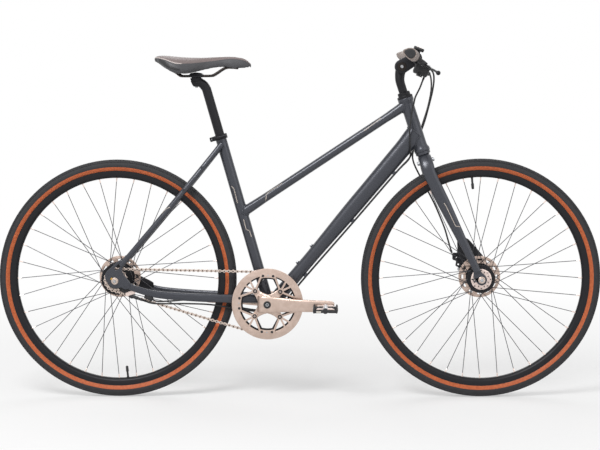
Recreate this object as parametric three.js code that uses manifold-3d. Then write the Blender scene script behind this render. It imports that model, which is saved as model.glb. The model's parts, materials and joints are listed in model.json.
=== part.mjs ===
// A step-through bicycle: sloping top tube, internally geared rear hub with one chain and a
// guard ring, cable roller brakes on both hubs, an adjustable quill stem and a flat handlebar.
// Millimetres. +X is forward, +Y is the rider's left and +Z is up. The origin is on the ground,
// halfway between the wheel axles. The chain is on the right, at negative Y.
import * as THREE from 'three';
import { mergeVertices } from 'three/addons/utils/BufferGeometryUtils.js';
import Module from 'manifold-3d';

const wasm = await Module();
wasm.setup();

// Clearances and overruns that many pieces share.
const gap = 0.3;
const overrun = 4;
const sink = 1.5;
const mergeDistance = 1e-4;

// Frame layout.
const wheelbase = 1065;
const wheelRadius = 350;
const chainstayLength = 448;
const bottomBracketDrop = 70;
const seatAngle = 74.2;
const headAngle = 72;
const forkOffset = 47;
const seatTubeLength = 511;
const headTubeLength = 163;
const headTubeBottom = 406;
const topTubeOnSeatTube = 273;
const topTubeBelowHeadTop = 18;
const downTubeAboveHeadBottom = 58;
const downTubeBracketOffset = 12;
const frontHubWidth = 100;
const rearHubWidth = 135;

// Tubes.
const seatTubeDiameter = 32;
const seatPostDiameter = 27.2;
const bracketShellDiameter = 42;
const bracketShellWidth = 68;
const bracketBore = 34;
const headTubeRadius = 19;
const headCupRadius = 23;
const headCupLength = 9;
const headFlareLength = 24;
const steererRadius = 14.3;
const steererWall = 1.3;
const topTubeHeight = 25;
const topTubeWidth = 32;
const topTubeRidgeShare = 0.42;
const downTubeLowHeight = 38;
const downTubeLowWidth = 36;
const downTubeHighWidth = 42;
const chainstayHeight = 25;
const chainstayWidth = 14;
const chainstayEndHeight = 18;
const chainstayEndWidth = 10;
const seatstayDiameter = 17;
const dropoutThickness = 6;
const bossRadius = 6;
const bossHeight = 3;
const bossSpacing = 64;
const bossBoreRadius = 2.5;

// Wheels.
const tyreWidth = 40;
const tyreHeight = 40;
const rimHookHeight = 7;
const rimDepth = 21;
const beadRadius = wheelRadius - tyreHeight;
const rimOuterRadius = beadRadius + rimHookHeight;
const rimInnerRadius = rimOuterRadius - rimDepth;
const rimWidth = 25.6;
const rimWall = 2.2;
const rimBedDepth = 7.5;
const spokeCount = 36;
const spokeRadius = 1.1;
const spokeClearance = 0.1;
const spokeCrossings = 2;
const wheelSegments = 28;
const tubeSegments = 14;
const hubSegments = 14;
const smallSegments = 8;
const cableSides = 6;
const axleRadius = 5;
const axleCollarRadius = 9;
const nutAcross = 15;
const nutLength = 8.5;
const axleOverhang = 1.6;

// Chain and chainwheels.
const chainPitch = 12.7;
const ringTeeth = 46;
const sprocketTeeth = 16;
const chainLine = 44.5;
const plateHeight = 8.2;
const plateThickness = 1.1;
const chainInnerWidth = 3.6;
const chainBulge = 0.5;
const waistShare = 0.62;
const windowShare = 0.44;
const toothThickness = 2.3;
const toothTipHeight = 3.4;
const toothBaseShare = 0.33;

// Crank set.
const crankLength = 170;
const crankAngle = -1.5;
const crankFace = 58;
const crankThickness = 13;
const crankOffset = 8;
const crankRootWidth = 46;
const spiderThickness = 3.4;
const boltCircle = 104;
const boltCount = 4;
const guardRadius = 104;
const guardBand = 21;
const guardThickness = 2.6;
const guardBossRadius = 10;
const pedalLength = 94;
const pedalWidth = 71;
const pedalThickness = 17;
const pedalSpindleRadius = 6;

const degree = Math.PI / 180;
const halfWheelbase = wheelbase / 2;

function vector(x, y, z) {
  return new THREE.Vector3(x, y, z);
}

// A unit vector in the frame's own plane, at an angle above the forward direction.
function heading(angle) {
  return vector(Math.cos(angle * degree), 0, Math.sin(angle * degree));
}

function along(start, ...steps) {
  const end = start.clone();
  for (const [direction, distance] of steps) {
    end.addScaledVector(direction, distance);
  }
  return end;
}

const sideways = vector(0, 1, 0);
const upward = vector(0, 0, 1);
const rearAxle = vector(-halfWheelbase, 0, wheelRadius);
const frontAxle = vector(halfWheelbase, 0, wheelRadius);
const bracketReach = Math.sqrt(chainstayLength ** 2 - bottomBracketDrop ** 2);
const bracket = vector(rearAxle.x + bracketReach, 0, wheelRadius - bottomBracketDrop);
const seatDirection = heading(180 - seatAngle);
const seatForward = heading(90 - seatAngle);
const steerDirection = heading(180 - headAngle);
const steerForward = heading(90 - headAngle);
const steerFoot = along(frontAxle, [steerForward, -forkOffset]);

// A point on the steering axis, at a height along it, some way ahead of it and to one side.
function onSteerer(height, ahead = 0, side = 0) {
  return along(steerFoot, [steerDirection, height], [steerForward, ahead], [sideways, side]);
}

function onSeatTube(height, ahead = 0, side = 0) {
  return along(bracket, [seatDirection, height], [seatForward, ahead], [sideways, side]);
}

// Geometry helpers.

function signedVolume(points, triangles) {
  let volume = 0;
  const corner = [vector(0, 0, 0), vector(0, 0, 0), vector(0, 0, 0)];
  for (let i = 0; i < triangles.length; i += 3) {
    corner.forEach((p, k) => p.fromArray(points, 3 * triangles[i + k]));
    volume += corner[0].dot(corner[1].cross(corner[2]));
  }
  return volume;
}

// A closed geometry becomes a solid whose faces point out.
function solid(geometry) {
  const bare = new THREE.BufferGeometry();
  bare.setAttribute('position', geometry.getAttribute('position').clone());
  if (geometry.index) {
    bare.setIndex(geometry.index.clone());
  }
  const merged = mergeVertices(bare, mergeDistance);
  const vertProperties = Float32Array.from(merged.getAttribute('position').array);
  const triVerts = Uint32Array.from(merged.index.array);
  if (signedVolume(vertProperties, triVerts) < 0) {
    triVerts.reverse();
  }
  return new wasm.Manifold(new wasm.Mesh({ numProp: 3, vertProperties, triVerts }));
}

function union(...solids) {
  return solids.reduce((whole, next) => whole.add(next));
}

function cut(whole, ...tools) {
  return tools.reduce((rest, tool) => rest.subtract(tool), whole);
}

// Moves a solid so that its own Y axis lies along a direction from a point.
function stand(piece, origin, direction, forward) {
  const across = new THREE.Vector3().crossVectors(forward, direction);
  const basis = new THREE.Matrix4().makeBasis(forward, direction, across);
  basis.setPosition(origin);
  return piece.transform(basis.elements);
}

function shift(piece, offset) {
  return piece.translate(offset.toArray());
}

// A body of revolution about the Y axis. Profile points are [along the axis, radius].
// A ring's profile is closed, and a profile that starts and ends on the axis is left as it is.
function turned(profile, segments = hubSegments) {
  const points = profile.map(([axial, radius]) => new THREE.Vector2(radius, axial));
  if (profile[0][1] > 0) {
    points.push(points[0].clone());
  }
  return solid(new THREE.LatheGeometry(points, segments));
}

function ring(innerRadius, outerRadius, from, to, segments = hubSegments) {
  return turned([[from, innerRadius], [from, outerRadius], [to, outerRadius], [to, innerRadius]],
    segments);
}

function rod(radius, from, to, segments = hubSegments) {
  return turned([[from, 0], [from, radius], [to, radius], [to, 0]], segments);
}

// The radius of a bore with flat sides in which a shaft still turns with a gap all round.
function turningBore(shaftRadius, segments = hubSegments) {
  return (shaftRadius + gap) / Math.cos(Math.PI / segments);
}

// A side-view outline, [x, z] points, given thickness along Y.
function plate(outline, from, to, holes = []) {
  const shape = new THREE.Shape(outline.map(([x, z]) => new THREE.Vector2(x, z)));
  for (const hole of holes) {
    shape.holes.push(new THREE.Path(hole.map(([x, z]) => new THREE.Vector2(x, z))));
  }
  const geometry = new THREE.ExtrudeGeometry(shape, { depth: to - from, bevelEnabled: false });
  geometry.rotateX(Math.PI / 2);
  geometry.scale(1, -1, 1);
  geometry.translate(0, from, 0);
  return solid(geometry);
}

// A closed skin through sections that each have the same number of points. Its ends are "flat",
// or "hollowed" for sections that bend inwards, which are closed from their middle. "joined" has
// no ends, because the last section meets the first.
function loft(sections, ends = 'flat') {
  const count = sections[0].length;
  const corners = sections.flat();
  const faces = [];
  const runs = ends === 'joined' ? sections.length : sections.length - 1;
  for (let s = 0; s < runs; s += 1) {
    const near = s * count;
    const far = (s + 1) % sections.length * count;
    for (let i = 0; i < count; i += 1) {
      const j = (i + 1) % count;
      faces.push(near + i, near + j, far + j, near + i, far + j, far + i);
    }
  }
  const last = (sections.length - 1) * count;
  for (let i = 1; i + 1 < count && ends === 'flat'; i += 1) {
    faces.push(0, i + 1, i, last, last + i, last + i + 1);
  }
  if (ends === 'hollowed') {
    for (const edge of [sections[0], sections[sections.length - 1]]) {
      corners.push(edge.reduce((sum, p) => sum.add(p), vector(0, 0, 0)).divideScalar(count));
    }
    const middle = corners.length - 2;
    for (let i = 0; i < count; i += 1) {
      const j = (i + 1) % count;
      faces.push(middle, j, i, middle + 1, last + i, last + j);
    }
  }
  const geometry = new THREE.BufferGeometry();
  geometry.setAttribute('position', new THREE.Float32BufferAttribute(corners.flatMap(
    (p) => p.toArray()), 3));
  geometry.setIndex(faces);
  return solid(geometry);
}

// A rounded section: an ellipse when the power is 1, squarer as the power falls.
function section(centre, across, up, halfWidth, halfHeight, sides, power = 1) {
  const points = [];
  for (let i = 0; i < sides; i += 1) {
    const turn = (i + 0.5) * 2 * Math.PI / sides;
    const c = Math.cos(turn);
    const s = Math.sin(turn);
    const x = Math.sign(c) * Math.abs(c) ** power * halfWidth;
    const y = Math.sign(s) * Math.abs(s) ** power * halfHeight;
    points.push(along(centre, [across, x], [up, y]));
  }
  return points;
}

// Sections along a smooth line through knots of { at, width, height }.
function sweptTube(knots, steps, sides, power = 1, upHint = upward) {
  const line = new THREE.CatmullRomCurve3(knots.map((k) => k.at), false, 'centripetal');
  const sections = [];
  for (let i = 0; i <= steps; i += 1) {
    const t = i / steps;
    const at = line.getPoint(t);
    const forward = line.getTangent(t);
    const across = new THREE.Vector3().crossVectors(upHint, forward).normalize();
    const up = new THREE.Vector3().crossVectors(forward, across);
    const place = t * (knots.length - 1);
    const first = Math.min(Math.floor(place), knots.length - 2);
    const blend = place - first;
    const halfWidth = THREE.MathUtils.lerp(knots[first].width, knots[first + 1].width, blend) / 2;
    const halfHeight = THREE.MathUtils.lerp(knots[first].height, knots[first + 1].height, blend) / 2;
    sections.push(section(at, across, up, halfWidth, halfHeight, sides, power));
  }
  return loft(sections);
}

// A round wire or cable along a curve.
function wire(points, radius, steps, sides) {
  const shape = new THREE.Shape();
  for (let i = 0; i < sides; i += 1) {
    const turn = i * 2 * Math.PI / sides;
    const [x, y] = [radius * Math.cos(turn), radius * Math.sin(turn)];
    if (i === 0) {
      shape.moveTo(x, y);
    } else {
      shape.lineTo(x, y);
    }
  }
  const extrudePath = new THREE.CatmullRomCurve3(points, false, 'centripetal');
  return solid(new THREE.ExtrudeGeometry(shape, { steps, extrudePath, bevelEnabled: false }));
}

function circlePoints(x, z, radius, count, start = 0) {
  const points = [];
  for (let i = 0; i < count; i += 1) {
    const turn = start + i * 2 * Math.PI / count;
    points.push([x + radius * Math.cos(turn), z + radius * Math.sin(turn)]);
  }
  return points;
}

// The assembly.

const bicycle = new THREE.Group();

const finishes = {
  framePaint: { color: 0x4a4b52, roughness: 0.5, metalness: 0.4 },
  black: { color: 0x17171a, roughness: 0.5, metalness: 0.2 },
  darkGrey: { color: 0x2b2a2d, roughness: 0.6, metalness: 0.2 },
  champagne: { color: 0xc9ae9e, roughness: 0.35, metalness: 0.8 },
  silver: { color: 0xb9b9bc, roughness: 0.3, metalness: 0.9 },
  paleAlloy: { color: 0xc4bfb8, roughness: 0.4, metalness: 0.7 },
  nickel: { color: 0xb8a79a, roughness: 0.35, metalness: 0.8 },
  rubber: { color: 0x1c1c1e, roughness: 0.9, metalness: 0 },
  taupe: { color: 0x8d7f78, roughness: 0.8, metalness: 0 },
};

function add(name, piece, finish) {
  const mesh = piece.getMesh();
  const geometry = new THREE.BufferGeometry();
  const stride = mesh.numProp;
  const points = new Float32Array(mesh.vertProperties.length / stride * 3);
  for (let i = 0; i < points.length / 3; i += 1) {
    points.set(mesh.vertProperties.subarray(i * stride, i * stride + 3), i * 3);
  }
  geometry.setAttribute('position', new THREE.BufferAttribute(points, 3));
  geometry.setIndex(new THREE.BufferAttribute(mesh.triVerts, 1));
  geometry.computeVertexNormals();
  const node = new THREE.Mesh(geometry, new THREE.MeshStandardMaterial(finishes[finish]));
  node.name = name;
  bicycle.add(node);
  return piece;
}

// Head tube, seat tube and bottom bracket shell.

const headTubeTop = headTubeBottom + headTubeLength;
const headBore = steererRadius + 1.5;

function headTubeOuter(grow = 0) {
  return [
    [headTubeBottom - grow, headCupRadius + grow],
    [headTubeBottom + headCupLength, headCupRadius + grow],
    [headTubeBottom + headFlareLength, headTubeRadius + grow],
    [headTubeTop - headFlareLength, headTubeRadius + grow],
    [headTubeTop - headCupLength, headCupRadius + grow],
    [headTubeTop + grow, headCupRadius + grow],
  ];
}

function onSteering(profile, segments = hubSegments) {
  return stand(turned(profile, segments), steerFoot, steerDirection, steerForward);
}

function headTubeEnvelope(grow) {
  const outer = headTubeOuter(grow);
  return onSteering([[outer[0][0], 0], ...outer, [outer[outer.length - 1][0], 0]]);
}

function headTube() {
  return onSteering([[headTubeBottom, headBore], ...headTubeOuter(), [headTubeTop, headBore]]);
}

function onSeat(profile, segments = hubSegments) {
  return stand(turned(profile, segments), bracket, seatDirection, seatForward);
}

function seatTubeEnvelope(grow) {
  const radius = seatTubeDiameter / 2 + grow;
  return union(onSeat([[0, 0], [0, radius], [seatTubeLength, radius], [seatTubeLength, 0]]),
    shift(rod(bracketShellDiameter / 2 + grow, -bracketShellWidth / 2, bracketShellWidth / 2),
      bracket));
}

const seatBoreDepth = 170;

function seatTube() {
  const bore = seatPostDiameter / 2 + gap;
  const boreFloor = seatTubeLength - seatBoreDepth;
  const reach = seatTubeLength + overrun;
  return cut(seatTubeEnvelope(0),
    onSeat([[boreFloor, 0], [boreFloor, bore], [reach, bore], [reach, 0]]),
    shift(rod(bracketBore / 2, -bracketShellWidth, bracketShellWidth), bracket));
}

// Top tube: a ridge runs along each side, above the middle.

function topTubeSection(at, across, up, width, height) {
  const halfWidth = width / 2;
  const halfHeight = height / 2;
  const ridge = halfHeight * (1 - 2 * topTubeRidgeShare);
  const shares = [
    [1, ridge / halfHeight], [0.62, 0.86], [0.2, 1], [-0.2, 1], [-0.62, 0.86],
    [-1, ridge / halfHeight], [-0.8, -0.55], [-0.36, -1], [0.36, -1], [0.8, -0.55],
  ];
  return shares.map(([x, y]) => along(at, [across, x * halfWidth], [up, y * halfHeight]));
}

const topTubeStart = onSeatTube(topTubeOnSeatTube);
const topTubeEnd = onSteerer(headTubeTop - topTubeBelowHeadTop);
const topTubeFlareShares = [[0, 1.16], [0.16, 1], [0.86, 1], [0.94, 1.12], [1, 1.3]];

function topTube() {
  const run = topTubeEnd.clone().sub(topTubeStart);
  const forward = run.clone().normalize();
  const up = new THREE.Vector3().crossVectors(forward, sideways);
  const sections = topTubeFlareShares.map(([t, flare]) => topTubeSection(
    along(topTubeStart, [run, t]), sideways, up, topTubeWidth, topTubeHeight * flare));
  return cut(loft(sections), headTubeEnvelope(gap), seatTubeEnvelope(gap));
}

// Down tube: flattened from side to side, deepest behind the head tube.

const downTubeEnd = onSteerer(headTubeBottom + downTubeAboveHeadBottom);
const bracketToHead = downTubeEnd.clone().sub(bracket);
const downTubeLean = Math.asin(downTubeBracketOffset / bracketToHead.length()) / degree;
const downTubeAngle = Math.atan2(bracketToHead.z, bracketToHead.x) / degree + downTubeLean;
const downTubeForward = heading(downTubeAngle);
const downTubeUp = heading(downTubeAngle + 90);
const downTubeLength = bracketToHead.length() * Math.cos(downTubeLean * degree);
const downTubeStart = along(downTubeEnd, [downTubeForward, -downTubeLength]);
const downTubeHeightShares = [[0, 1.08], [0.25, 1], [0.62, 1.24], [0.9, 1.32], [1, 1.5]];
const lowerBossShare = 0.255;
const downTubeSides = 10;

function downTubeHeightAt(t) {
  const next = downTubeHeightShares.findIndex(([place]) => place >= t);
  const [b, after] = downTubeHeightShares[Math.max(next, 1)];
  const [a, before] = downTubeHeightShares[Math.max(next, 1) - 1];
  return downTubeLowHeight * THREE.MathUtils.mapLinear(t, a, b, before, after);
}

function downTubeSkin(grow) {
  const sections = downTubeHeightShares.map(([t]) => {
    const width = THREE.MathUtils.lerp(downTubeLowWidth, downTubeHighWidth, t);
    return section(along(downTubeStart, [downTubeForward, t * downTubeLength]), sideways,
      downTubeUp, width / 2 + grow, downTubeHeightAt(t) / 2 + grow, downTubeSides);
  });
  return loft(sections);
}

function bossAt(index) {
  const distance = lowerBossShare * downTubeLength + index * bossSpacing;
  const lift = downTubeHeightAt(distance / downTubeLength) / 2;
  const foot = along(downTubeStart, [downTubeForward, distance], [downTubeUp, lift]);
  const boss = stand(rod(bossRadius, -overrun, bossHeight, smallSegments), foot, downTubeUp,
    downTubeForward);
  const bore = stand(rod(bossBoreRadius, -overrun, bossHeight + overrun, 6), foot, downTubeUp,
    downTubeForward);
  return { boss, bore };
}

// Cable guides under the down tube hold two cables side by side.
const cableRadius = 2.5;
const cableSpacing = 14;
const cableDrop = 5.5;
const guideShares = [0.2, 0.52, 0.8];
const guideLength = 12;
const guideWidth = 27;
const guideDepth = 9.5;

function cableUnderDownTube(t, side) {
  const drop = -downTubeHeightAt(t) / 2 - cableDrop;
  return along(downTubeStart, [downTubeForward, t * downTubeLength], [downTubeUp, drop],
    [sideways, side * cableSpacing / 2]);
}

function cableGuide(t) {
  const middle = cableUnderDownTube(t, 0);
  const block = new THREE.BoxGeometry(guideLength, guideWidth, guideDepth);
  const basis = new THREE.Matrix4().makeBasis(downTubeForward, sideways.clone().negate(),
    downTubeUp.clone().negate());
  basis.setPosition(along(middle, [downTubeUp, guideDepth / 2 - cableRadius]));
  return solid(block.applyMatrix4(basis));
}

// Rear dropouts and stays.

const dropoutFace = rearHubWidth / 2 + gap;
const dropoutCentre = dropoutFace + dropoutThickness / 2;
const dropoutRadius = 17;
const slotWidth = 2 * (axleRadius + gap);
const slotSlope = 12;
const seatstayFoot = vector(17, 0, 44);
const dropoutPlateShares = [
  [-1.1, -0.1], [-0.8, -0.75], [-0.2, -1], [0.6, -1], [1.1, -0.9], [2.5, -1.2], [2.7, -0.35],
  [1.35, 0.15], [1.15, 0.9], [1.45, 2.45], [0.62, 2.7], [0, 1.2], [-0.7, 0.9],
];

function dropout(side) {
  const outline = dropoutPlateShares.map(([x, z]) => [
    rearAxle.x + x * dropoutRadius, rearAxle.z + z * dropoutRadius,
  ]);
  const slot = new THREE.BoxGeometry(2 * dropoutRadius, 2 * dropoutThickness, slotWidth);
  slot.translate(-dropoutRadius, 0, 0);
  slot.rotateY(slotSlope * degree);
  slot.translate(rearAxle.x, side * dropoutCentre, rearAxle.z);
  const from = side * dropoutCentre - dropoutThickness / 2;
  const round = shift(rod(axleRadius + gap, -dropoutThickness, dropoutThickness, 10),
    vector(rearAxle.x, side * dropoutCentre, rearAxle.z));
  return cut(plate(outline, from, from + dropoutThickness), solid(slot), round);
}

// Chainstays run level behind the bracket, then sweep up to the dropouts.
const chainstayPathShares = [
  // [share of the way from the bracket to the axle, height above the bracket over the drop,
  //  half spacing over half the hub width, size blend]
  [0.02, 0.17, 0.3, 0], [0.1, 0.18, 0.36, 0], [0.25, 0.2, 0.52, 0], [0.5, 0.27, 0.68, 0.25],
  [0.72, 0.4, 0.82, 0.6], [0.84, 0.6, 0.93, 0.85], [0.935, 0.84, 1.035, 1],
];
const chainstaySteps = 6;
const staySides = 8;

function chainstayPoint(shares, side) {
  const [back, rise, spread] = shares;
  return vector(bracket.x - back * bracketReach, side * spread * rearHubWidth / 2,
    bracket.z + rise * bottomBracketDrop);
}

function chainstay(side) {
  const knots = chainstayPathShares.map((shares) => ({
    at: chainstayPoint(shares, side),
    width: THREE.MathUtils.lerp(chainstayWidth, chainstayEndWidth, shares[3]),
    height: THREE.MathUtils.lerp(chainstayHeight, chainstayEndHeight, shares[3]),
  }));
  const tube = cut(sweptTube(knots, chainstaySteps, staySides, 0.8), seatTubeEnvelope(gap));
  return union(tube, dropout(side));
}

const seatstayBelowTop = 27;
const seatstayTopOnSeatTube = seatTubeLength - seatstayBelowTop;
const seatstayPathShares = [
  // [share of the way down, half spacing over half the hub width, sag behind the straight line]
  [0, 0.25, 0], [0.1, 0.36, 0.004], [0.3, 0.6, 0.008], [0.6, 0.84, 0.008], [0.85, 0.98, 0.004],
  [1, 1.04, 0],
];
const seatstaySteps = 5;
const bridgeShare = 0.155;
const bridgeRadius = 7;
const eyeletShares = [0.19, 0.37];
const eyeletRadius = 5.2;
const eyeletHeight = 2;

function seatstayPoint(shares, side) {
  const [down, spread, sag] = shares;
  const top = onSeatTube(seatstayTopOnSeatTube);
  const foot = rearAxle.clone().add(seatstayFoot);
  const run = foot.clone().sub(top);
  const point = along(top, [run, down], [upward, -sag * run.length()]);
  point.y = side * spread * rearHubWidth / 2;
  return point;
}

function seatstayAt(share, side) {
  const next = seatstayPathShares.findIndex(([down]) => down >= share);
  const [a, b] = [seatstayPathShares[next - 1], seatstayPathShares[next]];
  const blend = (share - a[0]) / (b[0] - a[0]);
  return seatstayPoint(a.map((value, i) => THREE.MathUtils.lerp(value, b[i], blend)), side);
}

function eyelet(share, side) {
  const outside = vector(0, side, 0);
  const foot = along(seatstayAt(share, side), [outside, seatstayDiameter / 2]);
  const boss = rod(eyeletRadius, -overrun, eyeletHeight, smallSegments);
  return stand(boss, foot, outside, upward.clone().multiplyScalar(side));
}

function seatstay(side) {
  const knots = seatstayPathShares.map((shares) => ({
    at: seatstayPoint(shares, side), width: seatstayDiameter, height: seatstayDiameter,
  }));
  const tube = cut(sweptTube(knots, seatstaySteps, staySides), seatTubeEnvelope(gap));
  return union(tube, ...eyeletShares.map((share) => eyelet(share, side)));
}

function bridge(length) {
  const middle = seatstayAt(bridgeShare, 1);
  middle.y = 0;
  return shift(rod(bridgeRadius, -length, length, 10), middle);
}

function frame() {
  add('head_tube', headTube(), 'framePaint');
  add('seat_tube', seatTube(), 'framePaint');
  add('top_tube', topTube(), 'framePaint');
  const bosses = [bossAt(0), bossAt(1)];
  const grooves = guideShares.flatMap((t) => [1, -1].map((side) => stand(
    rod(cableRadius + 4 * gap, -guideLength, guideLength, 6), cableUnderDownTube(t, side),
    downTubeForward, downTubeUp)));
  const downTube = cut(
    union(downTubeSkin(0), ...bosses.map(({ boss }) => boss),
      ...guideShares.map((t) => cableGuide(t))),
    headTubeEnvelope(gap), seatTubeEnvelope(gap), topTubeClear(), ...grooves,
    ...bosses.map(({ bore }) => bore));
  add('down_tube', downTube, 'framePaint');
  const [right, left] = [-1, 1].map((side) => cut(chainstay(side), downTubeSkin(gap)));
  const [rightStay, leftStay] = [-1, 1].map((side) => seatstay(side));
  const spread = seatstayAt(bridgeShare, 1).y;
  const bridgeTube = bridge(spread);
  const leftWithBridge = union(leftStay, cut(bridgeTube, seatstayClear(-1)));
  add('chainstay_right', right, 'framePaint');
  add('chainstay_left', left, 'framePaint');
  add('seatstay_right', cut(rightStay, dropoutClear(-1)), 'framePaint');
  add('seatstay_left', cut(leftWithBridge, dropoutClear(1)), 'framePaint');
}

function seatstayClear(side) {
  const knots = seatstayPathShares.map((shares) => ({
    at: seatstayPoint(shares, side),
    width: seatstayDiameter + 2 * gap,
    height: seatstayDiameter + 2 * gap,
  }));
  return sweptTube(knots, seatstaySteps, staySides);
}

function topTubeClear() {
  const run = topTubeEnd.clone().sub(topTubeStart);
  const forward = run.clone().normalize();
  const up = new THREE.Vector3().crossVectors(forward, sideways);
  return loft(topTubeFlareShares.map(([t, flare]) => topTubeSection(
    along(topTubeStart, [run, t]), sideways, up, topTubeWidth + 2 * gap,
    topTubeHeight * flare + 2 * gap)));
}

function dropoutClear(side) {
  const outline = dropoutPlateShares.map(([x, z]) => [
    rearAxle.x + x * dropoutRadius * 1.02, rearAxle.z + z * dropoutRadius * 1.02,
  ]);
  const from = side * dropoutCentre - dropoutThickness / 2 - gap;
  return plate(outline, from, from + dropoutThickness + 2 * gap);
}

// Wheels.

// Profiles are [share of the half width, radius].
const tyreFlankRise = 21;
const tyreShoulderDrop = 5.5;
const tyreFlankRadius = beadRadius + tyreFlankRise;
const tyreShoulderRadius = wheelRadius - tyreShoulderDrop;
const tyreShoulderShare = 0.7;
const beadHeight = 8;
const beadInset = rimWall + gap;
const tyreWall = 4;

function tyre(centre) {
  const half = tyreWidth / 2;
  const bead = rimWidth / 2 - beadInset;
  const crown = wheelRadius;
  const outer = [
    [bead, beadRadius], [bead, beadRadius + beadHeight], [half, tyreFlankRadius],
    [tyreShoulderShare * half, tyreShoulderRadius], [0, crown],
  ];
  const inner = [
    [bead - tyreWall, beadRadius], [half - tyreWall, tyreFlankRadius],
    [0, crown - tyreWall - sink],
  ];
  return shift(turned(closeBothSides(outer, inner), wheelSegments), centre);
}

// Joins a right-hand outer and inner half profile into one closed outline.
function closeBothSides(outer, inner) {
  const mirrored = (points) => points.filter(([a]) => a > 0).map(([a, r]) => [-a, r]);
  return [...outer, ...mirrored(outer).reverse(), ...mirrored(inner), ...[...inner].reverse()];
}

// The inner tube has fewer sides round the wheel than the tyre, so it is set in by its sagitta.
const innerTubeWidth = 22;

function innerTube(centre) {
  const crown = wheelRadius - tyreWall - sink - gap;
  const half = innerTubeWidth / 2;
  const profile = [
    [0, crown], [half, tyreFlankRadius], [0, beadRadius + beadHeight],
    [-half, tyreFlankRadius],
  ];
  return shift(turned(profile, tubeSegments), centre);
}

function rim(centre) {
  const half = rimWidth / 2;
  const bed = rimOuterRadius - rimBedDepth;
  const knee = rimInnerRadius + rimBedDepth;
  const profile = [
    [half, rimOuterRadius], [half, knee], [0, rimInnerRadius], [-half, knee],
    [-half, rimOuterRadius],
    [rimWall - half, rimOuterRadius], [rimWall - half, bed],
    [half - rimWall, bed], [half - rimWall, rimOuterRadius],
  ];
  return shift(turned(profile, wheelSegments), centre);
}

// Each spoke leaves its flange nearly along a tangent and crosses its neighbours.
function spokes(flange) {
  const pitch = 2 * Math.PI / spokeCount;
  const lean = spokeCrossings * 2 * pitch;
  const flatRadius = rimInnerRadius * Math.cos(Math.PI / wheelSegments) - gap;
  const all = [];
  for (let i = 0; i < spokeCount; i += 1) {
    const onRight = i % 2 === 0;
    const leading = Math.floor(i / 2) % 2 === 0;
    const atRim = i * pitch;
    const atHub = atRim + (leading ? lean : -lean);
    const faceSide = leading ? 1 : -1;
    const near = faceSide * spokeClearance;
    const start = vector(flange.radius * Math.cos(atHub), onRight ? flange.right : flange.left,
      flange.radius * Math.sin(atHub));
    const end = vector(flatRadius * Math.cos(atRim), 0, flatRadius * Math.sin(atRim));
    const run = end.clone().sub(start).normalize();
    const across = new THREE.Vector3().crossVectors(run, sideways).normalize();
    all.push(loft([start, end].map((at) => [
      along(at, [sideways, near], [across, -spokeRadius]),
      along(at, [sideways, near], [across, spokeRadius]),
      along(at, [sideways, near + faceSide * 1.5 * spokeRadius]),
    ])));
  }
  return wasm.Manifold.union(all);
}

const flangeThickness = 3.8;

// Hub shells are [distance from the wheel's middle plane, radius], from right to left.
const frontHub = {
  rightFlange: -31, leftFlange: 20, flangeRadius: 41, end: 25.5,
  capRadius: 31, capEnd: -37, coneRadius: 14, coneEnd: -43, barrelRadius: 33, neckRadius: 22,
};
const rearHub = {
  rightFlange: -28, leftFlange: 26, flangeRadius: 46, end: 33,
  capRadius: 31, capEnd: -34, coneRadius: 20, coneEnd: -38, barrelRadius: 38, neckRadius: 30,
};

function hub(centre, sizes) {
  const bore = turningBore(axleRadius);
  const right = sizes.rightFlange;
  const left = sizes.leftFlange;
  const shell = turned([
    [sizes.coneEnd, bore], [sizes.coneEnd, sizes.coneRadius], [sizes.capEnd, sizes.capRadius],
    [right, sizes.capRadius], [right, sizes.flangeRadius],
    [right + flangeThickness, sizes.flangeRadius], [right + flangeThickness, sizes.barrelRadius],
    [left, sizes.barrelRadius], [left, sizes.flangeRadius],
    [left + flangeThickness, sizes.flangeRadius], [left + flangeThickness, sizes.neckRadius],
    [sizes.end, sizes.neckRadius], [sizes.end, bore],
  ]);
  const flange = {
    right: right + flangeThickness / 2,
    left: left + flangeThickness / 2,
    radius: sizes.flangeRadius - sink,
  };
  return shift(union(shell, spokes(flange)), centre);
}

// The brake drum turns with the hub and carries a cooling disc with slots round it.
const coolingRadius = 61.5;
const coolingThickness = 2.6;
const coolingSlots = 8;
const slotLength = 13;
const slotBreadth = 5;
const slotRingRadius = 50;
const frontDrum = { start: frontHub.end + gap, disc: 36, radius: 33 };
const rearDrum = { start: rearHub.end + gap, disc: 46, radius: 38 };

function brakeDrum(centre, sizes) {
  const bore = turningBore(axleRadius);
  const back = sizes.disc + coolingThickness;
  const body = turned([
    [sizes.start, bore], [sizes.start, sizes.radius], [sizes.disc, sizes.radius],
    [sizes.disc, coolingRadius], [back, coolingRadius], [back, bore],
  ], 18);
  const slots = [];
  for (let i = 0; i < coolingSlots; i += 1) {
    const slot = new THREE.BoxGeometry(slotBreadth, 4 * coolingThickness, slotLength);
    slot.translate(slotRingRadius, back, 0);
    slot.rotateY(i * 2 * Math.PI / coolingSlots);
    slots.push(solid(slot));
  }
  return shift(cut(body, ...slots), centre);
}

// The fixed half of each roller brake: a cover round the axle, a reaction arm to the fork leg
// or chainstay, and a cable stop on the arm.
const brakeCover = { radius: 30, rootWidth: 44, armThickness: 3, armWidth: 24 };
const frontBrake = {
  start: frontDrum.disc + coolingThickness + gap, end: frontHubWidth / 2 - gap, armAngle: 111,
  reach: 118, stopAngle: 139.5, stopReach: 96, leverAngle: 160, leverReach: 62,
};
const rearBrake = {
  start: rearDrum.disc + coolingThickness + gap, end: rearHubWidth / 2 - gap, armAngle: -18,
  reach: 88, stopAngle: -36, stopReach: 102, leverAngle: -62, leverReach: 60,
};
const leverThickness = 3;
const leverHubRadius = 11;
const leverTipRadius = 6;
const stopRadius = 5;
const stopLength = 14;
const brakeArmDepth = 2.4;

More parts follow.
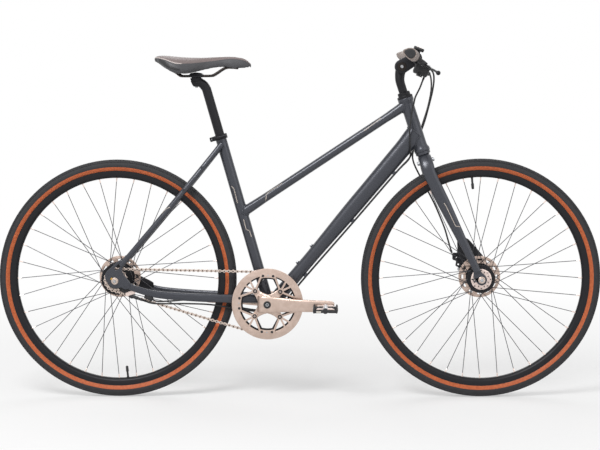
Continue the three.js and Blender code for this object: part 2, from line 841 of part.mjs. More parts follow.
// A tapered arm with round ends, from the axle outwards, in side view.
function armOutline(centre, angle, reach, rootRadius, tipRadius) {
  const points = [];
  const arc = 4;
  for (let i = 0; i <= arc; i += 1) {
    const turn = (angle + 90 + 180 * i / arc) * degree;
    points.push([centre.x + rootRadius * Math.cos(turn), centre.z + rootRadius * Math.sin(turn)]);
  }
  const tip = along(centre, [heading(angle), reach]);
  for (let i = 0; i <= arc; i += 1) {
    const turn = (angle - 90 + 180 * i / arc) * degree;
    points.push([tip.x + tipRadius * Math.cos(turn), tip.z + tipRadius * Math.sin(turn)]);
  }
  return points;
}

function brakeUnit(centre, sizes) {
  const coverEnd = sizes.end - leverThickness - gap;
  const cover = shift(ring(axleRadius + gap, brakeCover.radius, sizes.start, coverEnd), centre);
  const armFrom = sizes.start;
  const armTo = armFrom + brakeCover.armThickness;
  const arm = plate(armOutline(centre, sizes.armAngle, sizes.reach, brakeCover.rootWidth / 2,
    brakeCover.armWidth / 2), armFrom, armTo);
  const stopPoint = along(centre, [heading(sizes.stopAngle), sizes.stopReach]);
  const web = plate(armOutline(centre, sizes.stopAngle, sizes.stopReach,
    brakeCover.rootWidth / 4, stopRadius), armFrom, armTo);
  const bore = shift(rod(axleRadius + gap, armFrom - overrun, armTo + overrun), centre);
  const inward = heading(sizes.stopAngle + 180);
  const stop = stand(rod(stopRadius, -stopLength / 2, stopLength / 2, 8),
    along(stopPoint, [sideways, (armFrom + armTo) / 2]), inward, sideways);
  return union(cover, cut(union(arm, web, stop), bore));
}

function brakeArm(centre, sizes) {
  const to = sizes.end;
  const outline = armOutline(centre, sizes.leverAngle, sizes.leverReach, leverHubRadius,
    leverTipRadius);
  const arm = plate(outline, to - leverThickness, to);
  const bore = shift(rod(turningBore(axleRadius), to - 2 * leverThickness, to + leverThickness),
    centre);
  return cut(arm, bore);
}

// Axles carry collars that seat against the dropouts, and a nut on the left end.
const axleNutInset = gap;

function hexNut(centre, side, from) {
  const to = from + side * nutLength;
  const nut = rod(nutAcross / Math.sqrt(3), Math.min(from, to), Math.max(from, to), 6);
  const bore = rod(axleRadius + gap, from - side * overrun, to + side * overrun, smallSegments);
  return shift(cut(nut, bore), centre);
}

function axle(centre, width, thickness, collars) {
  const outside = width / 2 + gap + thickness + axleNutInset;
  const end = outside + nutLength + axleOverhang;
  const pieces = collars.map(([from, to, radius]) => rod(radius, from, to, smallSegments));
  const core = rod(axleRadius, -end, end, smallSegments);
  const nut = rod(nutAcross / Math.sqrt(3), outside, outside + nutLength, 6);
  return shift(union(core, nut, ...pieces), centre);
}

function wheels() {
  for (const [name, centre, shell, drum] of [
    ['front', frontAxle, frontHub, frontDrum], ['rear', rearAxle, rearHub, rearDrum],
  ]) {
    add(`${name}_tyre`, tyre(centre), 'rubber');
    add(`${name}_inner_tube`, innerTube(centre), 'rubber');
    add(`${name}_rim`, rim(centre), 'black');
    add(`${name}_hub`, hub(centre, shell), 'darkGrey');
    add(`${name}_brake_disc`, brakeDrum(centre, drum), 'paleAlloy');
  }
  add('front_brake_unit', brakeUnit(frontAxle, frontBrake), 'black');
  add('rear_brake_unit', brakeUnit(rearAxle, rearBrake), 'black');
  add('front_brake_arm', brakeArm(frontAxle, frontBrake), 'silver');
  add('rear_brake_arm', brakeArm(rearAxle, rearBrake), 'silver');
  const frontNutStart = -(frontHubWidth / 2 + 2 * gap + forkPlateThickness);
  const rearNutStart = -(rearHubWidth / 2 + 2 * gap + dropoutThickness);
  add('front_axle', axle(frontAxle, frontHubWidth, forkPlateThickness, [
    [-frontHubWidth / 2, frontHub.coneEnd - gap, axleCollarRadius],
  ]), 'silver');
  add('rear_axle', axle(rearAxle, rearHubWidth, dropoutThickness, [
    [-rearHubWidth / 2, -jointBracketFrom - gap - jointThickness, axleCollarRadius],
  ]), 'silver');
  add('front_axle_nut_right', hexNut(frontAxle, -1, frontNutStart), 'silver');
  add('rear_axle_nut_right', hexNut(rearAxle, -1, rearNutStart), 'silver');
}

// Chain drive.

function pitchRadius(teeth) {
  return chainPitch / 2 / Math.sin(Math.PI / teeth);
}

// Chainwheel outline about its own centre. A tooth gap lies on the direction "phase".
function toothOutline(centre, teeth, phase) {
  const radius = pitchRadius(teeth);
  const root = radius * Math.cos(Math.PI / teeth) - plateHeight / 2 - gap;
  const tip = radius + toothTipHeight;
  const baseHalf = toothBaseShare * chainPitch / 2;
  const points = [];
  for (let i = 0; i < teeth; i += 1) {
    const turn = phase + (i + 0.5) * 2 * Math.PI / teeth;
    const out = vector(Math.cos(turn), 0, Math.sin(turn));
    const round = vector(-Math.sin(turn), 0, Math.cos(turn));
    for (const [height, offset] of [[root, -baseHalf], [tip, 0], [root, baseHalf]]) {
      const p = along(centre, [out, height], [round, offset]);
      points.push([p.x, p.z]);
    }
  }
  return points;
}

const ringRadius = pitchRadius(ringTeeth);
const sprocketRadius = pitchRadius(sprocketTeeth);
const axleToBracket = bracket.clone().sub(rearAxle);
const driveAngle = Math.atan2(axleToBracket.z, axleToBracket.x);
const wrapLean = Math.asin((ringRadius - sprocketRadius) / axleToBracket.length());
const wrapTolerance = 0.1;

// Chain pins, as points in the chain's own plane. Both wraps are symmetric about the line
// through the two centres, and the straight runs between them are divided evenly.
function chainPins() {
  const wrap = (centre, teeth, radius, facing, halfWrap) => {
    const step = 2 * Math.PI / teeth;
    const half = Math.floor(halfWrap / step + 0.5 + wrapTolerance) - 0.5;
    const pins = [];
    for (let k = -half; k <= half; k += 1) {
      const turn = facing + k * step;
      pins.push([centre.x + radius * Math.cos(turn), centre.z + radius * Math.sin(turn)]);
    }
    return pins;
  };
  const onRing = wrap(bracket, ringTeeth, ringRadius, driveAngle, Math.PI / 2 + wrapLean);
  const onSprocket = wrap(rearAxle, sprocketTeeth, sprocketRadius, driveAngle + Math.PI,
    Math.PI / 2 - wrapLean);
  const between = ([ax, az], [bx, bz]) => {
    const count = Math.round(Math.hypot(bx - ax, bz - az) / chainPitch);
    const pins = [];
    for (let i = 1; i < count; i += 1) {
      const t = i / count;
      pins.push([THREE.MathUtils.lerp(ax, bx, t), THREE.MathUtils.lerp(az, bz, t)]);
    }
    return pins;
  };
  const upper = between(onRing[onRing.length - 1], onSprocket[0]);
  const lower = between(onSprocket[onSprocket.length - 1], onRing[0]);
  return [...onRing, ...upper, ...onSprocket, ...lower];
}

// The chain is a band of links. Those of the straight runs are waisted and wider on every second
// link. Those on and beside the wheels are open between their side plates, where a tooth stands.
function chain() {
  const pins = chainPins().map(([x, z]) => vector(x, -chainLine, z));
  const engaged = (centre, radius, middle) => middle.distanceTo(
    vector(centre.x, -chainLine, centre.z)) < radius + plateHeight;
  const narrow = chainInnerWidth / 2 + plateThickness;
  const sections = [];
  const windows = [];
  pins.forEach((here, i) => {
    const next = pins[(i + 1) % pins.length];
    const last = pins[(i + pins.length - 1) % pins.length];
    const middle = here.clone().lerp(next, 0.5);
    const run = next.clone().sub(here);
    const atPin = next.clone().sub(last).normalize();
    const atWaist = run.clone().normalize();
    const bulge = i % 2 === 0 ? chainBulge : 0;
    sections.push(bandSection(here, atPin, narrow + chainBulge / 2, plateHeight / 2));
    if (!engaged(bracket, ringRadius, middle) && !engaged(rearAxle, sprocketRadius, middle)) {
      sections.push(bandSection(middle, atWaist, narrow + bulge, waistShare * plateHeight / 2));
      return;
    }
    const opening = new THREE.BoxGeometry(2 * plateHeight, chainInnerWidth,
      windowShare * run.length());
    const basis = new THREE.Matrix4().makeBasis(
      new THREE.Vector3().crossVectors(sideways, atWaist), sideways, atWaist);
    basis.setPosition(middle);
    windows.push(solid(opening.applyMatrix4(basis)));
  });
  return cut(loft(sections, 'joined'), wasm.Manifold.union(windows));
}

function bandSection(at, forward, halfWidth, halfHeight) {
  const out = new THREE.Vector3().crossVectors(sideways, forward);
  return [[1, 1], [-1, 1], [-1, -1], [1, -1]].map(([side, edge]) => along(at,
    [sideways, side * halfWidth], [out, edge * halfHeight]));
}

const driverRadius = 17;
const driverEnd = 50;

function sprocket() {
  const wheel = plate(toothOutline(rearAxle, sprocketTeeth, driveAngle + Math.PI / sprocketTeeth
    + Math.PI), -chainLine - toothThickness / 2, -chainLine + toothThickness / 2);
  const driver = shift(rod(driverRadius, -driverEnd, rearHub.coneEnd - gap), rearAxle);
  const bore = shift(rod(turningBore(axleRadius), -driverEnd - overrun, 0), rearAxle);
  return cut(union(wheel, driver), bore);
}

// Gear cable end at the rear hub: a pulley that turns and a fixed bracket beside it.
const pulleyFrom = driverEnd + gap;
const pulleyThickness = 5.5;
const pulleyRadius = 25;
const pulleyGroove = 2.2;
const jointBracketFrom = pulleyFrom + pulleyThickness + gap;
const jointThickness = 6;
const jointRadius = 22;
const jointArmAngle = -44;
const jointArmReach = 66;
const jointArmRadius = 7;
const jointFittingLength = 34;
const jointFittingAngle = -20;

function cassettePulley() {
  const bore = turningBore(axleRadius);
  const middle = pulleyFrom + pulleyThickness / 2;
  return shift(turned([
    [-pulleyFrom, bore], [-pulleyFrom, pulleyRadius], [-middle, pulleyRadius - pulleyGroove],
    [-pulleyFrom - pulleyThickness, pulleyRadius], [-pulleyFrom - pulleyThickness, bore],
  ]), rearAxle);
}

function cableFitting() {
  const tip = along(rearAxle, [heading(jointArmAngle), jointArmReach],
    [sideways, -jointBracketFrom - jointThickness / 2]);
  return { tip, direction: heading(jointFittingAngle) };
}

function cassetteJoint() {
  const from = -jointBracketFrom - jointThickness;
  const body = shift(ring(axleRadius + gap, jointRadius, from, -jointBracketFrom), rearAxle);
  const arm = plate(armOutline(rearAxle, jointArmAngle, jointArmReach, jointRadius * 0.6,
    jointArmRadius), from, -jointBracketFrom);
  const bore = shift(rod(axleRadius + gap, from - overrun, 0), rearAxle);
  const { tip, direction } = cableFitting();
  const barrel = stand(rod(stopRadius, -jointArmRadius, jointFittingLength, 8), tip, direction,
    sideways);
  return union(body, cut(arm, bore), barrel);
}

// Crank set.

function crankPoint(distance, side) {
  return along(bracket, [heading(crankAngle + (side > 0 ? 180 : 0)), distance]);
}

const crankSideShares = [
  // [share of the length, share of the root width, distance moved outwards over the offset]
  [-0.15, 0.88, 0], [-0.02, 1, 0], [0.12, 0.98, 0], [0.3, 0.885, 0.35], [0.5, 0.805, 0.75],
  [0.75, 0.76, 1], [1, 0.74, 1], [1.1, 0.68, 1], [1.145, 0.42, 1],
];
const crankBossRadius = 22;
const spindleRadius = 9;
const spindleLength = 62;

function crankArm(side) {
  const face = side * crankFace;
  const forward = heading(crankAngle + (side > 0 ? 180 : 0));
  const up = new THREE.Vector3().crossVectors(forward, sideways);
  const half = crankThickness / 2;
  const sections = crankSideShares.map(([t, width, out]) => {
    const at = along(bracket, [forward, t * crankLength],
      [sideways, face + side * (half + out * crankOffset)]);
    return section(at, sideways, up, half, crankRootWidth / 2 * width, 8, 0.6);
  });
  const middle = side * (crankFace + half);
  const boss = shift(rod(crankBossRadius, middle - half, middle + half), bracket);
  const spindleFrom = middle + side * crankOffset;
  const spindleTo = spindleFrom + side * (half + pedalLength);
  const spindle = shift(rod(pedalSpindleRadius, Math.min(spindleFrom, spindleTo),
    Math.max(spindleFrom, spindleTo), smallSegments), crankPoint(crankLength, side));
  return union(loft(sections), boss, spindle);
}

const boltRadius = boltCircle / 2;
const spiderFrom = chainLine + toothThickness / 2 + gap;
const spiderTo = spiderFrom + spiderThickness;
const guardFrom = spiderTo + gap;
const spiderTipRadius = 9;
const spiderRootRadius = 19;

function boltAngle(index) {
  return crankAngle + 45 + index * 360 / boltCount;
}

function spider() {
  const arms = [];
  for (let i = 0; i < boltCount; i += 1) {
    arms.push(plate(armOutline(bracket, boltAngle(i), boltRadius, spiderRootRadius,
      spiderTipRadius), -spiderTo, -spiderFrom));
  }
  return union(...arms, shift(rod(crankBossRadius, -crankFace - sink, -spiderFrom), bracket));
}

function rightCrank() {
  const socket = rod(spindleRadius + gap, -spindleLength - gap, 0);
  return cut(union(crankArm(-1), spider()), shift(socket, bracket));
}

// The left arm carries the bearing spindle, which ends in the right arm's boss.
function leftCrank() {
  return union(crankArm(1), shift(rod(spindleRadius, -spindleLength, spindleLength), bracket));
}

// The guard and the chainring behind it are bands that a boss and a fan of ribs hold at each
// bolt. Angles of a fan are measured at the bracket, from the line through the bolt. Between two
// fans the band is deeper, as a tab.
const tabDepth = 6;
const guardFan = {
  inner: guardRadius - guardBand, angles: [-31, -6.5, 6.5, 31], ribWidth: 5.6,
};
const ringFan = { inner: guardFan.inner - sink, angles: [-33, 33], ribWidth: 8 };

// One side of a rib, as the point where it leaves its boss and the point where it meets the band.
function ribEdge(boss, foot, offset, bandRadiusThere) {
  const run = foot.clone().sub(boss).normalize();
  const across = new THREE.Vector3().crossVectors(run, sideways);
  const start = along(boss, [across, offset]);
  const leave = along(start, [run, Math.sqrt(guardBossRadius ** 2 - offset ** 2)]);
  const fromBracket = start.clone().sub(bracket);
  const half = fromBracket.dot(run);
  const reach = Math.sqrt(half ** 2 - fromBracket.lengthSq() + bandRadiusThere ** 2) - half;
  return { start, run, leave, meet: along(start, [run, reach]) };
}

function crossing(first, second) {
  const between = second.start.clone().sub(first.start);
  const turn = first.run.x * second.run.z - first.run.z * second.run.x;
  const reach = (between.x * second.run.z - between.z * second.run.x) / turn;
  return along(first.start, [first.run, reach]);
}

// The point halfway between two others on a circle round the bracket.
function halfwayRound(first, second) {
  const mixed = first.clone().lerp(second, 0.5).sub(bracket);
  return mixed.setLength(first.distanceTo(bracket)).add(bracket);
}

function fanOfRibs(angle, { inner, angles, ribWidth }) {
  const boss = along(bracket, [heading(angle), boltRadius]);
  const edges = angles.map((turn, k) => {
    const foot = along(bracket, [heading(angle + turn), inner]);
    const outermost = [k === 0, k === angles.length - 1];
    return [-1, 1].map((way, i) => ribEdge(boss, foot, way * ribWidth / 2,
      outermost[i] ? inner - tabDepth : inner));
  });
  return { boss, edges };
}

function ribWindow(first, second, boss) {
  const corner = crossing(first, second);
  const wide = corner.distanceTo(boss) < guardBossRadius;
  const outward = along(boss, [boss.clone().sub(bracket).normalize(), guardBossRadius]);
  const inside = wide ? [second.leave, outward, first.leave] : [corner];
  return [...inside, first.meet, halfwayRound(first.meet, second.meet), second.meet];
}

function fanWindows(fan) {
  const fans = [];
  for (let i = 0; i < boltCount; i += 1) {
    fans.push(fanOfRibs(boltAngle(i), fan));
  }
  const windows = fans.flatMap(({ boss, edges }) => edges.slice(1).map((next, k) => ribWindow(
    edges[k][1], next[0], boss)));
  const middle = fans.flatMap(({ boss, edges }, i) => {
    const next = fans[(i + 1) % boltCount].edges[0][0];
    const [first, last] = [edges[0][0], edges[edges.length - 1][1]];
    const inward = bracket.clone().sub(boss).setLength(guardBossRadius);
    return [first.meet, first.leave, boss.clone().add(inward), last.leave, last.meet,
      halfwayRound(last.meet, next.meet)];
  });
  return [...windows, middle].map((points) => points.map((p) => [p.x, p.z]));
}

function chainring() {
  return plate(toothOutline(bracket, ringTeeth, driveAngle + Math.PI / ringTeeth),
    -chainLine - toothThickness / 2, -chainLine + toothThickness / 2, fanWindows(ringFan));
}

function guard() {
  const from = -guardFrom - guardThickness;
  return plate(circlePoints(bracket.x, bracket.z, guardRadius, wheelSegments), from,
    from + guardThickness, fanWindows(guardFan));
}

// Platform pedals: a cage round the spindle, with two openings.
const pedalRail = 12;
const pedalCoreRadius = 8.5;

function pedal(side) {
  const centre = crankPoint(crankLength, side);
  const inner = crankFace + crankThickness + crankOffset + 2 * gap;
  const middle = side * (inner + pedalLength / 2);
  const body = new THREE.BoxGeometry(pedalWidth, pedalLength, pedalThickness);
  const window = (pedalWidth - 2 * pedalRail) / 2 - pedalCoreRadius;
  const openings = [1, -1].map((way) => {
    const opening = new THREE.BoxGeometry(window, pedalLength - 2 * pedalRail,
      pedalThickness + overrun);
    opening.translate(way * (pedalCoreRadius + window / 2), 0, 0);
    return solid(opening);
  });
  const bore = rod(turningBore(pedalSpindleRadius, smallSegments), -pedalLength, pedalLength,
    smallSegments);
  return shift(cut(solid(body), ...openings, bore),
    vector(centre.x, middle, centre.z));
}

function cartridge() {
  const inner = spindleRadius + gap;
  const outer = bracketBore / 2 - gap;
  return shift(ring(inner, outer, -bracketShellWidth / 2, bracketShellWidth / 2), bracket);
}

function drive() {
  add('chain', chain(), 'nickel');
  add('rear_sprocket', sprocket(), 'silver');
  add('cassette_pulley', cassettePulley(), 'black');
  add('cassette_joint', cassetteJoint(), 'black');
  add('crank_arm_right', rightCrank(), 'champagne');
  add('crank_arm_left', leftCrank(), 'champagne');
  add('chainring', chainring(), 'black');
  add('chainring_guard', guard(), 'champagne');
  add('pedal_right', pedal(-1), 'black');
  add('pedal_left', pedal(1), 'black');
  add('bottom_bracket_cartridge', cartridge(), 'darkGrey');
}

// Fork: one arch of two raked blades over the tyre, with a steerer tube and dropout plates.
const forkPlateThickness = 6;
const crownTop = 3;
const raceRadius = 21.5;
const raceHeight = 7;
const steererTopAboveHead = 11;
const forkPlateRadius = 13;
const forkEyeletRadius = 5;
const forkEyeletReach = 21;
const crownBoltRadius = 6;
const crownBoltHalf = 26;
const crownBoltHeight = 375;
const forkBend = 330;
// [height on the steering axis, distance to the side, thickness, depth from front to back]
const bladeShares = [
  [0.05, 0.57, 0.36, 0.5], [0.35, 0.51, 0.4, 0.66], [0.72, 0.44, 0.45, 0.94],
  [1, 0.385, 0.49, 1], [1.1, 0.33, 0.52, 1.02], [1.16, 0.16, 0.64, 1.04],
];
const crownTopShares = [1.172, 0, 0.74, 1.04];
const bladeDepth = 37;

function bladeKnot(shares, side) {
  const [height, spread, thickness, depth] = shares;
  const ahead = forkOffset * Math.max(0, 1 - height);
  return {
    at: onSteerer(height * forkBend, ahead, side * spread * frontHubWidth),
    width: thickness * bladeDepth,
    height: depth * bladeDepth,
  };
}

function forkPlate(side) {
  const from = side * (frontHubWidth / 2 + gap);
  const to = from + side * forkPlateThickness;
  const [low, high] = [Math.min(from, to), Math.max(from, to)];
  const tab = plate(armOutline(frontAxle, 180 - headAngle, forkEyeletReach * 1.6,
    forkPlateRadius, forkPlateRadius * 0.7), low, high);
  const ear = plate(armOutline(frontAxle, 180, forkEyeletReach, forkPlateRadius * 0.7,
    forkEyeletRadius), low, high);
  const slot = new THREE.BoxGeometry(slotWidth, 4 * forkPlateThickness, 2 * forkPlateRadius);
  slot.translate(0, 0, -forkPlateRadius);
  slot.rotateY((headAngle - 90) * degree);
  slot.translate(frontAxle.x, from, frontAxle.z);
  const bore = shift(rod(axleRadius + gap, low - overrun, high + overrun, 12), frontAxle);
  return cut(union(tab, ear), solid(slot), bore);
}

function fork() {
  const steererTop = headTubeTop + steererTopAboveHead;
  const base = headTubeBottom - crownTop;
  const left = bladeShares.map((shares) => bladeKnot(shares, 1));
  const right = bladeShares.map((shares) => bladeKnot(shares, -1)).reverse();
  const arch = sweptTube([...left, bladeKnot(crownTopShares, 1), ...right], 12, 8, 0.8,
    steerForward);
  const race = onSteering([[base - raceHeight - crownTop, 0], [base - raceHeight, raceRadius],
    [headTubeBottom - gap, raceRadius], [headTubeBottom - gap, 0]]);
  const steerer = onSteering([[base - raceHeight, 0], [base - raceHeight, steererRadius],
    [steererTop, steererRadius], [steererTop, 0]]);
  const inside = steererRadius - steererWall;
  const bore = onSteering([[base, 0], [base, inside], [steererTop + overrun, inside],
    [steererTop + overrun, 0]]);
  const bolt = stand(rod(crownBoltRadius, -crownBoltHalf, crownBoltHalf, 6),
    onSteerer(crownBoltHeight), steerForward, steerDirection);
  return union(cut(union(arch, race, steerer), bore), forkPlate(-1), forkPlate(1), bolt);
}

// The upper headset cup and its locknut.
const locknutRadius = 18;
const locknutHeight = 18;
const cupHeight = 7;

function headset() {
  const base = headTubeTop + gap;
  const steererTop = headTubeTop + steererTopAboveHead + gap;
  const top = headTubeTop + locknutHeight;
  const wide = turningBore(steererRadius);
  const narrow = turningBore(quillRadius);
  return onSteering([
    [base, wide], [base, headCupRadius - gap], [base + cupHeight, headCupRadius - gap],
    [base + cupHeight + sink, locknutRadius], [top, locknutRadius], [top, narrow],
    [steererTop, narrow], [steererTop, wide],
  ]);
}

// Adjustable stem: a quill with a knuckle, and an arm that turns on the knuckle's pin.
const quillRadius = 12.7;
const quillBottom = 500;
const quillTop = 632;
const pivotHeight = 659;
const pivotAhead = 18.5;
const knuckleRadius = 20.5;
const knuckleHalf = 11;
const cheekGap = 0.9;
const stemHalf = 20;
const pinRadius = 5;
const stemReach = 47;
const stemAngle = 31;
const clampRadius = 18;
const barClampRadius = 12.7;
const barRadius = 11.1;
const stemPivot = onSteerer(pivotHeight, pivotAhead);
const barClamp = along(stemPivot, [heading(stemAngle), stemReach]);

function quill() {
  const straight = onSteering([[quillBottom, 0], [quillBottom, quillRadius],
    [quillTop, quillRadius], [quillTop, 0]]);
  const width = 2 * quillRadius;
  const neck = sweptTube([
    { at: onSteerer(quillTop - overrun), width, height: width },
    { at: onSteerer(quillTop + sink, sink), width, height: width },
    { at: onSteerer((quillTop + pivotHeight) / 2, pivotAhead / 2), width: 2 * knuckleHalf - sink,
      height: 1.25 * knuckleRadius },
    { at: stemPivot, width: 2 * knuckleHalf - sink, height: 1.4 * knuckleRadius },
  ], 3, 8, 1, steerForward);
  return union(straight, neck,
    shift(union(rod(knuckleRadius, -knuckleHalf, knuckleHalf),
      rod(pinRadius, -stemHalf, stemHalf, smallSegments)), stemPivot));
}

function stemArm() {
  const body = plate(armOutline(stemPivot, stemAngle, stemReach, knuckleRadius, clampRadius),
    -stemHalf, stemHalf);
  const slotHalf = knuckleHalf + cheekGap;
  const slot = shift(rod(knuckleRadius + cheekGap, -slotHalf, slotHalf), stemPivot);
  const pin = shift(rod(turningBore(pinRadius, smallSegments), -2 * stemHalf, 2 * stemHalf,
    smallSegments), stemPivot);
  const behind = new THREE.BoxGeometry(2 * knuckleRadius, 2 * slotHalf, 3 * knuckleRadius);
  behind.translate(-knuckleRadius, 0, 0);
  behind.rotateY(-stemAngle * degree);
  behind.translate(stemPivot.x, 0, stemPivot.z);
  return cut(body, slot, pin, solid(behind), barSkin(gap));
}

// Handlebar: nearly straight, swept back and slightly up from a bend beside the clamp.
const barHalf = 298;
const barBend = 60;
const barSweep = 6;
const barRise = 2;
const barBulgeHalf = 30;

function barPoint(side, distance) {
  const out = Math.max(0, distance - barBend);
  return vector(barClamp.x - Math.tan(barSweep * degree) * out, side * distance,
    barClamp.z + Math.tan(barRise * degree) * out);
}

function barSkin(grow) {
  const knot = (side, distance) => {
    const radius = (distance > barBulgeHalf ? barRadius : barClampRadius) + grow;
    return { at: barPoint(side, distance), width: 2 * radius, height: 2 * radius };
  };
  const distances = [barHalf + grow, barHalf / 2, barBend, barBulgeHalf + overrun, barBulgeHalf];
  return sweptTube([...distances.map((d) => knot(-1, d)), ...distances.reverse().map(
    (d) => knot(1, d))], 9, 10);
}

// Grips: round inboard, with a palm wing that grows towards the closed outer end.
const gripInner = 168;
const gripOuter = 300;
const gripStationShares = [[0, 0], [0.12, 0.1], [0.5, 0.55], [0.88, 1], [1, 0.94]];
const gripRadius = 16;
const gripSectionShares = [
  // [forward, up, extra towards the rear, extra upwards] in grip radii
  [1, 0, 0, 0], [0.72, 0.72, 0, 0], [0, 1, 0, 0], [-0.72, 0.72, -0.2, 0.15],
  [-1, 0.1, -0.45, 0.35], [-0.8, -0.45, -0.3, 0.2], [-0.3, -0.95, 0, 0], [0.45, -0.9, 0, 0],
];

function grip(side) {
  const sections = gripStationShares.map(([t, wing]) => {
    const at = barPoint(side, THREE.MathUtils.lerp(gripInner, gripOuter, t));
    return gripSectionShares.map(([x, z, back, lift]) => vector(
      at.x + gripRadius * (x + wing * back), at.y, at.z + gripRadius * (z + wing * lift)));
  });
  return cut(loft(sections), barSkin(gap));
}

// Brake levers, in a plane that slopes down and forwards from the bar.
const leverSlope = -38;
const leverForward = heading(leverSlope);
const leverUp = heading(leverSlope + 90);
const bracketPlace = 153;
const bracketLength = 30;
const bracketReachOut = 42;
const bracketHeight = 15;
const bandRadius = 16;
const bandWidth = 14;
const leverSlotHeight = 8;
const leverSlotFrom = 22;
const leverPivotReach = 32;
const leverPinRadius = 2;
const leverHubThickness = 7;
const leverBallRadius = 6.5;
// [outwards from the pivot, away from the bar], in millimetres scaled by the lever length
const leverLength = 118;
const leverBladeShares = [
  [0, 0], [0.16, 0.13], [0.42, 0.26], [0.72, 0.32], [1, 0.46],
];
const leverBladeWidth = 10;
const leverBladeThickness = 6.4;
const cablePortReach = 37;
const portLength = 9;
const portForwardShare = 0.75;

// Each cable leaves its bracket inwards and forwards.
function portDirection(side) {
  return along(vector(0, -side * Math.sqrt(1 - portForwardShare ** 2), 0),
    [leverForward, portForwardShare]);
}

function onLever(side, outwards, reach, lift = 0) {
  const bar = barPoint(side, bracketPlace);
  return along(bar, [vector(0, side, 0), outwards - bracketPlace], [leverForward, reach],
    [leverUp, lift]);
}

function leverBox(side, from, to, near, far, height) {
  const box = new THREE.BoxGeometry(far - near, to - from, height);
  const basis = new THREE.Matrix4().makeBasis(leverForward, sideways,
    new THREE.Vector3().crossVectors(leverForward, sideways));
  basis.setPosition(onLever(side, (from + to) / 2, (near + far) / 2));
  return solid(box.applyMatrix4(basis));
}

function leverBracket(side) {
  const half = bracketLength / 2;
  const bar = barPoint(side, bracketPlace);
  const band = shift(rod(bandRadius, bar.y - bandWidth / 2, bar.y + bandWidth / 2, 10),
    vector(bar.x, 0, bar.z));
  const body = leverBox(side, bracketPlace - half, bracketPlace + half, bandRadius / 2,
    bracketReachOut, bracketHeight);
  const slot = leverBox(side, bracketPlace - half * 0.6, bracketPlace + bracketLength,
    leverSlotFrom, 2 * bracketReachOut, leverSlotHeight);
  const pin = stand(rod(leverPinRadius, -bracketHeight / 2, bracketHeight / 2, 6),
    onLever(side, bracketPlace, leverPivotReach), leverUp, sideways);
  const port = stand(rod(cableRadius + sink, -overrun, portLength, 6),
    onLever(side, bracketPlace - half, cablePortReach), portDirection(side), leverUp);
  return union(cut(union(band, body), slot, barSkin(gap)), pin, port);
}

function brakeLever(side) {
  const point = ([out, away]) => onLever(side, bracketPlace + out * leverLength,
    leverPivotReach + away * leverLength);
  const knots = leverBladeShares.map((shares) => ({
    at: point(shares), width: leverBladeWidth, height: leverBladeThickness,
  }));
  const blade = sweptTube(knots, 8, 6, 1, leverUp);
  const half = leverHubThickness / 2;
  const pivot = onLever(side, bracketPlace, leverPivotReach);
  const hubDisc = stand(rod(leverBladeWidth * 0.7, -half, half, smallSegments), pivot, leverUp,
    sideways);
  const bore = stand(rod(turningBore(leverPinRadius, 6), -2 * half, 2 * half, 6), pivot, leverUp,
    sideways);
  const ball = new THREE.SphereGeometry(leverBallRadius, 7, 4);
  ball.translate(...point(leverBladeShares[leverBladeShares.length - 1]).toArray());
  return cut(union(blade, hubDisc, solid(ball)), bore);
}

// Trigger shifter on the right: a clamp band, a pod below the bar and a gear display above it.
const shifterPlace = 98;
const shifterBandWidth = 12;
const podSize = [44, 34, 36];
const podDrop = 38;
const podAngle = -63;
const podTilt = 22;
const podTrim = 10;
const displaySize = [30, 30, 10];
const displayLift = 23;
const displayAhead = 9;
const paddleLength = 46;
const paddleWidth = 11;
const paddleThickness = 4;
const paddleHubRadius = 9;

function podCentre() {
  return along(barPoint(-1, shifterPlace), [heading(podAngle), podDrop]);
}

function tiltedBox(size, angle, at) {
  const box = new THREE.BoxGeometry(...size);
  box.rotateY(-angle * degree);
  box.translate(...at.toArray());
  return solid(box);
}

function shifter() {
  const bar = barPoint(-1, shifterPlace);
  const half = shifterBandWidth / 2;
  const band = shift(rod(bandRadius, bar.y - half, bar.y + half, 10), vector(bar.x, 0, bar.z));
  const [length, width, height] = podSize;
  const pod = tiltedBox([length - podTrim, width - podTrim / 2, height], -podTilt, podCentre());
  const core = tiltedBox([length, width, height - podTrim], -podTilt, podCentre());
  const display = tiltedBox(displaySize, -podTilt, vector(bar.x + displayAhead, bar.y,
    bar.z + displayLift));
  const neck = tiltedBox([bandRadius, shifterBandWidth, displayLift], 0,
    vector(bar.x + displayAhead / 2, bar.y, bar.z + displayLift / 2));
  return cut(union(band, pod, core, display, neck), barSkin(gap));
}

const paddleAxis = heading(-90 - podTilt);
const paddleForward = heading(-podTilt);

function paddlePivot() {
  return along(podCentre(), [paddleAxis, podSize[2] / 2 + gap]);
}

function shiftPaddle() {
  const pivot = paddlePivot();
  const disc = stand(rod(paddleHubRadius, 0, paddleThickness, 12), pivot, paddleAxis,
    paddleForward);
  const middle = along(pivot, [sideways, -paddleLength / 2], [paddleForward, -paddleWidth / 3],
    [paddleAxis, paddleThickness / 2]);
  const arm = new THREE.BoxGeometry(paddleWidth, paddleLength, paddleThickness);
  const basis = new THREE.Matrix4().makeBasis(paddleForward, sideways,
    new THREE.Vector3().crossVectors(paddleForward, sideways));
  basis.setPosition(middle);
  return union(disc, solid(arm.applyMatrix4(basis)));
}

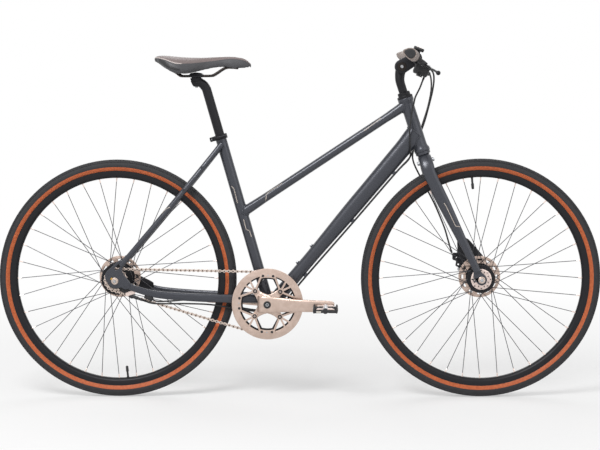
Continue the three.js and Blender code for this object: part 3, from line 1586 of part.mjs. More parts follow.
// Cables. Each route is a table of places chosen by hand between its two ends. Near the steering
// a place is [height over the head tube's top, distance ahead over the fork offset, distance to
// the left over the front hub's width]. Under the stays it is a chainstay's kind of place.
const shiftHeadShares = [
  [1.0268, 0.956, -0.84], [0.991, 0.569, -0.58], [0.9597, 0.357, -0.42], [0.9284, 0.144, -0.34],
  [0.8403, -0.359, -0.32], [0.7918, -0.55, -0.29], [0.7423, -0.7, -0.2],
];
const shiftStayShares = [
  [-0.068, -0.4, 0.133], [0.023, -0.414, 0.163], [0.158, -0.314, 0.252], [0.26, -0.186, 0.385],
  [0.384, -0.043, 0.593], [0.52, 0.014, 0.696], [0.655, 0.014, 0.756], [0.757, 0.043, 0.844],
];
const brakeHeadShares = [
  [1.0841, 1.987, -1.14], [1.0468, 1.93, -1], [0.9978, 1.692, -0.7], [0.952, 1.4, -0.4],
  [0.9068, 1.088, -0.12], [0.8605, 0.749, 0.12], [0.8213, 0.417, 0.29], [0.7794, -0.017, 0.34],
  [0.7346, -0.484, 0.25],
];
const brakeStayShares = [
  [-0.068, -0.4, 0.133], [0.023, -0.414, 0.163], [0.158, -0.314, 0.252], [0.26, -0.186, 0.385],
  [0.384, -0.043, 0.593], [0.52, 0, 0.696], [0.655, -0.057, 0.741], [0.757, -0.071, 0.756],
];
const frontBrakeHeadShares = [
  [1.0841, 1.987, 1.14], [1.0474, 1.91, 1], [0.9932, 1.518, 0.84], [0.9272, 0.878, 0.66],
  [0.8534, 0.185, 0.52], [0.7837, -0.313, 0.46], [0.6942, -0.681, 0.44], [0.58, -0.574, 0.42],
  [0.4394, -0.277, 0.45], [0.2988, 0.043, 0.48],
];
const cableEntryShare = 0.89;
const cableLeaveShare = 0.08;
const cablePointSteps = 1.6;

function besideHead(shares) {
  return shares.map(([height, ahead, left]) => onSteerer(height * headTubeTop,
    ahead * forkOffset, left * frontHubWidth));
}

function underStay(shares, side) {
  return shares.map((place) => chainstayPoint(place, side));
}

function cable(points) {
  return wire(points, cableRadius, Math.round(cablePointSteps * points.length), cableSides);
}

function downTubeRun(side) {
  const entry = along(cableUnderDownTube(cableEntryShare, side), [downTubeUp, -cableRadius]);
  return [entry, ...[...guideShares].reverse().map((t) => cableUnderDownTube(t, side)),
    cableUnderDownTube(cableLeaveShare, side)];
}

function portEnd(side) {
  const port = onLever(side, bracketPlace - bracketLength / 2, cablePortReach);
  return [0, 2 * overrun].map((further) => along(port,
    [portDirection(side), portLength + gap + further]));
}

// Where a brake's cable ends: just outside the stop on its reaction arm.
function stopEnd(centre, { stopAngle, stopReach, start }, further = 0) {
  return along(centre, [heading(stopAngle), stopReach + stopLength / 2 + gap + further],
    [sideways, start + brakeCover.armThickness / 2]);
}

function shiftCable() {
  const pod = along(podCentre(), [paddleAxis, podSize[2] / 2], [paddleForward, podSize[0] / 3]);
  const { tip, direction } = cableFitting();
  const end = along(tip, [direction, jointFittingLength + gap]);
  return cable([along(pod, [paddleAxis, gap]), along(pod, [paddleAxis, 3 * overrun]),
    ...besideHead(shiftHeadShares), ...downTubeRun(-1), ...underStay(shiftStayShares, -1), end]);
}

function brakeCable() {
  return cable([...portEnd(-1), ...besideHead(brakeHeadShares), ...downTubeRun(1),
    ...underStay(brakeStayShares, 1), stopEnd(rearAxle, rearBrake)]);
}

function frontBrakeCable() {
  return cable([...portEnd(1), ...besideHead(frontBrakeHeadShares),
    stopEnd(frontAxle, frontBrake, 5 * overrun), stopEnd(frontAxle, frontBrake)]);
}

// Seat clamp, seat post and saddle.
const collarHeight = 14;
const collarWall = 4;
const clampLug = 9;
const clampLeverReach = 40;
const clampLeverThickness = 4.5;
const clampLeverWidth = 9;

function collar() {
  const inner = seatTubeDiameter / 2 + gap;
  const outer = inner + collarWall;
  const top = seatTubeLength;
  const bottom = top - collarHeight;
  const band = onSeat([[bottom, 0], [bottom, outer], [top, outer], [top, 0]]);
  const lug = new THREE.BoxGeometry(2 * clampLug, 2 * clampLug, collarHeight);
  lug.translate(-outer, 0, 0);
  const basis = new THREE.Matrix4().makeBasis(seatForward, sideways, seatDirection.clone());
  basis.setPosition(onSeatTube(top - collarHeight / 2));
  const bore = onSeat([[bottom - overrun, 0], [bottom - overrun, inner], [top + overrun, inner],
    [top + overrun, 0]]);
  const slot = new THREE.BoxGeometry(4 * clampLug, 2, 2 * collarHeight);
  slot.translate(-outer - clampLug, 0, 0);
  return cut(union(band, solid(lug.applyMatrix4(basis))), bore, solid(slot.applyMatrix4(basis)));
}

function clampPivot() {
  return onSeatTube(seatTubeLength - collarHeight / 2, -seatTubeDiameter / 2 - collarWall,
    -clampLug - 4 * gap - clampLeverThickness);
}

function clampLever() {
  const pivot = clampPivot();
  const hubDisc = stand(rod(clampLeverThickness, -clampLeverWidth / 2, clampLeverWidth / 2, 12),
    pivot, seatDirection, seatForward);
  const outside = -seatTubeDiameter / 2 - collarWall - clampLeverThickness - 2 * sink;
  const knots = [[0, pivot.y], [0.1, (pivot.y + outside) / 2], [0.3, outside], [1, outside]].map(
    ([share, y]) => ({
      at: along(pivot, [seatForward, clampLeverReach * share], [sideways, y - pivot.y]),
      width: clampLeverThickness,
      height: clampLeverWidth,
    }));
  return union(hubDisc, sweptTube(knots, 6, 8, 1, seatDirection));
}

const postInserted = 106;
const postAboveTube = 161;
const saddleClampAboveTube = 179;
const postBottom = seatTubeLength - postInserted;
const postTop = seatTubeLength + postAboveTube;
const saddleClampHeight = seatTubeLength + saddleClampAboveTube;
const saddleSetback = 19;
const headRadius = 13;
const headHalf = 14;
const cradleWall = 4;
const cradleDrop = 3;
const saddlePivot = onSeatTube(saddleClampHeight, -saddleSetback);

function seatPost() {
  const radius = seatPostDiameter / 2;
  const tube = onSeat([[postBottom, 0], [postBottom, radius], [postTop, radius], [postTop, 0]]);
  const neck = sweptTube([
    { at: onSeatTube(postTop - overrun), width: 2 * radius, height: 2 * radius },
    { at: onSeatTube(postTop + overrun, -saddleSetback / 3), width: 2 * radius,
      height: 1.6 * radius },
    { at: along(saddlePivot, [seatDirection, -2 * overrun]), width: 2 * headHalf,
      height: 1.5 * headRadius },
  ], 3, 8, 1, seatForward);
  const cradle = shift(rod(headRadius + cradleWall, -headHalf, headHalf, 16), saddlePivot);
  const above = new THREE.BoxGeometry(4 * headRadius, 4 * headHalf, 4 * headRadius);
  above.translate(saddlePivot.x, 0, saddlePivot.z + 2 * headRadius - cradleDrop);
  const trough = shift(rod(headRadius + gap, -2 * headHalf, 2 * headHalf, 16), saddlePivot);
  return cut(union(tube, neck, cradle), solid(above), trough);
}

const railRadius = 3.5;
const railSpread = 22;
const saddleLength = 282;
const saddleWidth = 162;
const saddleTailBehindPivot = 120;
const saddleTopAbovePivot = 64;
const saddleTail = saddlePivot.x - saddleTailBehindPivot;
const saddleTop = saddlePivot.z + saddleTopAbovePivot;

// Saddle stations: [share from tail to nose, half width share, top, lower edge] where the last
// two are depths below the saddle's highest point, as shares of its length.
const saddleDepth = 30;
const saddleStationShares = [
  [0, 0.36, 0.1, 0.5], [0.05, 0.62, 0.0, 0.75], [0.14, 0.93, 0.06, 1.3], [0.25, 1, 0.16, 1.72],
  [0.38, 0.82, 0.24, 1.62], [0.52, 0.5, 0.26, 1.3], [0.68, 0.31, 0.18, 1.1],
  [0.82, 0.26, 0.14, 1.22], [0.93, 0.21, 0.3, 1.2], [1, 0.1, 0.85, 1.16],
];
// Across the top, from the middle outwards: [share of the half width, share of the drop].
const crownShares = [
  [0.12, 0.1], [0.34, 0.02], [0.64, 0.1], [0.84, 0.28], [0.96, 0.54], [1, 0.78], [0.95, 0.93],
];
// The cover's underside follows the shell, which hangs a gap below it.
const undersideShares = [[0.86, 0.98], [0.45, 0.62]];
const shellFlankShares = [[0.32, 0.86], [0.72, 1.2]];

function saddlePoint(station, [across, drop]) {
  const [t, half, top, bottom] = station;
  const depth = THREE.MathUtils.lerp(top, bottom, drop) * saddleDepth;
  return vector(saddleTail + t * saddleLength, across * half * saddleWidth / 2,
    saddleTop - depth);
}

// A closed section: the points of the left half, and the same points mirrored.
function bothHalves(half) {
  return [...half, ...half.map((p) => vector(p.x, -p.y, p.z)).reverse()];
}

function saddleCover() {
  return loft(saddleStationShares.map((station) => bothHalves([...crownShares,
    ...undersideShares].map((shares) => saddlePoint(station, shares)))), 'hollowed');
}

function saddleShell() {
  const sections = saddleStationShares.slice(1, -1).map((station) => bothHalves(
    [...shellFlankShares, ...undersideShares].map((shares) => along(saddlePoint(station, shares),
      [upward, -gap]))));
  return cut(loft(sections), railSkin(gap));
}

function railPath() {
  const low = saddlePivot.z + railRadius + sink;
  const half = [
    vector(saddleTail + 0.16 * saddleLength, railSpread * 1.5, saddleTop - 1.35 * saddleDepth),
    vector(saddleTail + 0.24 * saddleLength, railSpread * 1.15, low + overrun * 1.5),
    vector(saddlePivot.x - 25, railSpread, low), vector(saddlePivot.x + 30, railSpread, low),
    vector(saddlePivot.x + 62, railSpread * 0.8, low + overrun * 1.5),
    vector(saddleTail + 0.8 * saddleLength, railSpread * 0.45, saddleTop - 1.3 * saddleDepth),
  ];
  const nose = vector(saddleTail + 0.85 * saddleLength, 0, saddleTop - 1.25 * saddleDepth);
  return [...half, nose, ...half.map((p) => vector(p.x, -p.y, p.z)).reverse()];
}

function railSkin(grow) {
  return wire(railPath(), railRadius + grow, 22, 6);
}

function saddleClamp() {
  const low = saddlePivot.z + railRadius + sink;
  const height = 2 * railRadius + 2 * sink;
  const body = new THREE.BoxGeometry(2 * headRadius + 2 * overrun, 2 * railSpread + 12, height);
  body.translate(saddlePivot.x, 0, low);
  const barrel = shift(rod(headRadius, -headHalf, headHalf, 16), saddlePivot);
  return cut(union(solid(body), barrel), railSkin(gap));
}

function steering() {
  add('fork', fork(), 'framePaint');
  add('headset_upper', headset(), 'black');
  add('stem_quill', quill(), 'black');
  add('stem_arm', stemArm(), 'black');
  add('handlebar', barSkin(0), 'black');
  for (const [name, side] of [['right', -1], ['left', 1]]) {
    add(`grip_${name}`, grip(side), 'taupe');
    add(`lever_bracket_${name}`, leverBracket(side), 'black');
    add(`brake_lever_${name}`, brakeLever(side), 'black');
  }
  add('shifter_body', shifter(), 'black');
  add('shift_paddle', shiftPaddle(), 'black');
}

function cables() {
  add('shift_cable', shiftCable(), 'black');
  add('rear_brake_cable', brakeCable(), 'black');
  add('front_brake_cable', frontBrakeCable(), 'black');
}

function seat() {
  add('seat_clamp_collar', collar(), 'black');
  add('seat_clamp_lever', clampLever(), 'black');
  add('seatpost', seatPost(), 'black');
  add('saddle_clamp', saddleClamp(), 'black');
  add('saddle_rails', railSkin(0), 'darkGrey');
  add('saddle_shell', saddleShell(), 'darkGrey');
  add('saddle_cover', saddleCover(), 'taupe');
}

frame();
wheels();
drive();
steering();
cables();
seat();

export default bicycle;
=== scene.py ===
# %% [markdown]
# This file dresses a step-through bicycle. A bare model of it, with real sizes and real joints,
# is loaded first and stays where it is. Each cell then makes one finish or a few pieces, and
# sets each piece on the body that carries it. Distances are metres, so a value in millimetres
# is multiplied by `mm`. +X is forward, +Y is the rider's left, and +Z is up.

import json
import math

import bmesh
import bpy
import numpy as np
from mathutils import Matrix, Vector

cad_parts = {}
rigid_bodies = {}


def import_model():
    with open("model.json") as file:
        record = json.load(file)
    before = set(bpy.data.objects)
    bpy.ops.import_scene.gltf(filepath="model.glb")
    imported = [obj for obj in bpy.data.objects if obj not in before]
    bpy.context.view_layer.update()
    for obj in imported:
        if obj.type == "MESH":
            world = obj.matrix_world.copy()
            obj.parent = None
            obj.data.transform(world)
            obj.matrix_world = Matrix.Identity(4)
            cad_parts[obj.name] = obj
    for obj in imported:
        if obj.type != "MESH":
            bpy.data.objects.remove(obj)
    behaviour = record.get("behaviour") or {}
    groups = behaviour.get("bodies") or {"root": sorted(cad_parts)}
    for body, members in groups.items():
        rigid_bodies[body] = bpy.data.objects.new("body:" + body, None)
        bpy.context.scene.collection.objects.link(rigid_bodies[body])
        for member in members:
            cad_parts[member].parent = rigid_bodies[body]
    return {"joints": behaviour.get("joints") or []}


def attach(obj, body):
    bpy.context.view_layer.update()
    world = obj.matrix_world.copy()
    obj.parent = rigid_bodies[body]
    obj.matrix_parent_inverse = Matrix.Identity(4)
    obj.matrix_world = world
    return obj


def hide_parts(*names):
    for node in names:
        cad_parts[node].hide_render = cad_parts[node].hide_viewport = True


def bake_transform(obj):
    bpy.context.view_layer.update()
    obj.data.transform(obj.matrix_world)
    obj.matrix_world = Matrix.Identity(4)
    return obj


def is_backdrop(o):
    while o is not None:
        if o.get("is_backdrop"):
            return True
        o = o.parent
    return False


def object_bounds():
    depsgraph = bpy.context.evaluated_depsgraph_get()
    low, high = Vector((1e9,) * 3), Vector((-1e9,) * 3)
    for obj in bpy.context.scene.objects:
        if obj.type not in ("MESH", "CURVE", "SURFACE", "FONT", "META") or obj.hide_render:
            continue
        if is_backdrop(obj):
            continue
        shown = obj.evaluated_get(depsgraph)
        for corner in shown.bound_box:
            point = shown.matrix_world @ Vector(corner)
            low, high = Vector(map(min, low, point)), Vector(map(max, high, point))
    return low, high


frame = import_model()
cad_low, cad_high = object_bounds()
mm = 0.001
SIDE = Vector((0, 1, 0))
UP = Vector((0, 0, 1))
print("bare bicycle from", tuple(cad_low), "to", tuple(cad_high))

# %% [markdown]
# Every place on the bicycle follows from a few points: the two axles, the crank's axis, the
# steering axis and the seat tube. They are read from the joints of the bare model, because a
# number that is typed twice sooner or later disagrees with itself.

# %% Axles and axes
joints = {joint["name"]: joint for joint in frame["joints"]}


def joint_place(name):
    return Vector(joints[name]["pos_m"])


def joint_axis(name):
    return Vector(joints[name]["axis"]).normalized()


front_axle = joint_place("front_wheel_spin")
rear_axle = joint_place("rear_wheel_spin")
bracket = joint_place("crank_spin")
steer_up = joint_axis("steering")
steer_ahead = SIDE.cross(steer_up)
fork_offset = 47
steer_foot = front_axle - fork_offset * mm * steer_ahead
seat_up = joint_axis("seatpost_height")
seat_ahead = SIDE.cross(seat_up)
wheel_radius = front_axle.z
wheels = (("front", front_axle), ("rear", rear_axle))
both_sides = ((-1, "right"), (1, "left"))
print("wheelbase", round(front_axle.x - rear_axle.x, 4), "wheel radius", round(wheel_radius, 4))


def on_steerer(height, ahead=0.0, side=0.0):
    return steer_foot + height * mm * steer_up + ahead * mm * steer_ahead + side * mm * SIDE


def on_seat_tube(height, ahead=0.0, side=0.0):
    return bracket + height * mm * seat_up + ahead * mm * seat_ahead + side * mm * SIDE


def heading(degrees):
    """A direction in the bicycle's own plane, at an angle above straight ahead."""
    turn = math.radians(degrees)
    return Vector((math.cos(turn), 0, math.sin(turn)))


# %% [markdown]
# The camera stands where the photographer stood: five metres off on the chain side, a little
# above the wheels, with a long lens. The two wheels of the photograph gave its place. A long
# lens keeps the two wheels nearly round, which a nearer, wider one would not.

# %% Camera
camera_place = Vector((135.2, -4980.4, 929.4)) * mm
camera_ahead = Vector((-0.02616, 0.99607, -0.08456))
camera_right = Vector((0.99966, 0.02594, -0.00372))
camera_up = camera_right.cross(camera_ahead).normalized()
camera_data = bpy.data.cameras.new("camera")
camera_data.sensor_width = 36
camera_data.lens = 102.32
camera_data.clip_end = 100
camera = bpy.data.objects.new("camera", camera_data)
bpy.context.scene.collection.objects.link(camera)
columns = Matrix((camera_right.normalized(), camera_up, -camera_ahead.normalized())).transposed()
camera.matrix_world = Matrix.Translation(camera_place) @ columns.to_4x4()
bpy.context.scene.camera = camera
print("camera lens", camera_data.lens, "mm")

# %% [markdown]
# A material is a small graph of nodes. One helper adds a node, sets its sockets and links
# them, and another turns the usual six-figure colour of the screen into the linear colour that
# the renderer counts in. Pattern sizes are given in millimetres: a noise with one blob per
# `size` has a scale of one over that size in metres.

# %% Helpers for materials
def linear(hex_code):
    values = [int(hex_code[i:i + 2], 16) / 255 for i in (1, 3, 5)]
    steps = [v / 12.92 if v <= 0.04045 else ((v + 0.055) / 1.055) ** 2.4 for v in values]
    return (*steps, 1.0)


def per_size(millimetres):
    return 1 / (millimetres * mm)


def add_node(material, kind, settings=None, links=None):
    """Adds a node. Settings are attributes or socket values, links are socket: (node, output)."""
    tree = material.node_tree
    node = tree.nodes.new(kind)
    for key, value in (settings or {}).items():
        if isinstance(key, str) and hasattr(node, key):
            setattr(node, key, value)
        else:
            node.inputs[key].default_value = value
    for key, (source, output) in (links or {}).items():
        tree.links.new(source.outputs[output], node.inputs[key])
    return node


def new_material(name, hex_code, roughness, metallic=0.0, **sockets):
    """A material with one Principled shader, its place in object coordinates and its colour."""
    material = bpy.data.materials.new(name)
    material.use_nodes = True
    shader = material.node_tree.nodes["Principled BSDF"]
    shader.inputs["Base Color"].default_value = linear(hex_code)
    shader.inputs["Roughness"].default_value = roughness
    shader.inputs["Metallic"].default_value = metallic
    for key, value in sockets.items():
        shader.inputs[key.replace("_", " ")].default_value = value
    place = add_node(material, "ShaderNodeTexCoord")
    return material, shader, place


def link(material, source, output, target, socket):
    material.node_tree.links.new(source.outputs[output], target.inputs[socket])


def bump(material, shader, height_node, output, depth, strength=1.0):
    """Lets a pattern dent the surface by a depth in millimetres."""
    node = add_node(material, "ShaderNodeBump", {"Strength": strength, "Distance": depth * mm},
                    {"Height": (height_node, output)})
    link(material, node, "Normal", shader, "Normal")


def pattern(material, kind, place, size, **sockets):
    """A noise or a pattern of cells on object coordinates, with its size in millimetres."""
    return add_node(material, f"ShaderNodeTex{kind}", {"Scale": per_size(size), **sockets},
                    {"Vector": (place, "Object")})


def shade_ramp(material, noise, shades, stops=(0.0, 1.0)):
    ramp = add_node(material, "ShaderNodeValToRGB", None, {"Fac": (noise, "Fac")})
    for element, stop, shade in zip(ramp.color_ramp.elements, stops, shades):
        element.position = stop
        element.color = linear(shade)
    return ramp


def mottle(material, shader, place, size, first, second, detail=4.0):
    """Colour that wanders between two near shades, as on every real surface."""
    noise = pattern(material, "Noise", place, size, Detail=detail)
    ramp = shade_ramp(material, noise, (first, second), (0.35, 0.65))
    link(material, ramp, "Color", shader, "Base Color")
    return noise


def rough_between(material, shader, noise, low, high):
    """Gloss that varies a little with the same pattern."""
    span = add_node(material, "ShaderNodeMapRange", {"To Min": low, "To Max": high},
                    {"Value": (noise, "Fac")})
    link(material, span, "Result", shader, "Roughness")


def patchy(name, hex_code, roughness, metallic, size, shades, gloss):
    """A finish whose shade and gloss vary together, from one noise of a size."""
    material, shader, place = new_material(name, hex_code, roughness, metallic)
    noise = mottle(material, shader, place, size, *shades)
    rough_between(material, shader, noise, *gloss)
    print("made", material.name)
    return material, shader, noise


# %% [markdown]
# The frame is painted: a satin powder coat in anthracite, with a faint blue cast. Powder coat
# melts and flows in the oven, which leaves a very shallow, even orange peel of a few
# millimetres. Fine metal flake under it makes highlights a little brighter than flat paint.

# %% Satin frame paint
paint, shader, place = new_material("satin_powder_coat", "#3b3d44", 0.3, 0.4,
                                    Specular_IOR_Level=0.35, Coat_Weight=0.3,
                                    Coat_Roughness=0.2)
noise = mottle(paint, shader, place, 0.5, "#393b41", "#42444c", detail=2.0)
peel = pattern(paint, "Noise", place, 3, Detail=1.0)
bump(paint, shader, peel, "Fac", 0.03, 0.35)
rough_between(paint, shader, noise, 0.27, 0.35)
print("made", paint.name)

# %% [markdown]
# The seat post, stem, bar, rims and hub shells are aluminium, blasted and anodised black. The
# blasting leaves a fine matt grain, and the dyed layer is thin, so metal still shines through.

# %% Black anodised aluminium
black_alloy, shader, noise = patchy("black_anodised_aluminium", "#1b1b1e", 0.42, 0.55, 0.7,
                                    ("#18181b", "#202024"), (0.36, 0.5))
bump(black_alloy, shader, noise, "Fac", 0.02, 0.25)

# %% [markdown]
# Moulded parts such as pedals, the shifter and the saddle's shell are glass-filled nylon. It
# comes out of a spark-eroded mould with an even grain of about half a millimetre.

# %% Moulded nylon
nylon, shader, place = new_material("moulded_nylon", "#1d1d1f", 0.55)
grain = pattern(nylon, "Voronoi", place, 0.6)
bump(nylon, shader, grain, "Distance", 0.06, 0.4)
mottle(nylon, shader, place, 9, "#1a1a1c", "#232326")
print("made", nylon.name)

# %% [markdown]
# The cranks and the guard are anodised in a warm champagne and polished before that, so they
# are smooth, bright and only slightly satin. A very fine noise in the gloss stands for the
# polishing marks, which are too fine to draw at their true width.

# %% Champagne anodised aluminium
champagne, shader, place = new_material("champagne_anodised_aluminium", "#d8beb0", 0.26, 0.85)
mottle(champagne, shader, place, 14, "#c4aea1", "#ceb9ad", detail=2.0)
marks = pattern(champagne, "Noise", place, 0.8, Detail=6.0)
rough_between(champagne, shader, marks, 0.26, 0.38)
print("made", champagne.name)

# %% [markdown]
# Nuts, axles, saddle rails and washers are steel with a zinc coat: cool, silvery and patchy,
# because the crystals of the coat catch the light one by one.

# %% Zinc plated steel
zinc, shader, place = new_material("zinc_plated_steel", "#b4b6b9", 0.32, 0.9)
cells = pattern(zinc, "Voronoi", place, 1.6)
shade = add_node(zinc, "ShaderNodeMapRange", {"To Min": 0.26, "To Max": 0.42},
                 {"Value": (cells, "Distance")})
link(zinc, shade, "Result", shader, "Roughness")
mottle(zinc, shader, place, 5, "#aeb0b4", "#bdbfc2")
print("made", zinc.name)

# %% [markdown]
# The caps on the hubs, the spokes' nipples and a few small fittings are pale aluminium, turned
# on a lathe. The rings that the tool leaves are far finer than a render can show, so only the
# shade and the gloss vary a little.

# %% Turned pale aluminium
turned_alloy = patchy("turned_aluminium", "#eedad1", 0.3, 0.85, 6, ("#dccac2", "#ecdad2"),
                      (0.26, 0.4))[0]

# %% [markdown]
# The chain is nickel plated, with a warm, slightly rosy cast from oil and polish. Each plate
# is stamped and tumbled, so its faces are smooth and its edges round.

# %% Nickel plated chain steel
nickel = patchy("nickel_plated_steel", "#cdbdb2", 0.3, 0.85, 4, ("#c3b2a7", "#d6c8be"),
                (0.24, 0.42))[0]

# %% [markdown]
# The chain's pins and rollers are hardened steel, dark and a little glossy beside the plated
# plates. Their ends are the dark dots where two links meet.

# %% Dark glossy steel
dark_steel = patchy("oiled_bare_steel", "#2b2624", 0.35, 0.7, 2, ("#241f1e", "#35302d"),
                     (0.28, 0.45))[0]

# %% [markdown]
# Tyres are vulcanised rubber with carbon black. It is nearly black, quite matt, and a fine
# bloom of wax greys it a little. It leaves its mould slightly uneven, hence the fine noise.

# %% Tyre rubber
tyre_rubber, shader, place = new_material("vulcanised_tyre_rubber", "#232326", 0.72)
noise = mottle(tyre_rubber, shader, place, 8, "#1f1f22", "#29292c")
fine = pattern(tyre_rubber, "Noise", place, 0.9, Detail=3.0)
bump(tyre_rubber, shader, fine, "Fac", 0.12, 0.5)
rough_between(tyre_rubber, shader, noise, 0.62, 0.8)
print("made", tyre_rubber.name)

# %% [markdown]
# A coloured rubber strip runs round each flank, burnt orange and as matt as the black beside
# it. It is a material of its own on the faces between two radii, so its edges stay sharp.

# %% Orange flank rubber
orange_rubber, shader, place = new_material("orange_flank_rubber", "#b4582c", 0.6)
mottle(orange_rubber, shader, place, 6, "#ab5127", "#bf6234")
fine = pattern(orange_rubber, "Noise", place, 1.2, Detail=3.0)
bump(orange_rubber, shader, fine, "Fac", 0.08, 0.5)
print("made", orange_rubber.name)

# %% [markdown]
# The grips are a soft moulded elastomer in taupe. Handling keeps it matt, and a fine pattern
# of dimples is moulded in, which a cellular texture stands for.

# %% Grip elastomer
grip_rubber, shader, place = new_material("grip_elastomer", "#8a7d76", 0.68,
                                          Sheen_Weight=0.15, Sheen_Roughness=0.5)
dimples = pattern(grip_rubber, "Voronoi", place, 2.2)
bump(grip_rubber, shader, dimples, "Distance", 0.5, 0.5)
mottle(grip_rubber, shader, place, 12, "#82756e", "#93867f")
print("made", grip_rubber.name)

# %% [markdown]
# Cable casing is a steel coil inside a smooth black plastic skin, glossier than rubber.

# %% Cable casing
casing = patchy("cable_casing_plastic", "#141416", 0.38, 0.0, 5, ("#121214", "#1b1b1e"),
                (0.32, 0.46))[0]

# %% [markdown]
# The saddle's cover is a synthetic leather: a polyurethane skin on a knitted back, embossed
# with a grain of about a millimetre. Its top panel is a brownish grey and its flanks are dark.
# The panels follow two numbers that the saddle's mesh stores, in millimetres above the seam and
# inside the insert, so the seam stays sharp whatever the mesh looks like. A pale piping lies
# along the seam near the tail, and a shallow groove runs along all of it.

# %% Saddle skin
saddle_skin, shader, place = new_material("synthetic_leather", "#6d6460", 0.5,
                                          Sheen_Weight=0.1, Sheen_Roughness=0.5)


def between(owner, value, low, high):
    """One where a value lies above high, zero below low, and a ramp in between."""
    return add_node(owner, "ShaderNodeMapRange", {"From Min": low, "From Max": high},
                    {"Value": value})


def mixed(owner, amount, first, second):
    return add_node(owner, "ShaderNodeMix", {"data_type": "RGBA"},
                    {"Factor": amount, 6: first, 7: second})


def band_of(owner, value, low, high):
    """One where a value lies below low, zero above high, and a ramp in between."""
    return add_node(owner, "ShaderNodeMapRange",
                    {"From Min": low, "From Max": high, "To Min": 1.0, "To Max": 0.0},
                    {"Value": value})


piping_half = 1.0
piping_front = -0.335
groove_depth = -2.5
seam = add_node(saddle_skin, "ShaderNodeAttribute", {"attribute_name": "seam_height"})
inset = add_node(saddle_skin, "ShaderNodeAttribute", {"attribute_name": "insert_depth"})
top_colour, flank_colour, insert_colour, piping_colour = [
    shade_ramp(saddle_skin, pattern(saddle_skin, "Noise", place, 16), shades)
    for shades in (("#6f6362", "#7f7270"), ("#39393c", "#444447"), ("#141416", "#1c1c1f"),
                   ("#b9aeaa", "#c8bdb8"))]
above = between(saddle_skin, (seam, "Fac"), -0.3, 0.3)
panels = mixed(saddle_skin, (above, "Result"), (flank_colour, "Color"), (top_colour, "Color"))
inside = between(saddle_skin, (inset, "Fac"), -0.2, 0.4)
panels = mixed(saddle_skin, (inside, "Result"), (panels, 2), (insert_colour, "Color"))
near = add_node(saddle_skin, "ShaderNodeMath", {"operation": "ABSOLUTE"}, {0: (seam, "Fac")})
on_seam = band_of(saddle_skin, (near, "Value"), piping_half, piping_half + 0.6)
at_x = add_node(saddle_skin, "ShaderNodeSeparateXYZ", None, {0: (place, "Object")})
at_tail = band_of(saddle_skin, (at_x, "X"), piping_front, piping_front + 0.005)
piping = add_node(saddle_skin, "ShaderNodeMath", {"operation": "MULTIPLY"},
                  {0: (on_seam, "Result"), 1: (at_tail, "Result")})
panels = mixed(saddle_skin, (piping, "Value"), (panels, 2), (piping_colour, "Color"))
link(saddle_skin, panels, 2, shader, "Base Color")
grain = pattern(saddle_skin, "Voronoi", place, 1.3, feature="DISTANCE_TO_EDGE")
groove = add_node(saddle_skin, "ShaderNodeMath", {"operation": "MULTIPLY", 1: groove_depth},
                  {0: (on_seam, "Result")})
relief = add_node(saddle_skin, "ShaderNodeMath", {"operation": "ADD"},
                  {0: (grain, "Distance"), 1: (groove, "Value")})
bump(saddle_skin, shader, relief, "Value", 0.2, 0.6)
print("made", saddle_skin.name)

# %% [markdown]
# The thin lines on the tubes are a pale print under the clear coat: flat, cream and smooth.

# %% Pale print
print_cream, shader, place = new_material("cream_print", "#dad3c9", 0.45)
mottle(print_cream, shader, place, 7, "#b1a59a", "#c2b7ac")
print("made", print_cream.name)

# %% [markdown]
# One small needle in the gear display is a red polycarbonate part, glossy and even.

# %% Red needle plastic
red_mark, shader, place = new_material("red_polycarbonate", "#c8362a", 0.3)
mottle(red_mark, shader, place, 3, "#c23226", "#ce3c30")
print("made", red_mark.name)

# %% [markdown]
# The studio is a pale floor under a white sky, with broad lamps. A broad lamp gives the soft
# edges of light that run along the tubes. The floor takes the object's shadow near it, and
# fades into the same white as the sky further out, so that no horizon shows. Only rays that
# come from the camera, or through gloss or glass, see that white. The sky's light on the
# bicycle itself stays weaker, or dark parts would turn grey.

# %% Floor, sky and lamps
floor_size = 40
fade_start = -1.0
fade_end = 2.6


def seen_rays(owner):
    """One where a ray comes from the camera, or through gloss or glass, and zero elsewhere."""
    rays = add_node(owner, "ShaderNodeLightPath")
    either = add_node(owner, "ShaderNodeMath", {"operation": "MAXIMUM"},
                      {0: (rays, "Is Camera Ray"), 1: (rays, "Is Glossy Ray")})
    return add_node(owner, "ShaderNodeMath", {"operation": "MAXIMUM"},
                    {0: (either, "Value"), 1: (rays, "Is Transmission Ray")})


bpy.ops.mesh.primitive_plane_add(size=floor_size, location=(0, 0, 0))
floor = bpy.context.object
floor.name = "studio_floor"
floor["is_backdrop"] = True
floor_paint, shader, place = new_material("matt_floor_paint", "#f2f2f2", 0.9)
middle = add_node(floor_paint, "ShaderNodeVectorMath", {"operation": "LENGTH"},
                  {0: (place, "Object")})
fade = add_node(floor_paint, "ShaderNodeMapRange",
                {"From Min": fade_start, "From Max": fade_end}, {"Value": (middle, "Value")})
bump(floor_paint, shader, pattern(floor_paint, "Noise", place, 8), "Fac", 0.05, 0.2)
seen = seen_rays(floor_paint)
seen_fade = add_node(floor_paint, "ShaderNodeMath", {"operation": "MULTIPLY"},
                     {0: (fade, "Result"), 1: (seen, "Value")})
glow = add_node(floor_paint, "ShaderNodeEmission", {"Color": (1, 1, 1, 1), "Strength": 1.0})
blend = add_node(floor_paint, "ShaderNodeMixShader", None,
                 {0: (seen_fade, "Value"), 1: (shader, "BSDF"), 2: (glow, "Emission")})
link(floor_paint, blend, 0, floor_paint.node_tree.nodes["Material Output"], "Surface")
floor.data.materials.append(floor_paint)

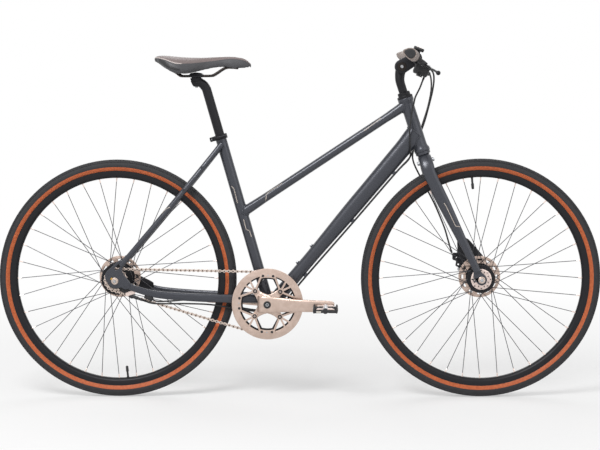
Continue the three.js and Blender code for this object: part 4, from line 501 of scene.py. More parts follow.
world = bpy.data.worlds.new("white_sky")
bpy.context.scene.world = world
world.use_nodes = True
sky = world.node_tree.nodes["Background"]
sky.inputs["Color"].default_value = (1, 1, 1, 1)
sky_light = 0.3
seen = seen_rays(world)
level = add_node(world, "ShaderNodeMapRange", {"To Min": sky_light, "To Max": 1.0},
                 {"Value": (seen, "Value")})
link(world, level, "Result", sky, "Strength")


def add_lamp(name, place, size, power):
    lamp = bpy.data.lights.new(name, "AREA")
    lamp.size = size
    lamp.energy = power
    lamp_object = bpy.data.objects.new(name, lamp)
    lamp_object.location = place
    aim = Vector((0, 0, 0.5)) - Vector(place)
    lamp_object.rotation_euler = aim.to_track_quat("-Z", "Y").to_euler()
    bpy.context.scene.collection.objects.link(lamp_object)


add_lamp("key_lamp", (-1.4, -2.6, 3.4), 1.7, 125)
add_lamp("fill_lamp", (2.8, -2.4, 2.2), 3.0, 24)
add_lamp("back_lamp", (0.5, 3.2, 3.0), 3.0, 45)
bpy.context.scene.view_settings.view_transform = "Standard"
print("floor", floor_size, "m wide, three lamps")

# %% [markdown]
# Most pieces of a bicycle are round, swept or flat, and three helpers model those step by step.
# A turned piece starts as a ring of points, its outline, which is spun round an axis. A swept
# piece starts as a filled ring that is extruded from station to station. A plate is a flat
# filled outline that is extruded and bevelled. Each piece ends with its place in its mesh.

# %% Helpers for pieces
def pick(piece):
    if bpy.context.object and bpy.context.object.mode != "OBJECT":
        bpy.ops.object.mode_set(mode="OBJECT")
    bpy.ops.object.select_all(action="DESELECT")
    piece.select_set(True)
    bpy.context.view_layer.objects.active = piece


def finish_mesh(piece, smooth_angle=35.0):
    """Merges doubles, turns the faces outwards and shades the piece smoothly."""
    pick(piece)
    bpy.ops.object.transform_apply(location=True, rotation=True, scale=True)
    bpy.ops.object.mode_set(mode="EDIT")
    bpy.ops.mesh.select_all(action="SELECT")
    bpy.ops.mesh.remove_doubles(threshold=0.002 * mm)
    bpy.ops.mesh.delete_loose()
    bpy.ops.mesh.select_all(action="SELECT")
    bpy.ops.mesh.normals_make_consistent(inside=False)
    bpy.ops.object.mode_set(mode="OBJECT")
    bpy.ops.object.shade_smooth_by_angle(angle=math.radians(smooth_angle))
    return piece


def give(piece, material, body, slot, *nodes):
    """Sets the finish and the body that carries the piece, and hides the bare nodes it stands for.
    """
    piece.data.materials.clear()
    piece.data.materials.append(material)
    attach(piece, body)
    if nodes:
        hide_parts(*nodes)
    return piece


def bevel(piece, width, segments=2, angle=30.0):
    pick(piece)
    edge = piece.modifiers.new("rounded_edges", "BEVEL")
    edge.width = width * mm
    edge.segments = segments
    edge.limit_method = "ANGLE"
    edge.angle_limit = math.radians(angle)
    edge.harden_normals = False
    bpy.ops.object.modifier_apply(modifier=edge.name)
    bpy.ops.object.shade_smooth_by_angle(angle=math.radians(35))
    return piece


def ring_of(points, name, fill="NOTHING"):
    """A primitive circle whose points are then set one by one."""
    bpy.ops.object.select_all(action="DESELECT")
    bpy.ops.mesh.primitive_circle_add(vertices=len(points), radius=1, fill_type=fill)
    piece = bpy.context.object
    piece.name = name
    for vertex, point in zip(piece.data.vertices, points):
        vertex.co = point
    return piece


def turned(name, profile, centre, axis=SIDE, steps=64, smooth_angle=35.0):
    """Spins a closed outline of (along the axis, radius) points in millimetres round an axis."""
    out = axis.orthogonal().normalized()
    points = [centre + along * mm * axis + radius * mm * out for along, radius in profile]
    piece = ring_of(points, name)
    pick(piece)
    bpy.ops.object.mode_set(mode="EDIT")
    bpy.ops.mesh.select_all(action="SELECT")
    bpy.ops.mesh.spin(steps=steps, angle=2 * math.pi, center=centre, axis=axis)
    return finish_mesh(piece, smooth_angle)


def swept(name, rings, closed=False, smooth_angle=40.0):
    """Extrudes a filled ring of points through the rings that follow it."""
    piece = ring_of(rings[0], name, "NOTHING" if closed else "NGON")
    pick(piece)
    bpy.ops.object.mode_set(mode="EDIT")
    select_mode = tuple(bpy.context.tool_settings.mesh_select_mode)
    if closed:
        bpy.ops.mesh.select_mode(type="VERT")
    bpy.ops.mesh.select_all(action="SELECT")
    for last, ring in zip(rings, rings[1:] + (rings[:1] if closed else [])):
        bpy.ops.mesh.extrude_region_move()
        mesh = bmesh.from_edit_mesh(piece.data)
        places = np.array([tuple(point) for point in last])
        for vertex in mesh.verts:
            if vertex.select:
                gaps = ((places - np.array(vertex.co)) ** 2).sum(1)
                vertex.co = ring[int(gaps.argmin())]
        bmesh.update_edit_mesh(piece.data)
    piece = finish_mesh(piece, smooth_angle)
    bpy.context.tool_settings.mesh_select_mode = select_mode
    return piece


def oval(centre, across, up, half_width, half_height, sides=32, power=1.0):
    """A rounded section in millimetres: an ellipse at power 1, squarer as the power falls."""
    points = []
    for i in range(sides):
        turn = 2 * math.pi * i / sides
        c, s = math.cos(turn), math.sin(turn)
        x = math.copysign(abs(c) ** power, c) * half_width * mm
        y = math.copysign(abs(s) ** power, s) * half_height * mm
        points.append(centre + x * across + y * up)
    return points


def smooth_line(knots, steps):
    """Points and values along a Catmull-Rom curve through knots of equal length tuples."""
    knots = [np.array(k, float) for k in knots]
    ends = [2 * knots[0] - knots[1], *knots, 2 * knots[-1] - knots[-2]]
    line = []
    for i in range(steps + 1):
        place = min(i / steps * (len(knots) - 1), len(knots) - 1 - 1e-9)
        first = int(place)
        t = place - first
        a, b, c, d = ends[first:first + 4]
        point = 0.5 * (2 * b + (c - a) * t + (2 * a - 5 * b + 4 * c - d) * t ** 2
                       + (3 * b - a - 3 * c + d) * t ** 3)
        line.append(point.tolist())
    return line


def tube_through(name, knots, steps, up_hint=UP, sides=24, power=1.0, smooth_angle=40.0):
    """A tube through (x, y, z, width, height) knots, metres for the place and mm for sizes."""
    line = smooth_line(knots, steps)
    rings = []
    for i, value in enumerate(line):
        ahead = Vector(line[min(i + 1, steps)][:3]) - Vector(line[max(i - 1, 0)][:3])
        ahead.normalize()
        across = up_hint.cross(ahead).normalized()
        rings.append(oval(Vector(value[:3]), across, ahead.cross(across), value[3] / 2,
                          value[4] / 2, sides, power))
    return swept(name, rings, smooth_angle=smooth_angle)


def copies(name, piece, transforms):
    """Copies one model once for each transform, and joins the copies into one piece."""
    made = []
    for transform in transforms:
        copy = piece.copy()
        copy.data = piece.data.copy()
        copy.data.transform(transform)
        if transform.determinant() < 0:
            copy.data.flip_normals()
        bpy.context.scene.collection.objects.link(copy)
        made.append(copy)
    bpy.data.objects.remove(piece)
    pick(made[0])
    for copy in made[1:]:
        copy.select_set(True)
    bpy.ops.object.join()
    whole = bpy.context.object
    whole.name = name
    return whole


def plate(name, outlines, centre, low, high, round_edge=0.3):
    """A plate in the bicycle's own plane: a flat curve of (x, z) outlines in millimetres from
    a centre, the first one filled and the others holes, from y low to y high."""
    curve = bpy.data.curves.new(name, "CURVE")
    curve.dimensions = "2D"
    curve.fill_mode = "BOTH"
    for outline in outlines:
        spline = curve.splines.new("POLY")
        spline.points.add(len(outline) - 1)
        for point, (x, z) in zip(spline.points, outline):
            point.co = (x * mm, z * mm, 0, 1)
        spline.use_cyclic_u = True
    curve.extrude = (abs(high - low) / 2 - round_edge) * mm
    curve.bevel_depth = round_edge * mm
    curve.bevel_resolution = 1
    curve.offset = -round_edge * mm
    piece = bpy.data.objects.new(name, curve)
    bpy.context.scene.collection.objects.link(piece)
    pick(piece)
    bpy.ops.object.convert(target="MESH")
    piece = bpy.context.object
    turn = Matrix.Rotation(math.radians(90), 4, "X")
    place = Matrix.Translation(centre + (low + high) / 2 * mm * SIDE)
    piece.data.transform(place @ turn)
    return finish_mesh(piece, 30)


def arc(radius, start, end, count, x=0.0, z=0.0):
    """Points on an arc, angles in degrees."""
    turns = [math.radians(start + (end - start) * i / count) for i in range(count + 1)]
    return [(x + radius * math.cos(t), z + radius * math.sin(t)) for t in turns]


def circle(radius, count, x=0.0, z=0.0):
    return arc(radius, 0, 360, count, x, z)[:-1]


def sleeve(low, high, inner, outer, edge=0.0):
    """The outline of a sleeve, or of a rod from radius zero, with its outer edges cut."""
    if not edge:
        return [(low, inner), (low, outer), (high, outer), (high, inner)]
    return [(low, inner), (low, outer - edge), (low + edge, outer), (high - edge, outer),
            (high, outer - edge), (high, inner)]


def about(centre, axis, degrees):
    """A turn about an axis through a point."""
    place = Matrix.Translation(centre)
    return place @ Matrix.Rotation(math.radians(degrees), 4, axis) @ place.inverted()


# %% [markdown]
# A tyre is one lathe profile: two beads in the rim, bulging flanks, shoulders, and a tread with
# a low crown. The outline is walked from one bead over the crown to the other and back along
# the inside, and spun round the axle. The faces of the tread are then inset one by one and
# raised, which gives the small blocks of a fast city tyre. A texture could fake the blocks, but
# not the broken edge that they give the wheel's outline. The orange strip is a material on the
# faces between two radii.

# %% Tyres
rim_edge = 317
strip_low = 317.8
strip_high = 328.5
tread_edge = 345.6
strip_side = 15
block_low = 343.5
block_pitch = 3.4
block_gap = 0.45
block_height = 1.5
crown = wheel_radius / mm - block_height
tyre_half = [
    (9.5, 310), (10.4, 314), (11.2, rim_edge - 1), (13.6, strip_low), (17.0, 322.5),
    (19.2, strip_high), (19.9, 333), (19.4, 338), (18.0, 342), (15.6, tread_edge),
    (12.5, crown - 2.0), (9.2, crown - 0.95), (5.6, crown - 0.32), (1.9, crown),
]
tyre_inside = [(1.5, crown - 3), (12, crown - 6.5), (15.5, 333), (12, 321), (7.2, 311)]
tyre_turns = 320


def make_tyre(end, centre):
    right = [(-y, r) for y, r in reversed(tyre_half)]
    inside = [(-y, r) for y, r in reversed(tyre_inside)]
    outline = tyre_half + right + inside + tyre_inside
    tyre = turned(f"{end}_tread_tyre", outline, centre, steps=tyre_turns, smooth_angle=50)
    tyre.data.materials.append(tyre_rubber)
    tyre.data.materials.append(orange_rubber)
    pick(tyre)
    bpy.ops.object.mode_set(mode="EDIT")
    bpy.context.tool_settings.mesh_select_mode = (False, False, True)
    mesh = bmesh.from_edit_mesh(tyre.data)
    raised = 0
    for face in mesh.faces:
        middle = face.calc_center_median() - centre
        radius = math.hypot(middle.x, middle.z) / mm
        y = middle.y / mm
        turn = math.degrees(math.atan2(middle.z, middle.x)) % 360
        column = int(turn / 360 * tyre_turns)
        outside = face.normal.dot(Vector((middle.x, 0, middle.z)).normalized()) > -0.2
        on_tread = radius > block_low and outside and face.normal.length > 0
        row = round(abs(y) / block_pitch)
        face.select = bool(on_tread and ((column + row) % 2 == 0 or row > 3))
        raised += face.select
        on_flank = abs(y) > strip_side and abs(face.normal.y) > 0.2
        face.material_index = int(on_flank and strip_low < radius < strip_high)
    bmesh.update_edit_mesh(tyre.data)
    bpy.ops.mesh.inset(thickness=block_gap * mm, depth=block_height * mm, use_individual=True)
    bpy.ops.object.mode_set(mode="OBJECT")
    bpy.ops.object.shade_smooth_by_angle(angle=math.radians(38))
    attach(tyre, f"{end}_wheel")
    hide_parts(f"{end}_tyre")
    print(tyre.name, "with", raised, "raised blocks and", len(tyre.data.polygons), "faces")


for end, centre in wheels:
    make_tyre(end, centre)

# %% [markdown]
# The rim is an aluminium extrusion rolled into a hoop: a double wall with two upright flanks
# that hold the beads, and a shallow V towards the hub. It is again one profile spun round the
# axle. It is nearly black, so its bright edge is what shows, and that needs a small rounding.

# %% Rims
rim_profile = [
    (12.2, 317), (12.8, 316.5), (12.8, 304), (11.6, 301.4), (6, 297), (4.5, 296.2),
    (-4.5, 296.2), (-6, 297), (-11.6, 301.4), (-12.8, 304), (-12.8, 316.5), (-12.2, 317),
    (-11.2, 317), (-10.6, 316.4), (-10.6, 309.6), (-4, 307.8), (4, 307.8), (10.6, 309.6),
    (10.6, 316.4), (11.2, 317),
]
for end, centre in wheels:
    hoop = turned(f"{end}_rim_hoop", rim_profile, centre, steps=160, smooth_angle=32)
    give(hoop, black_alloy, f"{end}_wheel", "black_alloy", f"{end}_rim")
    print(hoop.name, "has", len(hoop.data.polygons), "faces")

# %% [markdown]
# Thirty-six spokes lace each wheel. Every spoke leaves its flange close to a tangent, alternate
# ones leading and trailing, and so each crosses others on its way. Its hub end is a head that
# goes through the flange, and its rim end screws into a nipple. Four spokes and their nipples
# are modelled, then copied round by angle, because the lacing repeats after four.

# %% Spokes and nipples
spoke_count = 36
spoke_radius = 1.0
lacing_repeat = 4
crossings = 2
rim_inner = 296.2
flange_half = 1.9
flange_step = 2.2
head_outside = 3.6
head_inside = 1.0
head_shape = [(0, 2.1), (0.16, 2.1), (0.2, spoke_radius), (1, spoke_radius)]
nipple_length = 12
nipple_radius = 1.9
nipple_shape = [(0, 2.9), (0.12, 2.9), (0.2, nipple_radius), (0.9, 1.8), (1, 1.3)]
hubs = {
    "front": {"right": -31 + flange_half, "left": 20 + flange_half, "radius": 38.5},
    "rear": {"right": -28 + flange_half, "left": 26 + flange_half, "radius": 43.5},
}
spoke_steel = patchy("black_stainless_spoke", "#3a3a3d", 0.32, 0.9, 3, ("#343437", "#444448"),
                     (0.28, 0.4))[0]


def rod_between(name, start, end, radius, sides=8, ends=None):
    """A round bar from one point to another; ends gives (share, radius) stations."""
    run = end - start
    ahead = run.normalized()
    across = ahead.orthogonal().normalized()
    stations = ends or [(0, radius), (1, radius)]
    rings = [oval(start + share * run, across, ahead.cross(across), r, r, sides)
             for share, r in stations]
    return swept(name, rings)


def join_all(name, made):
    pick(made[0])
    for piece in made[1:]:
        piece.select_set(True)
    bpy.ops.object.join()
    whole = bpy.context.object
    whole.name = name
    return whole


def lace(end, centre):
    sizes = hubs[end]
    pitch = 360 / spoke_count
    lean = crossings * 2 * pitch
    spokes = []
    nipples = []
    for first in range(lacing_repeat):
        on_right = first % 2 == 0
        way = 1 if first // 2 == 0 else -1
        flange = sizes["right"] if on_right else sizes["left"]
        at_rim = first * pitch
        out = heading(at_rim)
        hole = heading(at_rim + way * lean)
        start = centre + sizes["radius"] * mm * hole + (flange + way * flange_step) * mm * SIDE
        finish = centre + (rim_inner + 1) * mm * out
        run = (start - finish).normalized()
        neck = finish + run * nipple_length * mm
        spoke = rod_between("spoke", start, neck, spoke_radius)
        head = rod_between("spoke_head", start - way * head_outside * mm * SIDE,
                           start + way * head_inside * mm * SIDE, spoke_radius, ends=head_shape)
        nipple = rod_between("nipple", finish, neck, nipple_radius, ends=nipple_shape)
        turns = [about(centre, SIDE, -lacing_repeat * pitch * k)
                 for k in range(spoke_count // lacing_repeat)]
        spokes.append(copies("spokes", join_all("spoke", [spoke, head]), turns))
        nipples.append(copies("nipples", nipple, turns))
    give(join_all(f"{end}_spokes", spokes), spoke_steel, f"{end}_wheel", "black_alloy")
    give(join_all(f"{end}_nipples", nipples), turned_alloy, f"{end}_wheel", "pale_alloy")
    print(end, "wheel laced with", spoke_count, "spokes")


for end, centre in wheels:
    lace(end, centre)

# %% [markdown]
# The front hub is a generous shell with two tall flanges, and a pale turned cap on the chain
# side with a ring of dark dimples. The rear hub is the fat shell of a gear hub. Both are lathe
# profiles. Their flanges have no holes, because nobody sees through a hole that a spoke fills.

# %% Hub shells
front_profile = [
    (-43, 5.3), (-43, 13), (-42.4, 14), (-38.2, 15), (-37, 22), (-36.6, 29.5), (-35.6, 31),
    (-31.6, 31), (-31, 32), (-31, 40.4), (-30.4, 41), (-27.8, 41), (-27.2, 40.4), (-27, 36),
    (-25.5, 33.6), (-22, 33), (14, 33), (18, 33.6), (20, 36), (20.2, 40.4), (20.8, 41),
    (23.2, 41), (23.8, 40.4), (24, 34), (24.6, 22.6), (25.5, 22), (25.5, 5.3),
]
rear_profile = [
    (-38, 5.3), (-38, 19.4), (-37.4, 20), (-35, 22), (-34, 29.6), (-33, 31), (-28.6, 31),
    (-28, 33), (-28, 45.4), (-27.4, 46), (-24.8, 46), (-24.2, 45.4), (-24, 40), (-22.6, 38.4),
    (-19, 38), (-6, 37.4), (8, 37.4), (20, 38), (24.6, 38.4), (26, 40), (26.2, 45.4), (26.8, 46),
    (29.2, 46), (29.8, 45.4), (30, 38), (31, 30.6), (32, 30), (33, 30), (33, 5.3),
]
for (end, centre), profile in zip(wheels, (front_profile, rear_profile)):
    shell = turned(f"{end}_hub_shell", profile, centre, steps=72, smooth_angle=28)
    give(shell, black_alloy, f"{end}_wheel", "black_alloy", f"{end}_hub")

dimple_count = 16
dimple_reach = 27
dimple_step = 5.5
cap_face = -39
cap_profile = [
    (-38.6, 9), (-38.8, 16), (-38.5, 22), (-37.9, 22.6), (-37.9, 25), (-38.4, 25.6),
    (-38.2, 29), (-37.6, 30), (-36, 30.8), (-35.6, 30.8), (-35.6, 9),
]
for end, centre in wheels:
    shift = 0 if end == "front" else 3.2
    profile = [(y + shift, r) for y, r in cap_profile]
    cap = turned(f"{end}_hub_cap", profile, centre, steps=72, smooth_angle=28)
    give(cap, turned_alloy, f"{end}_wheel", "pale_alloy")
    dimple_at = centre + dimple_reach * mm * UP + (cap_face + shift) * mm * SIDE
    dimple = rod_between("dimple", dimple_at, dimple_at + mm * SIDE, 1.9, sides=14)
    inward = Matrix.Translation(-dimple_step * mm * UP)
    turns = [about(centre, SIDE, 360 / dimple_count * k) @ (inward if k % 2 else Matrix())
             for k in range(dimple_count)]
    give(copies(f"{end}_hub_dimples", dimple, turns), nylon, f"{end}_wheel", "dark_plastic")
print("hubs turned")

# %% [markdown]
# The valve is a small stem through the rim with a moulded cap. It sits halfway between two
# spokes, opposite the rim's joint, and points at the hub.

# %% Valves
for end, centre, turn in (("front", front_axle, 95), ("rear", rear_axle, 275)):
    out = heading(turn)
    stem = rod_between(f"{end}_valve", centre + 300 * mm * out, centre + 262 * mm * out, 3,
                       sides=16, ends=[(0, 4.6), (0.12, 4.6), (0.14, 3.2), (0.55, 3.0),
                                       (0.57, 4.0), (0.62, 4.3), (0.95, 3.8), (1, 2.8)])
    give(stem, nylon, f"{end}_wheel", "dark_plastic")
print("valves set")

# %% [markdown]
# The chain is made of links: two outer plates over two inner plates, on rollers. Each plate is a
# figure of eight: two round ends with a waist between them. One outer and one inner link are
# modelled, then set along the chain's own path. That path wraps each sprocket on its pitch
# circle, so the rollers really sit between the teeth, and runs straight between them.

# %% The chain's path
pitch = 12.7
ring_teeth = 46
sprocket_teeth = 16
chain_y = -44.5
ring_radius = pitch / 2 / math.sin(math.pi / ring_teeth)
sprocket_radius = pitch / 2 / math.sin(math.pi / sprocket_teeth)
drive_run = bracket - rear_axle
drive_length = drive_run.length / mm
drive_angle = math.atan2(drive_run.z, drive_run.x)
wrap_lean = math.asin((ring_radius - sprocket_radius) / drive_length)


def wrapped_pins(centre, radius, teeth, half_wrap, facing):
    """Chain pins on one wheel, the first and the last near the ends of its wrap."""
    step = 2 * math.pi / teeth
    half = math.floor(half_wrap / step + 0.6) - 0.5
    turns = [facing + (i - half) * step for i in range(round(2 * half) + 1)]
    return [(centre.x / mm + radius * math.cos(t), centre.z / mm + radius * math.sin(t))
            for t in turns]


def straight_pins(start, end):
    """Pins evenly along a straight run, without its two ends."""
    count = round(math.dist(start, end) / pitch)
    return [tuple(a + (b - a) * i / count for a, b in zip(start, end)) for i in range(1, count)]


ring_pins = wrapped_pins(bracket, ring_radius, ring_teeth, math.pi / 2 + wrap_lean, drive_angle)
sprocket_pins = wrapped_pins(rear_axle, sprocket_radius, sprocket_teeth,
                             math.pi / 2 - wrap_lean, drive_angle + math.pi)
pins = ring_pins + straight_pins(ring_pins[-1], sprocket_pins[0])
pins += sprocket_pins + straight_pins(sprocket_pins[-1], ring_pins[0])
print("the chain has", len(pins), "pins")

# %% [markdown]
# A plate's outline is two circles joined by a shallow waist. It is filled, extruded by its
# thickness and its edges are rounded, which gives the thin bright line along each link.

# %% Chain links
plate_height = 8.4
plate_thickness = 1.0
plate_play = 0.05
inner_plate_cut = 0.4
inner_gap = 3.0
waist = 1.9
pin_radius = 2
pin_end = 0.95
roller_radius = 3.6


def link_plate(y, height):
    right = arc(height / 2, -128, 128, 9, pitch / 2)
    left = arc(height / 2, 52, 308, 9, -pitch / 2)
    dip = waist * height / plate_height
    outline = right + [(0, dip)] + left + [(0, -dip)]
    return plate("link_plate", [outline], Vector(), y, y + plate_thickness, 0.15)


def cross_pin(half, radius):
    start = Vector((0, -half, 0)) * mm
    return rod_between("pin", start, start + 2 * half * mm * SIDE, radius, sides=12,
                       ends=[(0, radius * 0.7), (0.06, radius), (0.94, radius), (1, radius * 0.7)])


def make_link(outer):
    half = inner_gap / 2 + (plate_thickness + plate_play if outer else 0)
    height = plate_height - (0 if outer else inner_plate_cut)
    return join_all("link", [link_plate(y, height) for y in (half, -half - plate_thickness)])


def make_pin():
    pin = cross_pin(inner_gap / 2 + 2 * plate_thickness + pin_end, pin_radius)
    return join_all("pin", [pin, cross_pin(inner_gap / 2 - 0.1, roller_radius)])


groups = {True: [], False: []}
pin_places = [Matrix.Translation(Vector((x, chain_y, z)) * mm) for x, z in pins]
for i, (first, second) in enumerate(zip(pins, pins[1:] + pins[:1])):
    middle = Vector(((first[0] + second[0]) / 2, chain_y, (first[1] + second[1]) / 2)) * mm
    turn = math.atan2(second[1] - first[1], second[0] - first[0])
    groups[i % 2 == 0].append(Matrix.Translation(middle) @ Matrix.Rotation(-turn, 4, "Y"))
chain = join_all("chain_links", [copies("links", make_link(outer), groups[outer])
                                 for outer in (True, False)])
give(chain, nickel, "frame", "nickel", "chain")
give(copies("chain_pins", make_pin(), pin_places), dark_steel, "frame", "black_alloy")
print("the chain has", len(chain.data.polygons), "faces")

# %% [markdown]
# Chainring and guard are both bands that a boss and a fan of ribs hold at each of four bolts.
# The windows between the ribs are worked out as the room that two neighbouring edges leave, so
# every rib keeps its width by construction. The ring is black, with fewer and wider ribs, and it
# shows as a dark line beside the champagne ribs of the guard in front of it.

# %% Fans of ribs
bolt_count = 4
bolt_reach = 52
crank_turn = -1.5
boss_radius = 9.5
tab_depth = 6
guard_fan = {"inner": 83, "turns": (-31, -6.5, 6.5, 31), "width": 5.6}
ring_fan = {"inner": 78.6, "turns": (-33, 33), "width": 8}


def crossing(first, second):
    """Where two lines, each a start and a direction, meet."""
    (a, u), (b, v) = first, second
    reach = ((b - a).x * v.z - (b - a).z * v.x) / (u.x * v.z - u.z * v.x)
    return a + u * reach


def rib_edge(boss, foot, offset, radius):
    run = (foot - boss).normalized()
    start = boss + Vector((run.z, 0, -run.x)) * offset
    leave = start + run * math.sqrt(boss_radius ** 2 - offset ** 2)
    half = start.dot(run)
    reach = math.sqrt(half ** 2 - start.length_squared + radius ** 2) - half
    return {"line": (start, run), "leave": leave, "meet": start + run * reach}


def band_arc(first, second, count):
    """Points of a circle round the bracket, from one point on it to another."""
    turns = [math.degrees(math.atan2(p.z, p.x)) for p in (first, second)]
    span = (turns[1] - turns[0] + 180) % 360 - 180
    return [Vector((x, 0, z)) for x, z in arc(first.length, turns[0], turns[0] + span, count)]


def fan_windows(fan):
    fans = []
    for number in range(bolt_count):
        bolt_turn = crank_turn + 45 + 90 * number
        boss = heading(bolt_turn) * bolt_reach
        edges = []
        for k, turn in enumerate(fan["turns"]):
            foot = heading(bolt_turn + turn) * fan["inner"]
            outermost = (k == 0, k == len(fan["turns"]) - 1)
            edges.append([rib_edge(boss, foot, way * fan["width"] / 2,
                                   fan["inner"] - tab_depth * outermost[i])
                          for i, way in enumerate((1, -1))])
        fans.append((boss, edges))
    windows = []
    middle = []
    for number, (boss, edges) in enumerate(fans):
        for (_, first), (second, _) in zip(edges, edges[1:]):
            corner = crossing(first["line"], second["line"])
            inside = [corner]
            if (corner - boss).length < boss_radius:
                facing = first["leave"] + second["leave"] - 2 * boss
                if facing.dot(boss) < 0:
                    facing = boss
                inside = round_boss(boss, second["leave"], facing, first["leave"])
            windows.append(inside + band_arc(first["meet"], second["meet"], 8))
        following = fans[(number + 1) % bolt_count][1][0][0]
        middle += [edges[0][0]["meet"]]
        middle += round_boss(boss, edges[0][0]["leave"], -boss.normalized(),
                             edges[-1][1]["leave"])
        middle += band_arc(edges[-1][1]["meet"], following["meet"], 8)[:-1]
    return [[(p.x, p.z) for p in points] for points in [*windows, middle]]


def round_boss(boss, first, facing, last):
    """Points round a boss from one point on it to another, by way of the side that faces out."""
    stops = [first - boss, facing, last - boss]
    turns = [math.degrees(math.atan2(stop.z, stop.x)) for stop in stops]
    points = []
    for start, end in zip(turns, turns[1:]):
        span = (end - start + 180) % 360 - 180
        points += [boss + Vector((x, 0, z)) for x, z in arc(boss_radius, start, start + span, 4)]
    return points


print("the guard has", len(fan_windows(guard_fan)), "windows")

# %% [markdown]
# Sprocket teeth are cut by a rule: a round seat for each roller, and a short tapered tooth
# between two seats. The outline is walked tooth by tooth and closed into one flat curve.

# %% Chainring, guard and sprocket
roller_seat = 4.0


def tooth_outline(radius, teeth, phase, tip):
    outline = []
    step = 2 * math.pi / teeth
    for i in range(teeth):
        seat = phase + i * step
        seat_x, seat_z = radius * math.cos(seat), radius * math.sin(seat)
        for k in range(5):
            dip = seat + math.pi - math.radians(66 * (k / 2 - 1))
            outline.append((seat_x + roller_seat * math.cos(dip),
                            seat_z + roller_seat * math.sin(dip)))
        for share in (0.42, 0.5, 0.58):
            top = seat + step * share
            reach = radius + tip * (1 - 60 * (share - 0.5) ** 2)
            outline.append((reach * math.cos(top), reach * math.sin(top)))
    return outline


ring_outline = tooth_outline(ring_radius, ring_teeth, drive_angle + math.pi / ring_teeth, 3.2)
ring_plate = plate("chainring_plate", [ring_outline, *fan_windows(ring_fan)], bracket,
                   chain_y - 1.1, chain_y + 1.1, 0.35)
give(ring_plate, black_alloy, "crank", "black_alloy", "chainring")
guard_low, guard_high = -52.25, -49.65
guard = plate("guard_plate", [circle(104, 144), *fan_windows(guard_fan)], bracket, guard_low,
              guard_high, 0.55)
give(guard, champagne, "crank", "champagne", "chainring_guard")

sprocket_phase = drive_angle + math.pi / sprocket_teeth + math.pi
sprocket_outline = tooth_outline(sprocket_radius, sprocket_teeth, sprocket_phase, 3.0)
toothed = plate("sprocket", [sprocket_outline, circle(16.6, 40)], rear_axle, chain_y - 1.1,
                chain_y + 1.1, 0.35)
driver = turned("driver", [(-50, 13.8), (-50, 16.6), (-49.6, 17), (-38.4, 17), (-38.4, 13.8)],
                rear_axle, steps=48, smooth_angle=25)
give(join_all("rear_sprocket_wheel", [toothed, driver]), nickel, "rear_sprocket", "nickel",
     "rear_sprocket")
print("chainring pitch radius", round(ring_radius, 1), "mm")

# %% [markdown]
# Each crank is a forged arm with a soft rectangular section: full at the axle, slimmer and
# moved outwards towards the pedal. It is lofted from a few stations along its length, which is
# how a forging is drawn. Its shine comes from large rounded edges, and those are in the section.

# %% Crank arms
crank_length = 170
crank_face = 58
crank_thickness = 13
crank_offset = 8
crank_root = 46
spindle_start = 4
spindle_length = 102
spindle_radius = 5.9
spider_back = -45.95
crank_stations = [
    (-0.17, 1.0, -1.15, 0.35), (-0.15, 1.04, -0.8, 0.6), (-0.12, 1.05, -0.4, 0.85),
    (-0.08, 1.05, -0.1, 0.97), (-0.03, 1.04, 0, 1), (0.05, 1.02, 0, 1),
    (0.14, 0.97, 0.05, 1), (0.3, 0.885, 0.35, 1), (0.5, 0.805, 0.75, 1), (0.7, 0.77, 0.96, 1),
    (0.86, 0.75, 1, 1), (1, 0.74, 1, 1), (1.08, 0.7, 1, 1), (1.125, 0.6, 1, 0.9),
    (1.148, 0.42, 1, 0.7),
]


def crank_way(side):
    return heading(crank_turn + (180 if side > 0 else 0))


def crank_arm(name, side):
    ahead = crank_way(side)
    up = ahead.cross(SIDE)
    rings = []
    for share, width, out, thick in smooth_line(crank_stations, 46):
        y = side * (crank_face + crank_thickness / 2 + out * crank_offset)
        centre = bracket + share * crank_length * mm * ahead + y * mm * SIDE
        rings.append(oval(centre, SIDE, up, crank_thickness / 2 * thick,
                          crank_root / 2 * width, 32, 0.55))
    arm = swept(name, rings, smooth_angle=50)
    return bevel(arm, 1.2, 2, 50)


def spindle(side):
    end = bracket + crank_length * mm * crank_way(side)
    start = end + side * (crank_face + crank_offset + spindle_start) * mm * SIDE
    stations = [(0, spindle_radius), (0.995, spindle_radius), (1, spindle_radius - 0.7)]
    return rod_between("spindle", start, start + side * spindle_length * mm * SIDE,
                       spindle_radius, sides=24, ends=stations)


# [distance from the axis, half width, outer face]
spider_stations = [
    (0, 26, -59), (10, 24.5, -58.6), (19, 19.5, -56.5), (27, 15, -54), (35, 11.9, -52),
    (42, 10.1, -50), (50, 9.2, -49.35), (56, 8.2, -49.35), (60, 5.6, -49), (61.5, 2.6, -48.5),
]


def spider_arm(number):
    """An arm that swells from a bolt towards the crank's root."""
    out = heading(crank_turn + 45 + 90 * number)
    up = out.cross(SIDE)
    rings = []
    for reach, half, face in smooth_line(spider_stations, 36):
        centre = bracket + reach * mm * out + (face + spider_back) / 2 * mm * SIDE
        rings.append(oval(centre, SIDE, up, (spider_back - face) / 2, half, 28, 0.5))
    return swept("spider_arm", rings, smooth_angle=50)


collar = turned("collar", [(-59, 9.5), (-59, 22), (-50, 24), (-46, 24), (-46, 9.5)], bracket,
                steps=48)
right = join_all("crank_right", [crank_arm("arm", -1), collar])
give(right, champagne, "crank", "champagne", "crank_arm_right")
spider = join_all("crank_spider", [spider_arm(number) for number in range(bolt_count)])
give(spider, champagne, "crank", "champagne")
left_axle = turned("left_axle", [(-61.8, 0), (-61.8, 8.6), (-61, 9), (60, 9), (60, 0)], bracket,
                   steps=32)
left = join_all("crank_left", [crank_arm("arm", 1), left_axle])
give(left, champagne, "crank", "champagne", "crank_arm_left")
for side, name in both_sides:
    give(spindle(side), zinc, "crank", "silver").name = f"pedal_spindle_{name}"
print("cranks", crank_length, "mm long")

